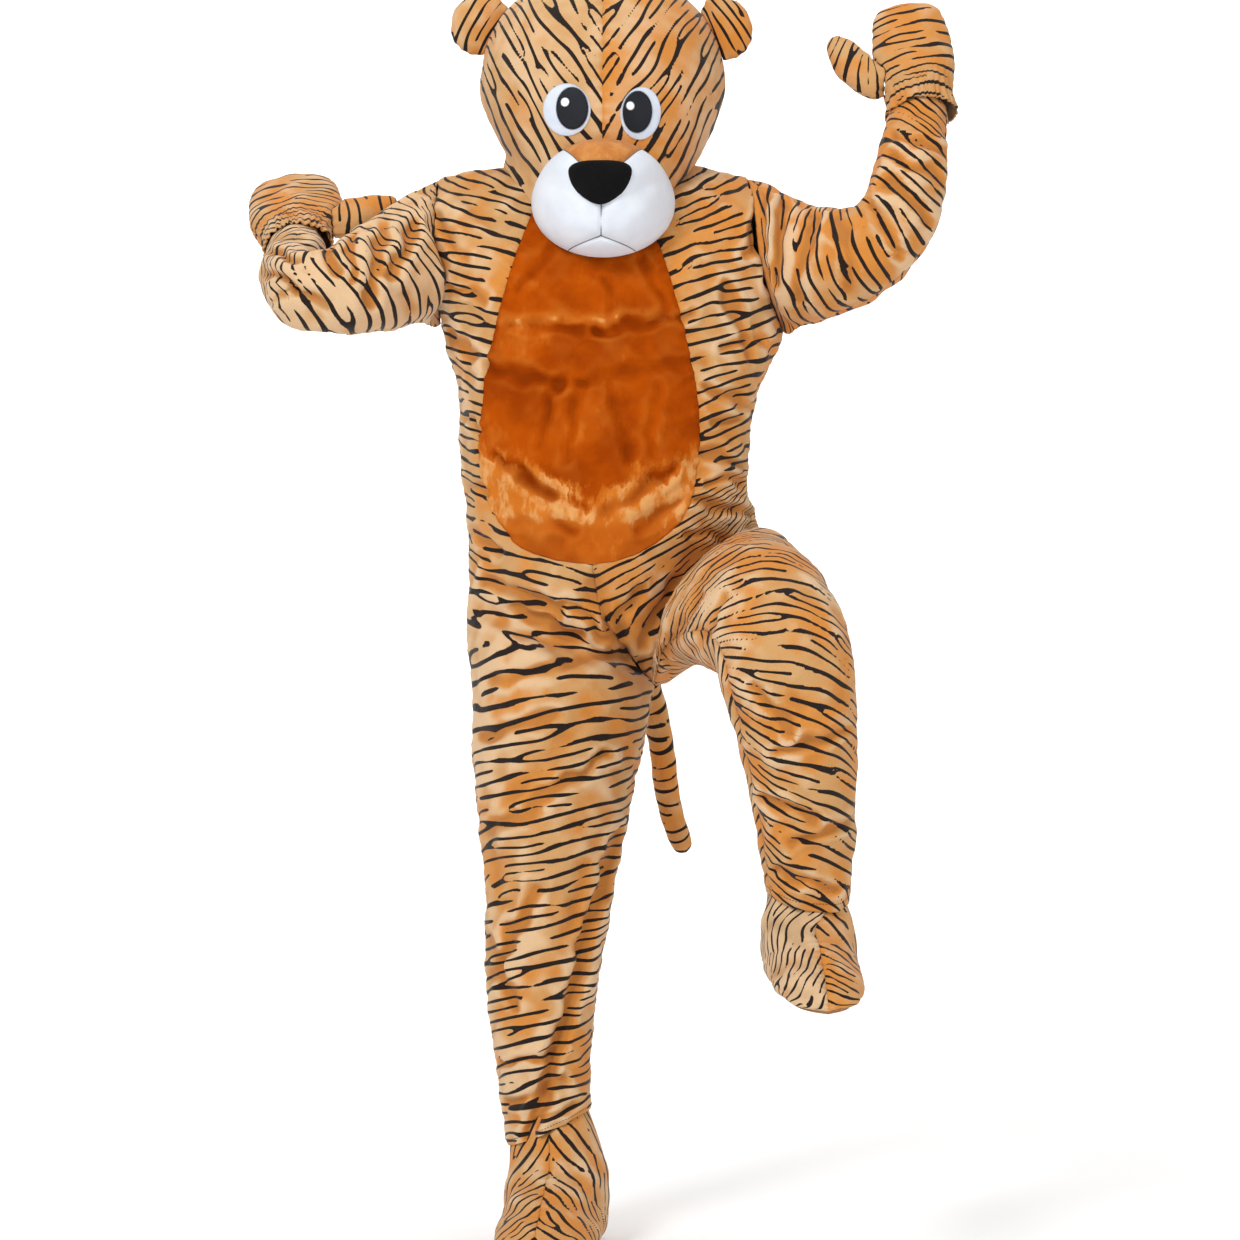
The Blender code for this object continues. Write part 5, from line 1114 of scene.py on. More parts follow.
# %% Creases, rumples and seams
CREASES = drawn_table("""
face x0 z0 x1 z1 width depth
-1 -118  -212   10  -222 10 -28
-1   10  -222  132  -198 11 -34
-1 -150  -268  -45  -296 12 -34
-1  -50  -292  150  -262 12 -20
-1  -60  -310  -75  -375 10 -26
-1  -20  -290  -40  -400  9 -24
-1   20  -300   50  -395 10 -22
-1   85  -300   75  -390 10 -20
-1 -140  -390  -60  -450 12 -36
-1 -105  -420  -10  -470 10 -28
-1   20  -470  105  -410 12 -34
-1   60  -490  120  -455 10 -26
-1 -120  -480  -30  -490 10 -22
-1  -60  -110 -105  -165 10 -20
-1   60  -120   95  -190 10 -24
-1   20  -150   28  -210  8 -18
-1 -200  -160 -150  -175 10 -26
-1 -205  -215 -165  -255 11 -36
-1 -215   -60 -180  -120 10 -24
-1 -190  -330 -155  -350  9 -30
-1 -185  -420 -150  -440  9 -32
-1 -180  -490 -130  -520 10 -34
-1  180  -160  215  -250 11 -34
-1  175  -240  235  -225  9 -28
-1  155  -300  215  -320  9 -36
-1  160  -345  205  -335  8 -32
-1  150  -385  210  -400 10 -40
-1  155  -425  205  -425  8 -30
-1  140  -455  215  -470 10 -40
-1  130  -495  200  -505  9 -30
-1 -150  -560  -50  -600 12 -40
-1 -110  -600  -20  -640 10 -36
-1  -40  -590   10  -640  9 -34
-1   15  -590   20  -650  8 -30
-1   60  -575   30  -640 10 -36
-1  110  -560   65  -650 10 -36
-1  140  -585   95  -665  9 -30
-1  175  -590  135  -655  9 -26
-1 -140  -700   40  -660 12 -30
-1 -160  -780  -50  -745 12 -34
-1  -90  -870   20  -800 11 -36
-1 -150  -905  -80  -880 12 -30
-1   30  -915  -90 -1335 13 -62
-1  -80  -985 -145 -1115 12 -44
-1 -150 -1060 -110 -1150 11 -34
-1 -130 -1235  -60 -1215  9 -34
-1 -125 -1290  -40 -1255  9 -36
-1  -90 -1320  -30 -1285  8 -26
-1  205  -700  255  -760 10 -34
-1  240  -790  330  -760 11 -36
-1  225  -850  290  -880 10 -38
-1  260  -910  345  -880 10 -34
-1  245  -950  320  -975  9 -32
 1 -180  -120  -60  -160 12 -34
 1  190  -130   70  -175 12 -34
 1 -190  -250  -80  -280 12 -36
 1  230  -260  110  -300 12 -38
 1 -180  -370  -50  -350 12 -36
 1  205  -380   80  -400 12 -38
 1 -150  -440  -20  -480 12 -36
 1  190  -450   60  -520 12 -36
 1 -150  -560  -50  -600 11 -34
 1    0  -620  -60  -700 11 -34
 1  120  -610   90  -690 11 -34
 1 -160  -760  -30  -740 12 -36
 1  -20  -850 -130  -880 12 -38
 1 -140  -960  -50  -930 12 -34
 1  -20 -1010  -80 -1120 11 -34
 1 -140 -1180  -40 -1210 10 -36
 1 -120 -1270  -30 -1250 10 -34
 1  200  -700  300  -730 12 -36
 1  220  -800  330  -780 11 -36
 1  230  -880  330  -900 10 -36
-1 -245   -70 -275  -150 12 -50
-1 -285   -80 -300  -185 12 -44
-1 -330   -95 -320  -160 11 -40
-1 -375   -85 -345  -150 11 -44
-1 -420  -160 -360  -190 10 -40
-1 -450  -110 -400  -130  9 -36
-1 -455  -140 -405  -165  9 -36
-1 -450  -190 -400  -170  9 -30
-1  235   -30  215  -110 11 -46
-1  260   -40  245  -150 11 -44
-1  300   -60  275  -170 11 -36
-1  330   -70  350  -160 12 -36
-1  375   -55  415  -120 11 -40
-1  395   -20  455   -75 11 -40
-1  405    10  480   -20 10 -34
-1  410    45  480    20  9 -34
 1 -250   -60 -270  -150 12 -44
 1 -300   -90 -310  -180 12 -40
 1  260   -50  250  -150 12 -40
 1  320   -70  330  -160 12 -40
 1  390   -30  440   -80 11 -36
""")
CREASE_GAIN, CREASE_WIDTH = 1.9, 0.72  # against the depths and widths in the table
SEAM_DIP, SEAM_REACH = 0.0016, 0.0045  # how deep a seam lies, and how wide its dip is
PUCKER, PUCKER_LENGTH, PUCKER_REACH = 0.0007, 0.015, 0.012  # height, spacing and reach of a seam's puckers


def crease_height(points, normals):
    """How far creases and rumples raise or sink the cloth."""
    height = 0.0013 * wander(points, 0.055, 11) + 0.0007 * wander(points, 0.024, 12)
    waver = np.stack([wander(points, 0.05, 13), wander(points, 0.05, 14)], axis=-1) * 0.004
    seen = points[..., [0, 2]] + waver
    for face, width, depth, distance in drawn_lines(CREASES, seen):
        away = distance / (CREASE_WIDTH * width)
        near = away < 4.0
        if not near.any():
            continue
        form = np.exp(-(away**2)) - 0.4 * np.exp(-(((away - 1.8) / 0.8) ** 2))
        height += np.where(near, CREASE_GAIN * depth * form * ease(face * normals[..., 1] * 1.8), 0.0)
    return height


def seam_height(away, along):
    """Cloth sinks into a seam and puckers a little beside it; away is the distance from the seam."""
    waves = np.sin(2 * math.pi * along / PUCKER_LENGTH + 1.5 * np.sin(along / 0.043))
    dip = -SEAM_DIP * np.exp(-((away / SEAM_REACH) ** 2))
    return dip + PUCKER * waves * np.exp(-((away / PUCKER_REACH) ** 2))


def edge_steps(count):
    """Shares from 0 to 1 that lie closer together near both ends, where the seams are."""
    return np.concatenate([[0.0, 0.010, 0.025], np.linspace(0.05, 0.95, count), [0.975, 0.990, 1.0]])


def creased(grid, normals):
    """Grid of points with its creases and with seams along both sides; and how far it was raised."""
    across, down = distances(grid, 0.0)
    height = crease_height(grid, normals)
    for away in (across, across[:, -1:] - across):
        height += seam_height(away, down)
    return grid + height[..., None] * normals, height


print(len(CREASES["face"]), "creases are ready")

# %% [markdown]
# ## Jumpsuit
#
# Two fronts and two backs, each cut from the neck to the ankle hem, and an egg-shaped tummy set between
# the fronts. The rows of the trunk turn smoothly into the sections of the legs, one of which is raised
# with its knee toward the viewer. The same rows serve all five pieces, so that their seams close.

# %% Jumpsuit rows
ROW_STEP = 0.0050


def fine_rows():
    """Rows of the suit a few millimetres apart, closer where the tummy ends, and the row of its end."""
    u = np.linspace(0.0, SUIT_ROWS - 1, 3001)
    reach = np.zeros(len(u) - 1)
    for side, face, w in itertools.product(HAND, FACE, (0.35, 0.75)):
        points = suit_surface(side, face)(u, np.full_like(u, w))
        reach = np.maximum(reach, np.linalg.norm(np.diff(points, axis=0), axis=-1))
    total = np.concatenate([[0.0], reach.cumsum()])
    even = np.interp(np.arange(0.0, total[-1], ROW_STEP), total, u)
    bottom = egg_bottom_row()
    start = bottom - EGG_CLOSE_ROWS
    closing = bottom - EGG_CLOSE_ROWS * (1.0 - np.linspace(0.0, 1.0, 22)) ** EGG_CLOSE_POWER
    even = even[(even < start - 0.02) | (even > bottom + 0.03)]
    return np.sort(np.concatenate([even, closing, [SUIT_ROWS - 1.0]])), bottom


ROWS, EGG_BOTTOM_ROW = fine_rows()
EGG_SHARES = {side: np.where(ROWS > EGG_BOTTOM_ROW - 1e-6, 0.0, egg_share(side, ROWS)) for side in HAND}


def zip_share(side, u):
    """Share w of the zip's edge on a back panel; zero below the zip."""
    probe = 0.1
    inner, outer = (suit_surface(side, BACK)(u, np.full_like(u, w))[..., 0] for w in (0.0, probe))
    return np.where(u < ZIP_END_ROW, probe * ZIP_HALF / np.abs(outer - inner), 0.0)


def across_middle(face, rows, shares):
    """Points and normals of rows that run from a share on one side over the centre line to the other side's.

    They meet in one point on the last row."""
    sides = {side: suit_frame(side, face, rows[:, None], shares[side]) for side in HAND}
    both = (np.concatenate([sides[RIGHT][i][:, :0:-1], sides[LEFT][i]], axis=1) for i in (0, 1))
    points, normals = both
    points[-1], normals[-1] = points[-1].mean(axis=0), unit(normals[-1].mean(axis=0))
    return points, normals


# How the strokes climb away from the centre line or inseam, row by row: as seen on the trunk and the
# standing leg, and against the rows on the raised leg
CLIMB = {
    (RIGHT, FRONT): (
        [0, 3, 8, 13, 16, 17, 18.5, 22, 26],
        [0.10, 0.20, 0.22, 0.26, 0.16, 0.00, -0.16, -0.22, -0.20],
    ),
    (LEFT, FRONT): (
        [0, 3, 8, 13, 15, 16, 17, 20, 22, 26],
        [0.15, 0.26, 0.26, 0.30, 0.60, 0.80, 0.04, 0.00, 0.16, 0.20],
    ),
    (RIGHT, BACK): ([0, 8, 16, 18, 26], [0.15, 0.20, 0.15, -0.10, -0.12]),
    (LEFT, BACK): ([0, 8, 16, 17, 20, 26], [0.15, 0.20, 0.30, 0.05, -0.05, 0.10]),
}
# How closely the strokes of the raised leg follow each other, row by row; they crowd over the hip
CROWD = ([0.0, 13.0, 14.0, 16.0, 17.5, 26.0], [1.0, 1.0, 1.45, 1.45, 1.0, 1.0])


def stroke_rank(side, face, points, across, down):
    """How far down the body each point's stroke lies: by height, and by the rows on the raised leg."""
    climb = np.interp(ROWS, *CLIMB[side, face])[:, None]
    by_height = -points[..., 2] + climb * across
    if side == RIGHT:
        return by_height
    knee = int(np.searchsorted(ROWS, TORSO_ROWS - 0.5))
    by_row = (np.diff(down, axis=0, prepend=down[:1]) * np.interp(ROWS, *CROWD)[:, None]).cumsum(axis=0)
    by_row += by_height[knee].mean() - by_row[knee].mean() + climb * across
    share = ease((ROWS - (TORSO_ROWS - 1.6)) / 1.4)[:, None]
    return (1.0 - share) * by_height + share * by_row


def suit_panel(side, face):
    """One front or back panel."""
    start = (EGG_SHARES[side] if face == FRONT else zip_share(side, ROWS))[:, None]
    points, normals = suit_frame(side, face, ROWS[:, None], start + (1.0 - start) * edge_steps(46))
    grid, fold = creased(points, normals)
    across, down = distances(points)
    trunk = 1.0 - ease(ROWS - (TORSO_ROWS - 2.0))[:, None]
    from_middle = across + np.abs(points[:, :1, 0]) * trunk
    ranked = stroke_rank(side, face, points, from_middle, down)
    stripes = stripe_values(from_middle, ranked, seed=20 + 2 * (side > 0) + (face > 0))
    name = f"{FACE[face]}_{HAND[side]}"
    # The wearer's right side takes the paler copy of the plush, with painted key light.
    looks = ("plush_body" if side == LEFT else "plush_body_light", "knit_backing")
    # The big folds' heights add at half strength to the heights that paint shade and highlight into the
    # plush.
    fold = fold + 0.5 * fold_height(points, normals)
    sheet(
        "cloth_" + name, "suit_" + name, grid, normals, looks,
        stripes, uv=(from_middle, down), fold=fold,
    )


for side, face in itertools.product(HAND, FACE):
    suit_panel(side, face)
print("panels of", len(ROWS), "rows are sewn")


# %% Tummy panel
def tummy():
    rows = ROWS[: int(np.argmin(np.abs(ROWS - EGG_BOTTOM_ROW))) + 1]
    half = np.concatenate([np.linspace(0.0, 0.95, 30), [0.975, 0.990, 1.0]])
    shares = {side: EGG_SHARES[side][: len(rows), None] * half for side in HAND}
    points, normals = across_middle(FRONT, rows, shares)
    grid, fold = creased(points, normals)
    looks = ("velvet_tummy", "knit_backing")
    sheet("tummy_velvet_panel", "tummy_panel", grid, normals, looks, fold=fold)


tummy()
print("the tummy is set in")

# %% [markdown]
# ## Sleeves
#
# A sleeve starts on the armhole's own points and turns into the arm's tube over its first few
# centimetres, so it fits the armhole all round. Its seam runs along the underside, where a tailor puts
# it. The stripes run round the arm, as they would on cloth cut with its length down the arm.

# %% Tubes along a path
def carried_axes(centres, up):
    """Unit vectors along a path and across it, the second carried along without twisting."""
    along = unit(np.gradient(centres, axis=0))
    ups = []
    for direction in along:
        up = unit(up - np.dot(up, direction) * direction)
        ups.append(up)
    return along, np.array(ups)


def path_rows(centres, ups, sides, path):
    """Rows of a tube: its centres and its two half axes, whose lengths the path's table gives."""
    half_axes = ups * path["half_up"][:, None], sides * path["half_side"][:, None]
    return np.concatenate([centres, *half_axes], axis=-1)


def carried_rows(centres, path, up, hand=1):
    """Rows of a tube along its centres; hand chooses which way its second axis points."""
    along, ups = carried_axes(centres, np.array(up, float))
    return path_rows(centres, ups, hand * np.cross(along, ups), path)


def centres_of(path):
    """A table's columns x, y and z as points."""
    return np.stack([path[axis] for axis in "xyz"], axis=-1)


def two_stretches(bend, end, first, last):
    """Even row values up to a bend, and closer ones from there to the end."""
    return np.concatenate([np.linspace(0.0, bend, first), np.linspace(bend, end, last)[1:]])


def tube_surface(rows):
    """Surface through a tube's rows, as a function of row and angle."""

    def point(u, angle):
        u, angle = np.broadcast_arrays(np.asarray(u, float), np.asarray(angle, float))
        centre, up_arm, side_arm = np.split(through_rows(lambda k: rows[k], len(rows), u), 3, axis=-1)
        return centre + np.cos(angle)[..., None] * up_arm + np.sin(angle)[..., None] * side_arm

    return point


def tube_from_opening(opening, tube_rows, rows, blend):
    """Grid of a tube that starts on an opening's ring of points and turns into its rows over blend rows."""
    surface = tube_surface(tube_rows)
    centre, up, side = np.split(tube_rows[0], 3)
    angles = np.unwrap(np.arctan2((opening - centre) @ unit(side), (opening - centre) @ unit(up)))
    step = tube_rows[1, :3] - centre
    share = ease(rows / blend)[:, None, None]
    start = opening + rows[:, None, None] * step
    return (1.0 - share) * start + share * surface(rows[:, None], angles[None])


def round_normals(grid):
    """Outward normals of a tube's grid whose last column lies on its first."""
    along = np.gradient(grid, axis=0)
    ring = grid[:, :-1]
    across = np.roll(ring, -1, axis=1) - np.roll(ring, 1, axis=1)
    across = np.concatenate([across, across[:, :1]], axis=1)
    return turned_outward(unit(np.cross(along, across)), grid - ring.mean(axis=1, keepdims=True))


def close_tip(grid):
    """Draw a tube's last row together in one point; returns its outward normals."""
    grid[-1] = grid[-1].mean(axis=0)
    normals = round_normals(grid)
    normals[-1] = unit(grid[-1, 0] - grid[-3, :-1].mean(axis=0))
    return normals


def even_tube_rows(tube_rows, step):
    """Row values a given distance apart along a tube's centres."""
    u = np.linspace(0.0, len(tube_rows) - 1.0, 801)
    centres = through_rows(lambda k: tube_rows[k], len(tube_rows), u)[:, :3]
    total = np.concatenate([[0.0], np.linalg.norm(np.diff(centres, axis=0), axis=-1).cumsum()])
    return np.interp(np.linspace(0.0, total[-1], int(total[-1] / step) + 1), total, u)


# %% Sleeves
def sleeve(side):
    u = np.linspace(SHOULDER_ROW, UNDERARM_ROW, 44)
    front, back = (suit_frame(side, face, u, np.ones_like(u))[0] for face in (FRONT, BACK))
    ring = np.concatenate([front[::-1], back[1:]])
    tube_rows = carried_rows(centres_of(ARM[side]), ARM[side], (0, 0, 1), side)
    rows = np.concatenate([[0.0, 0.03, 0.07], even_tube_rows(tube_rows, 0.0045)[3:]])
    grid = tube_from_opening(ring, tube_rows, rows, SLEEVE_BLEND)
    normals = round_normals(grid)
    normals[0, :, 0] = 0.0
    normals[0] = unit(normals[0])
    across, down = distances(grid)
    height = crease_height(grid, normals) * ease(rows / 0.35)[:, None]
    height += seam_height(down, across) * np.where(rows < 1.5, 1.0, 0.0)[:, None]
    height += seam_height(from_edges(across), down)
    grid = grid + height[..., None] * normals
    slant, seed = (24, 31) if side == RIGHT else (0, 37)
    stripes = stripe_values(across, down, seed, spacing=0.0160, slant=slant)
    name = f"sleeve_{HAND[side]}"
    # Each sleeve's plush is its own copy, paler on the right with painted key light and warmer on the left.
    looks = ("plush_" + name, "knit_backing")
    sheet("cloth_" + name, name, grid, normals, looks, stripes, fold=height)


for side in HAND:
    sleeve(side)
print("sleeves are set in")

# %% [markdown]
# ## Mittens
#
# A mitten has a palm and a back, sewn together round the edge, and a thumb set into the gap between them.
# An elastic gathers it at the wrist, so the cloth there folds into small pleats that fade out toward the
# fingers.

# %% Mittens
PLEATS = 17  # across each half, at the wrist
BODY_LOOKS = ("plush_body", "knit_backing")


def hand_axes(side):
    """Wrist point and the unit vectors toward the thumb, the palm's front and the fingertips."""
    hand = HANDS[side]
    fingers = unit(np.array(hand["fingers"], float))
    thumb = np.array(hand["thumb"], float)
    thumb = unit(thumb - np.dot(thumb, fingers) * fingers)
    palm = -side * np.cross(thumb, fingers)
    return np.array(hand["wrist"]), thumb, palm, fingers


def mitten_sizes(side, u):
    """Distance from the wrist and half width at rows u of the table, for one hand."""
    z = smooth_column(MITTEN["z"], u)
    fan = ease((z - FAN_Z[0]) / (FAN_Z[1] - FAN_Z[0]))
    wide = smooth_column(MITTEN["half_width"], u) * (1.0 + (HANDS[side]["width"] - 1.0) * fan)
    return np.where(z > 0, z * HANDS[side]["length"], z), np.maximum(wide, 0.0)


def mitten_half(side, half, u):
    """Points of the palm (half 1) or back (half -1), from the thumb side round to the other side."""
    wrist, thumb, palm, fingers = hand_axes(side)
    z, half_width = mitten_sizes(side, u)
    half_thick = np.maximum(smooth_column(MITTEN["half_thick"], u), 0.0)
    gather = np.maximum(smooth_column(MITTEN["gather"], u), 0.0)[:, None]
    position = (u - THUMB_ROWS[0]) / (THUMB_ROWS[1] - THUMB_ROWS[0])
    start = THUMB_OPEN * np.sin(math.pi * np.clip(position, 0.0, 1.0))[:, None]
    angle = math.pi * (start + (1.0 - start) * np.linspace(0.0, 1.0, 69))
    crowd = angle + 0.10 * np.sin(3.0 * angle + half) + 0.06 * np.sin(7.0 * angle)
    wave = gather * 0.9 * np.cos(2 * PLEATS * crowd) * np.sin(angle) ** 0.3
    across = (half_width[:, None] + wave) * np.cos(angle)
    through = (half_thick[:, None] + wave) * np.sin(angle)
    tip = half_width < 1e-6
    across[tip], through[tip] = 0.0, 0.0
    flat = wrist + across[..., None] * thumb + half * through[..., None] * palm
    return flat + z[:, None, None] * fingers


def thumb_rows(side):
    """Rows of the thumb's tube, from its opening outward."""
    wrist, thumb, palm, fingers = hand_axes(side)
    path = THUMB[side]
    z, half_width = mitten_sizes(side, np.arange(len(MITTEN["z"])) * 1.0)
    middle = (z[THUMB_ROWS[0]] + z[THUMB_ROWS[1]]) / 2
    opening = half_width[sum(THUMB_ROWS) // 2] * math.cos(math.pi * THUMB_OPEN) + 0.004
    out, forward = opening + path["out"], middle + path["forward"]
    centres = wrist + out[:, None] * thumb + forward[:, None] * fingers
    tilt = np.radians(path["tilt"])[:, None]
    ups = np.sin(tilt) * thumb - np.cos(tilt) * fingers
    return path_rows(centres, ups, np.broadcast_to(palm, ups.shape), path)


def mitten(side):
    """Palm, back and thumb of one mitten."""
    wrist, thumb, palm, fingers = hand_axes(side)
    first, last = THUMB_ROWS
    end = len(MITTEN["z"]) - 1.0
    stretches = (0, first, 15), (first, last, 19), (last, end, 34)
    u = np.concatenate([np.linspace(*stretch)[:-1] for stretch in stretches] + [[end]])
    edges = {}
    for half, part in ((1, "palm"), (-1, "back")):
        grid = mitten_half(side, half, u)
        edges[half] = grid[:, 0]
        centre = wrist + np.sum((grid - wrist) * fingers, axis=-1, keepdims=True) * fingers
        outward = unit(grid - centre)
        normals = turned_outward(grid_normals(grid), outward)
        normals[-1] = fingers
        flat = normals - np.sum(normals * palm, axis=-1, keepdims=True) * palm
        on_seam = np.abs(np.sum((grid - wrist) * palm, axis=-1)) < 1e-6
        normals[on_seam] = unit(flat[on_seam])
        across, down = distances(grid)
        height = 0.0010 * wander(grid, 0.045, 51 + half) + crease_height(grid, normals) * 0.5
        height += seam_height(from_edges(across), down) * 0.8
        height[-1] = height[-1].mean()
        stripes = stripe_values(across, down, 60 + half + 5 * side, slant=5 * side)
        name = f"mitten_{part}_{HAND[side]}"
        grid = grid + height[..., None] * normals
        sheet("cloth_" + name, name, grid, outward, BODY_LOOKS, stripes, fold=height)
    opened = (u > first - 1e-6) & (u < last + 1e-6)
    ring = np.concatenate([edges[1][opened], edges[-1][opened][-2:0:-1]])
    middles = (ring + np.roll(ring, -1, axis=0)) / 2
    ring = np.stack([ring, middles], axis=1).reshape(-1, 3)
    ring = np.concatenate([ring, ring[:1]])
    grid = tube_from_opening(ring, thumb_rows(side), two_stretches(6.0, 7.0, 26, 9), THUMB_BLEND)
    normals = close_tip(grid)
    across, down = distances(grid)
    height = 0.0007 * wander(grid, 0.035, 71) + seam_height(down, across)
    stripes = stripe_values(across, down, 80 + side, spacing=0.0165, ink=0.85)
    name = f"mitten_thumb_{HAND[side]}"
    grid = grid + height[..., None] * normals
    sheet("cloth_" + name, name, grid, normals, BODY_LOOKS, stripes)


for side in HAND:
    mitten(side)
print("mittens are sewn")

# %% [markdown]
# ## Boot covers
#
# A cover for the foot is cut in an inner and an outer half that meet in a seam over the instep and
# another at the heel. The two halves are cut as mirror images, so their stripes meet in chevrons along
# the instep.

# %% Boots
# How many degrees each half's stripes fall away from the instep seam, how far apart they are, and its plush
BOOT_PRINT = {
    (RIGHT, "outer"): (52, 0.0175, "plush_body"),
    (RIGHT, "inner"): (58, 0.0175, "plush_body"),
    (LEFT, "inner"): (74, 0.0125, "plush_boot_pale"),
    (LEFT, "outer"): (50, 0.0175, "plush_body"),
}


def place_boot(side, points):
    """Shape a boot's own points for one foot and put them in place."""
    foot = FEET[side]
    turn, pitch = (math.radians(foot[name]) for name in ("turn", "pitch"))
    turned = Matrix.Rotation(turn, 3, "Z") @ Matrix.Rotation(pitch, 3, "X")
    return (points * np.array(foot["size"])) @ np.array(turned).T + np.array(foot["floor"])


def shaft_rows(side, hand, angle):
    """The boot's top rows, inside the leg's hem, for angles from the instep (0) to the heel."""
    outward, forward = (axes[:, None] for axes in leg_axes(side, SHAFT["leg_row"]))
    columns = ("x", "y", "z", "half_width", "half_depth")
    read = [smooth_column(LEG[side][name], SHAFT["leg_row"])[:, None, None] for name in columns]
    half_width, half_depth = (half - SHAFT["inset"][:, None, None] for half in read[3:])
    across = hand * side * half_width * outward
    centre = np.concatenate(read[:3], axis=-1)
    return centre + np.sin(angle)[:, None] * across + np.cos(angle)[:, None] * half_depth * forward


def boot_rows(side, hand, steps):
    """Outer points of one boot half on its tables' rows; hand is the sign of its side in X."""
    width = BOOT["half_width"]
    ends = ((BOOT[end + "_y"], BOOT[end + "_z"]) for end in ("front", "back"))
    front, back = (np.stack([0 * width, y, z], axis=-1) for y, z in ends)
    ratio = np.divide(BOOT["end_x"], width, out=np.zeros_like(width), where=width > 0)
    sweep = math.pi - np.arcsin(ratio)
    angle = sweep[:, None] * steps
    share = (1.0 - np.cos(angle)) / (1.0 - np.cos(sweep))[:, None]
    points = front[:, None] + (back - front)[:, None] * share[..., None]
    points[..., 0] = hand * width[:, None] * np.sin(angle)
    points[:, 0, 0] = 0.0
    points[BOOT["end_x"] == 0.0, -1, 0] = 0.0
    return np.concatenate([shaft_rows(side, hand, math.pi * steps), place_boot(side, points)])


def boot(side):
    """The outer and the inner half of one boot cover."""
    steps = edge_steps(34)
    table_rows = {hand: boot_rows(side, hand, steps) for hand in HAND}
    count = len(table_rows[LEFT])
    u = np.concatenate([np.linspace(0, 2, 9)[:-1], np.linspace(2, count - 1.0, 72)])
    origin, floor, top = place_boot(side, np.array([[0.0, 0.0, z] for z in (0.0, 0.006, 1.0)]))
    up = unit(top - origin)
    grids, outward, facing = {}, {}, {}
    for hand, coarse in table_rows.items():
        grid = through_rows(lambda k: coarse[k[:, 0]], count, u[:, None])
        below = np.minimum(np.sum((grid - floor) * up, axis=-1), 0.0)
        grids[hand] = grid - below[..., None] * up
    middle = (grids[RIGHT] + grids[LEFT]).mean(axis=1, keepdims=True) / 2
    for hand, grid in grids.items():
        outward[hand] = unit(grid - middle)
        facing[hand] = turned_outward(grid_normals(grid), outward[hand])
    for hand, grid in grids.items():
        normals = facing[hand].copy()
        for column in (0, -1):
            apart = np.linalg.norm(grids[RIGHT][:, column] - grids[LEFT][:, column], axis=-1)
            joined = apart < 1e-5
            normals[joined, column] = unit(normals[joined, column] + facing[-hand][joined, column])
        across, down = distances(grid)
        height = 0.0012 * wander(grid, 0.05, 91) + 0.0006 * wander(grid, 0.022, 92)
        height += seam_height(across, down)
        height = height * ease((across[:, -1:] - across) / 0.02)
        part = "outer" if hand == side else "inner"
        slant, spacing, plush = BOOT_PRINT[side, part]
        stripes = stripe_values(across, down, 100 + side, spacing=spacing, slant=slant, cell=(0.07, 0.05))
        name = f"boot_{part}_{HAND[side]}"
        looks = (plush, "knit_backing")
        grid = grid + height[..., None] * normals
        sheet("cloth_" + name, name, grid, outward[hand], looks, stripes, fold=height)


def sole(side):
    """Padded sole with a rolled edge under a boot's two halves."""
    u = np.linspace(SOLE_ROW, len(BOOT["end_x"]) - 1.0, 40)
    edge_x = np.maximum(smooth_column(BOOT["end_x"], u), 0.0)
    edge_y = smooth_column(BOOT["back_y"], u)
    share = np.sin(np.linspace(-1.0, 1.0, 25) * math.pi / 2)
    x, y = edge_x[:, None] * share, np.broadcast_to(edge_y[:, None], (len(u), len(share)))
    roll = 0.0018 * (1.0 - (1.0 - np.abs(share) ** 6) * np.clip(edge_x[:, None] / 0.02, 0, 1))
    heights = (roll, SOLE_THICK + LIFT)
    bottom, top = (place_boot(side, np.stack([x, y, 0 * x + z], axis=-1)) for z in heights)
    padded("pad", f"boot_sole_{HAND[side]}", bottom, top, ("plush_sole", "plush_sole"))


for side in HAND:
    boot(side)
    sole(side)
print("boot covers are sewn")

# %% [markdown]
# ## Head
#
# The head is a ball in two halves, sewn from brow to nape and backed with foam, which makes its wall
# thicker. The two halves are cut at a slant and mirrored, so the stripes run down into the seam from both
# sides.

# %% Head halves
HEAD_SLANT = 54  # degrees that the head's stripes climb away from its seam


def neck_rim(side, angle, row):
    """Points just above the suit, on its row, round from the front (angle 0) to the back."""
    share = angle / (math.pi / 2)
    shares = {FRONT: np.minimum(share, 1.0), BACK: np.clip(2.0 - share, 0.0, 1.0)}
    placed = (suit_frame(side, face, row, shares[face]) for face in FACE)
    front, back = (points + LIFT * normals for points, normals in placed)
    return np.where((share > 1.0)[..., None], back, front)


def head_ring(side, k, angle):
    """Points of the head's rings k, angle running from the front to the back."""
    cosine = np.cos(angle)
    depth, end_z = (np.where(cosine > 0, HEAD["front_" + a][k], HEAD["back_" + a][k]) for a in "yz")
    z = HEAD["side_z"][k] + (end_z - HEAD["side_z"][k]) * cosine**2
    return np.stack([HEAD_X + side * HEAD["half_x"][k] * np.sin(angle), -depth * cosine, z], axis=-1)


def head_surface(side):
    """The head's surface on one side: row u from the crown to the neck rim, angle from front to back."""

    def point(u, angle):
        u, angle = np.broadcast_arrays(np.asarray(u, float), np.asarray(angle, float))
        rim = neck_rim(side, angle, RIM_ROW)

        def row(k):
            ring = head_ring(side, np.minimum(k, UNDER_RING - 1), angle)
            return np.where((k == UNDER_RING)[..., None], rim, ring)

        return through_rows(row, HEAD_ROWS, u)

    return point


def under_surface(u, angle):
    """The head's front carried on below its lower edge, for the muzzle."""
    u, angle = np.broadcast_arrays(np.asarray(u, float), np.asarray(angle, float))
    return through_rows(lambda k: head_ring(1, k, angle), UNDER_RING + 1, u)


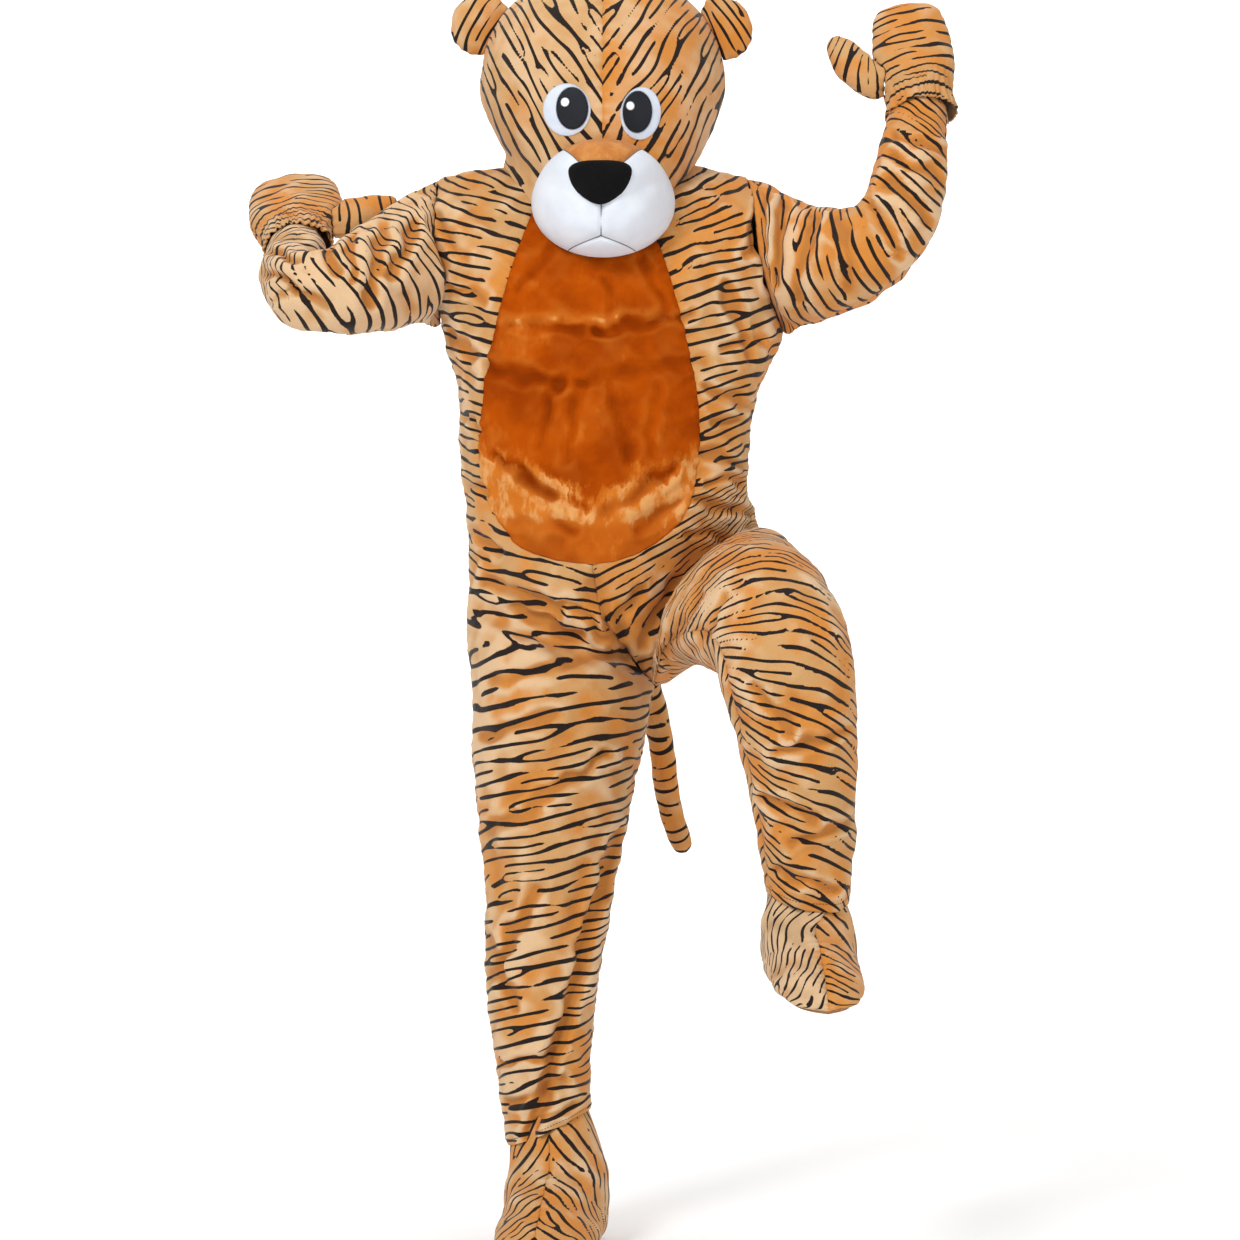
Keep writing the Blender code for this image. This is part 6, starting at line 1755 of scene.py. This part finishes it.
def head_half(side):
    rows = np.concatenate([[0.0], np.linspace(0.06, HEAD_ROWS - 1.0, 116)])
    angles = math.pi * edge_steps(128)
    spread = (0, HEAD_ROWS - 1), (0, math.pi)
    points, normals = surface_frame(head_surface(side), rows[:, None], angles[None], *spread, side)
    points[0], normals[0] = points[0].mean(axis=0), (0.0, 0.0, 1.0)
    normals[:, [0, -1], 0] = 0.0
    normals = unit(normals)
    across, down = distances(points, 0.0)
    settle = ease((HEAD_ROWS - 1.0 - rows) / 0.8)[:, None]
    height = 0.0007 * wander(points, 0.06, 111) + 0.0004 * wander(points, 0.025, 112)
    height = height * settle + seam_height(across, down) + seam_height(across[:, -1:] - across, down)
    height[0] = -SEAM_DIP
    outer = points + height[..., None] * normals
    inner = outer - HEAD_WALL * normals
    inner[-1] = outer[-1] + RIM_WIDTH * (neck_rim(side, angles, RIM_NEXT_ROW) - outer[-1])
    out_x = np.abs(points[..., 0] - HEAD_X)
    out_x = out_x * (1.0 + 0.3 * (out_x / 0.17) ** 2)
    stripes = stripe_values(out_x, -points[..., 2], 140 + side, spacing=0.0172, slant=-HEAD_SLANT, gaps=0.62)
    name = f"head_{HAND[side]}"
    # Each head half's plush is its own copy, paler on the right with painted key light and warmer on the
    # left.
    looks = (f"plush_{name}", "knit_backing")
    padded("cloth", name, outer, inner, looks, stripes, (across, down), height)


for side in HAND:
    head_half(side)
print("the head is sewn")

# %% [markdown]
# ## Muzzle
#
# The muzzle is a dome of white plush in three pieces round an orange bridge. Their seams all meet under
# the nose. Each seam is drawn tight with thread, so the stuffing bulges up on both sides of it.

# %% Laying pieces on the head
def skin_of(grids):
    """Fine copy of smooth surfaces to lay pieces on, each given as a grid of points."""
    points, faces = [], []
    for grid in grids:
        faces += grid_cells(*grid.shape[:2], len(points)).tolist()
        points += grid.reshape(-1, 3).tolist()
    return BVHTree.FromPolygons(points, faces)


def drop(skin, starts, direction):
    """Points where lines from starts along a direction first meet the skin; far away where they miss it."""
    flat = starts.reshape(-1, 3)
    hits = [skin.ray_cast(Vector(p), Vector(direction))[0] for p in flat]
    return np.array([tuple(hit or (9.0, 9.0, 9.0)) for hit in hits]).reshape(starts.shape)


def front_depth(skins, seen):
    """Y of the foremost skin at points x, z seen from the front."""
    starts = np.stack([seen[..., 0], np.full_like(seen[..., 0], -1.0), seen[..., 1]], axis=-1)
    return np.min([drop(skin, starts, (0, 1, 0))[..., 1] for skin in skins], axis=0)


def at_rim(degrees):
    """Points x, z of the muzzle's rim at angles from its centre."""
    angle = np.radians(degrees)
    x, z = MUZZLE_X + MUZZLE_HALF_X * np.cos(angle), MUZZLE_Z + MUZZLE_HALF_Z * np.sin(angle)
    return np.stack([x, z], axis=-1)


skin_rows, skin_angles = np.linspace(0.0, HEAD_ROWS - 1, 110), np.linspace(0.0, math.pi, 110)
HEAD_SKIN = skin_of([head_surface(side)(skin_rows[:, None], skin_angles[None]) for side in HAND])
under_rows, under_angles = np.linspace(4.0, UNDER_RING, 90), np.linspace(-1.4, 1.4, 130)
UNDER_SKIN = skin_of([under_surface(under_rows[:, None], under_angles[None])])
MUZZLE_SEAMS = [(APEX, at_rim(angle)) for angle in BRIDGE_ANGLES]
MUZZLE_SEAMS += [(APEX, MOUTH), *((MOUTH, at_rim(angle)) for angle in MOUTH_ANGLES)]


# %% Muzzle form
MUZZLE_LEAST = 0.0025  # the muzzle is nowhere thinner than this


def at_depth(seen, y):
    """Points at depth y that are seen at x, z."""
    return np.stack([seen[..., 0], y, seen[..., 1]], axis=-1)


def muzzle_back(seen):
    """Y of the muzzle's back, on the head and on the head's front carried on below it."""
    return front_depth((HEAD_SKIN, UNDER_SKIN), seen) - MUZZLE_SEAT


def muzzle_dome(seen, back):
    """Y of the muzzle's rounded front, before its seams are drawn in."""
    reach = np.hypot((seen[..., 0] - MUZZLE_X) / MUZZLE_HALF_X, (seen[..., 1] - MUZZLE_Z) / MUZZLE_HALF_Z)
    dome = (1.0 - np.clip(reach, 0.0, 1.0) ** 2.4) ** 0.55
    return back - MUZZLE_EDGE - MUZZLE_DEPTH * dome


def muzzle_front(seen, back):
    """Y of the muzzle's front with its seams drawn in."""
    return muzzle_dome(seen, back) + seam_draw(seen)


def seam_draw(seen):
    """How far the thread of the nearest seam pulls the muzzle in."""
    away = np.min([from_segment(seen, start, end) for start, end in MUZZLE_SEAMS], axis=0)
    return 0.0040 * np.exp(-((away / 0.0035) ** 2)) + 0.0022 * np.exp(-((away / 0.011) ** 2))


def muzzle_piece(name, seen, plush, gathers=0.0):
    """Padded piece of the muzzle from its grid of points x, z."""
    back = muzzle_back(seen)
    ruffle = 0.0006 * wander(seen, 0.035, 131)
    if gathers:
        fade = ease(1.0 - np.linspace(0.0, 1.0, len(seen))[:, None] / 0.8)
        side = np.linspace(-1.0, 1.0, seen.shape[1])
        ruffle = ruffle + gathers * np.sin(34.0 * side + 2.0 * np.sin(5.0 * side)) * fade
    front = np.minimum(muzzle_front(seen, back) + ruffle, back - MUZZLE_LEAST)
    padded("pad", name, at_depth(seen, front), at_depth(seen, back), (plush, plush))


def fan(edge, rings):
    """Grid of points x, z from the apex out to an edge."""
    return APEX + (edge - APEX) * rings[:, None, None]


rings = 1.0 - (1.0 - np.linspace(0.0, 1.0, 40)) ** 1.35
bridge_right, bridge_left = BRIDGE_ANGLES
mouth_right, mouth_left = MOUTH_ANGLES
for side, start, end in ((RIGHT, bridge_right, 360 + mouth_right), (LEFT, bridge_left, mouth_left)):
    arc = at_rim(np.linspace(start, end, 64))
    lip = arc[-1] + (MOUTH - arc[-1]) * np.linspace(0.0, 1.0, 22)[1:, None]
    muzzle_piece(f"muzzle_{HAND[side]}", fan(np.concatenate([arc, lip]), rings), "plush_white")
bridge = fan(at_rim(np.linspace(bridge_right, bridge_left, 61)), rings)
muzzle_piece("nose_bridge", bridge, "plush_bridge", gathers=0.0006)

steps = np.linspace(-1.0, 1.0, 61)[:, None]
corners = at_rim(np.array(MOUTH_ANGLES)) - MOUTH
upper = MOUTH + np.where(steps < 0, corners[0] * -steps, corners[1] * steps)
lower = at_rim(np.linspace(mouth_right, mouth_left, 61))
chin = upper + (lower - upper) * np.linspace(0.0, 1.0, 22)[:, None, None]
muzzle_piece("muzzle_chin", chin, "plush_white")
print("the muzzle is sewn")


# %% Nose and eyes
def rounds(outline, rings):
    """Grid of points x, z from a closed outline's centre out to the outline."""
    centre = outline.mean(axis=0)
    grid = centre + (outline - centre) * np.asarray(rings)[:, None, None]
    return np.concatenate([grid, grid[:, :1]], axis=1)


def laid_on(name, depth, seen, base, thickness, plush):
    """Piece on a front surface: base is its clearance and thickness its pad, row by row.

    Returns its outer edge and the directions that the edge faces."""
    step = 0.0005
    y = depth(seen)
    slope_x, slope_z = (
        (depth(seen + move) - depth(seen - move)) / (2 * step) for move in step * np.eye(2)
    )
    normals = unit(np.stack([slope_x, -np.ones_like(y), slope_z], axis=-1))
    under = at_depth(seen, y) + base * normals
    front = under + thickness * normals
    padded("laid", name, front, under, (plush, plush), ring=True)
    return front[-1, :-1] + 0.0001 * normals[-1, :-1], normals[-1, :-1]


def nose_depth(seen):
    return muzzle_dome(seen, muzzle_back(seen))


def eye_depth(seen):
    return front_depth((HEAD_SKIN,), seen)


nose_points = np.stack([NOSE_OUTLINE["x"], NOSE_OUTLINE["z"]], axis=-1)
looped = np.concatenate([nose_points[-1:], nose_points, nose_points[:2]])
nose_u = np.linspace(0, len(nose_points), 84, endpoint=False) + 1.0
nose_line = through_rows(lambda k: looped[k], len(looped), nose_u) + np.array(NOSE_CENTRE)
nose_rings = np.sin(np.linspace(0.0, 1.0, 18) * math.pi / 2)[:, None]
nose_seen = rounds(nose_line, nose_rings[:, 0])
bumps = 0.0005 * wander(nose_seen, 0.014, 151) * (1 - nose_rings**4)
nose_pad = 0.0012 + NOSE_PAD * (1.0 - nose_rings**5) ** 0.7 + bumps
laid_on("nose", nose_depth, nose_seen, NOSE_SEAT, nose_pad[..., None], "plush_nose")

EYE_EDGES = []
for name, eye in EYES.items():
    kind = name.rsplit("_", 1)[0]
    tilt = math.radians(eye["tilt"])
    around = np.linspace(0.0, 2 * math.pi, 72, endpoint=False)
    x, z = eye["half"][0] * np.cos(around), eye["half"][1] * np.sin(around)
    turned = x * math.cos(tilt) - z * math.sin(tilt), x * math.sin(tilt) + z * math.cos(tilt)
    eye_rings = np.array([0.0, 0.25, 0.5, 0.7, 0.85, 0.93, 0.975, 1.0])
    eye_seen = rounds(np.stack(turned, axis=-1) + np.array(eye["centre"]), eye_rings)
    layer, plush = EYE_LAYERS[kind]
    base = LIFT + layer * (FELT + LIFT)
    rounded = FELT * np.sqrt(1.0 - 0.75 * np.clip((eye_rings - 0.9) / 0.1, 0.0, 1.0) ** 2)
    edge = laid_on(name, eye_depth, eye_seen, base, rounded[:, None, None], plush)
    EYE_EDGES.append((name, *edge))
print("face pieces are laid on the head")

# %% [markdown]
# ## Ears and tail
#
# The ears and the tail are stuffed. An ear is two pieces sewn together round the edge, and the tail is
# one long tube. Their bases are dropped on the surface that they are sewn to.

# %% Stuffed pieces
def stuffed(name, skin, tube_rows, rows, columns, inward, seed, ridge=False, **stripes):
    """Filled tube whose base lies on a skin; a ridge is a seam along both its edges."""
    angles = np.linspace(0.0, 2 * math.pi, columns + 1)
    grid = tube_surface(tube_rows)(rows[:, None], angles[None])
    grid[:, -1] = grid[:, 0]
    inward = np.array(inward)
    base = drop(skin, grid[0] - 0.12 * inward, inward) - SEAT * inward
    fade = 1.0 - ease(rows / SEAT_FADE)[:, None, None]
    grid = grid + (base - grid[0]) * fade
    normals = close_tip(grid)
    across, down = distances(grid)
    height = 0.0008 * wander(grid, 0.03, 161)
    if ridge:
        half_way = np.abs(across - across[:, -1:] / 2)
        height += seam_height(np.minimum(from_edges(across), half_way), down)
    height[-1] = 0.0
    finished = grid + height[..., None] * normals
    middle = finished[0].mean(axis=0)
    closing = [middle + (finished[:1] - middle) * share for share in (0.0, 0.5)]
    whole = np.concatenate([*closing, finished])
    fields = stripe_values(across, down, seed, **stripes), across, down, height
    stripes, *uv, fold = (np.concatenate([part[:1], part[:1], part]) for part in fields)
    mesh = mesh_of("stuffed_" + name, whole, grid_cells(*whole.shape[:2]), uv, stripes, fold)
    cleaned(mesh, closed=True)
    stand(put_in_scene(mesh.name, mesh, "plush_body"), name)


for side, form in EARS.items():
    axis = unit(np.array(form["axis"]))
    centres = np.array(form["base"]) + EAR["along"][:, None] * axis
    ear_tube = carried_rows(centres, EAR, np.cross(axis, (0, -1, 0)))
    stuffed(
        f"ear_{HAND[side]}", HEAD_SKIN, ear_tube, two_stretches(4.0, 5.0, 26, 16), 72, -axis, 170 + side,
        ridge=True, spacing=0.0160, slant=4 * side, ink=0.85,
    )

back_rows, back_shares = np.linspace(12.0, TORSO_ROWS + 1.0, 70), np.linspace(0.0, 1.0, 36)
BACK_SKIN = skin_of([suit_frame(side, BACK, back_rows[:, None], back_shares[None])[0] for side in HAND])
tail_tube = carried_rows(centres_of(TAIL), TAIL, (1, 0, 0))
tail_in = unit(tail_tube[0, :3] - tail_tube[1, :3])
stuffed(
    "tail", BACK_SKIN, tail_tube, two_stretches(7.0, 8.0, 96, 20), 40, tail_in, 181,
    spacing=0.020, ink=0.95,
)
print("ears and tail are stuffed")

# %% [markdown]
# ## Zip
#
# The zip closes the back from the neck down. Its teeth and all stitches are made by one Geometry Nodes
# tree, which walks along a curve and places a small stitch at even steps.

# %% Zip tape
def zip_tape():
    """The tape with its raised chain; returns the chain's middle line and the way it faces."""
    rows = ROWS[: int(np.searchsorted(ROWS, ZIP_END_ROW)) + 1]
    shares = {side: zip_share(side, rows)[:, None] * np.linspace(0.0, 1.0, 6) for side in HAND}
    points, normals = across_middle(BACK, rows, shares)
    raised = ease((rows - ZIP_CHAIN_ROW) / 0.3) * ease((ZIP_END_ROW - 0.3 - rows) / 0.3)
    bead = np.exp(-((np.linspace(-1.0, 1.0, points.shape[1]) / 0.35) ** 2))
    points[..., 1] += ZIP_CHAIN * 0.6 * raised[:, None] * bead * normals[..., 1]
    looks = ("zip_tape", "zip_tape")
    sheet("tape_back_zip", "back_zip", points, normals, looks, wall=0.0015)
    middle = points.shape[1] // 2
    keep = (rows > ZIP_CHAIN_ROW + 0.25) & (rows < ZIP_END_ROW - 0.4)
    return points[keep, middle] + 0.0004 * normals[keep, middle], normals[keep, middle]


ZIP_LINE, ZIP_FACING = zip_tape()
for name in ("zip_slider", "zip_pull_tab"):
    metal = bpy.data.objects[name].data
    metal.materials.clear()
    metal.materials.append(MATERIALS["nickel"])
print("the zip is sewn in")

# %% [markdown]
# ## Stitches
#
# The tree turns a line of edges into a curve, resamples it at an even spacing, puts a rounded stitch on
# each point turned along the curve, and makes them real. A seam's stitches lie along it and an edging's
# lie across it.

# %% Stitch tree
def stitch_tree():
    """Geometry Nodes tree that lays stitches along a line of edges."""
    tree = bpy.data.node_groups.new("stitches", "GeometryNodeTree")
    face = tree.interface
    face.new_socket("Geometry", in_out="INPUT", socket_type="NodeSocketGeometry")
    for label, value in (("Spacing", 0.004), ("Length", 0.003), ("Radius", 0.0005), ("Turn", 0.0)):
        face.new_socket(label, in_out="INPUT", socket_type="NodeSocketFloat").default_value = value
    face.new_socket("Seed", in_out="INPUT", socket_type="NodeSocketInt")
    face.new_socket("Material", in_out="INPUT", socket_type="NodeSocketMaterial")
    face.new_socket("Geometry", in_out="OUTPUT", socket_type="NodeSocketGeometry")

    def add(kind, inputs=None, **settings):
        node = tree.nodes.new(kind)
        for key, value in settings.items():
            setattr(node, key, value)
        for key, value in (inputs or {}).items():
            node.inputs[key].default_value = value
        return node

    given, result = add("NodeGroupInput"), add("NodeGroupOutput")
    curve, points = add("GeometryNodeMeshToCurve"), add("GeometryNodeResampleCurve", mode="LENGTH")
    tangent, along = add("GeometryNodeInputTangent"), add("FunctionNodeAlignRotationToVector", axis="X")
    facing = add("GeometryNodeInputNamedAttribute", {"Name": "facing"}, data_type="FLOAT_VECTOR")
    upright = add("FunctionNodeAlignRotationToVector", axis="Z", pivot_axis="X")
    least, most = (-0.05, -0.05, -0.12), (0.05, 0.05, 0.12)
    wobble = add("FunctionNodeRandomValue", {0: least, 1: most}, data_type="FLOAT_VECTOR")
    given_turn, summed = add("ShaderNodeCombineXYZ"), add("ShaderNodeVectorMath")
    euler = add("FunctionNodeEulerToRotation")
    turn = add("FunctionNodeRotateRotation", rotation_space="LOCAL")
    ball = add("GeometryNodeMeshIcoSphere", {"Radius": 1.0, "Subdivisions": 2})
    half, size = add("ShaderNodeMath", {1: 0.5}, operation="MULTIPLY"), add("ShaderNodeCombineXYZ")
    stitch, placed = add("GeometryNodeTransform"), add("GeometryNodeInstanceOnPoints")
    real, smooth = add("GeometryNodeRealizeInstances"), add("GeometryNodeSetShadeSmooth")
    paint = add("GeometryNodeSetMaterial")
    for source, out, node, into in (
        (given, "Geometry", curve, 0),
        (curve, 0, points, "Curve"),
        (given, "Spacing", points, "Length"),
        (tangent, 0, along, "Vector"),
        (along, 0, upright, "Rotation"),
        (facing, 0, upright, "Vector"),
        (given, "Seed", wobble, "Seed"),
        (given, "Turn", given_turn, "Z"),
        (given_turn, 0, summed, 0),
        (wobble, 0, summed, 1),
        (summed, 0, euler, 0),
        (upright, 0, turn, "Rotation"),
        (euler, 0, turn, "Rotate By"),
        (given, "Length", half, 0),
        (half, 0, size, "X"),
        (given, "Radius", size, "Y"),
        (given, "Radius", size, "Z"),
        (ball, 0, stitch, "Geometry"),
        (size, 0, stitch, "Scale"),
        (points, 0, placed, "Points"),
        (stitch, 0, placed, "Instance"),
        (turn, 0, placed, "Rotation"),
        (placed, 0, real, 0),
        (real, 0, smooth, 0),
        (smooth, 0, paint, "Geometry"),
        (given, "Material", paint, "Material"),
        (paint, 0, result, 0),
    ):
        tree.links.new(source.outputs[out], node.inputs[into])
    return tree


STITCHES = stitch_tree()


def stitched(name, lines, facings, thread, slot, spacing, length, radius, turn=0.0):
    """Row of stitches along each line of points; facings say which way is out."""
    mesh = bpy.data.meshes.new(name)
    edges, start = [], 0
    for line in lines:
        edges += [(start + i, start + i + 1) for i in range(len(line) - 1)]
        start += len(line)
    mesh.from_pydata(np.concatenate(lines).tolist(), edges, [])
    keep_on_points(mesh, "facing", "FLOAT_VECTOR", np.concatenate(facings))
    obj = linked(name, mesh)
    repeat = obj.modifiers.new("stitches", "NODES")
    repeat.node_group = STITCHES
    inputs = {item.name: item.identifier for item in STITCHES.interface.items_tree if item.in_out == "INPUT"}
    values = {"Spacing": spacing, "Length": length, "Radius": radius, "Turn": turn, "Seed": 7}
    for label, value in {**values, "Material": MATERIALS[thread]}.items():
        repeat[inputs[label]] = value
    made_plain(obj)
    if not obj.data.materials:
        obj.data.materials.append(MATERIALS[thread])
    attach(obj, "costume")
    print(name, "has", len(obj.data.polygons), "faces")


# %% Stitches on the zip, face and hems
ACROSS = math.pi / 2
stitched("zip_teeth", [ZIP_LINE], [ZIP_FACING], "zip_teeth", "back_zip", 0.0026, 0.0048, 0.0008, ACROSS)
EDGING = {"eye_white": "thread_white", "pupil": "thread_dark", "highlight": "felt_spark"}
for name, *rings in EYE_EDGES:
    lines, facings = ([np.concatenate([ring, ring[:1]])] for ring in rings)
    thread = EDGING[name.rsplit("_", 1)[0]]
    stitched("edging_" + name, lines, facings, thread, name, 0.0010, 0.0026, 0.00042, ACROSS)


HEM_RAISE = 0.012 / 0.07  # rows, from the hem's edge to its stitches


def seam_threads():
    """Lines and facings of the grey thread along the muzzle's seams."""
    lines, facings = [], []
    for start, end in MUZZLE_SEAMS:
        count = int(np.linalg.norm(end - start) / 0.002)
        seen = start + (end - start) * np.linspace(0.0, 0.985, count)[:, None]
        back = muzzle_back(seen)
        y = np.minimum(muzzle_front(seen, back), back - MUZZLE_LEAST)
        lines.append(at_depth(seen, y) - np.array([0.0, 0.0002, 0.0]))
        facings.append(np.broadcast_to((0.0, -1.0, 0.0), lines[-1].shape))
    return lines, facings


def hem_line(side):
    """Line of stitches round an ankle hem, a little above its edge, and the directions it faces."""
    u, shares = SUIT_ROWS - 1.0 - HEM_RAISE, np.linspace(0.0, 1.0, 60)
    rings = []
    for face in FACE:
        points, normals = suit_frame(side, face, np.full_like(shares, u), shares)
        height = crease_height(points, normals) + 0.0002
        rings.append((points + height[:, None] * normals, normals))
    return (np.concatenate([front, back[-2::-1]]) for front, back in zip(*rings))


stitched("muzzle_threads", *seam_threads(), "thread_grey", "muzzle_chin", 0.0034, 0.0040, 0.0008)
for side, hand in HAND.items():
    line, facing = hem_line(side)
    slot = f"suit_front_{hand}"
    stitched(f"hem_stitches_{hand}", [line], [facing], "thread_dark", slot, 0.0046, 0.0030, 0.00045)
print("seams are stitched")
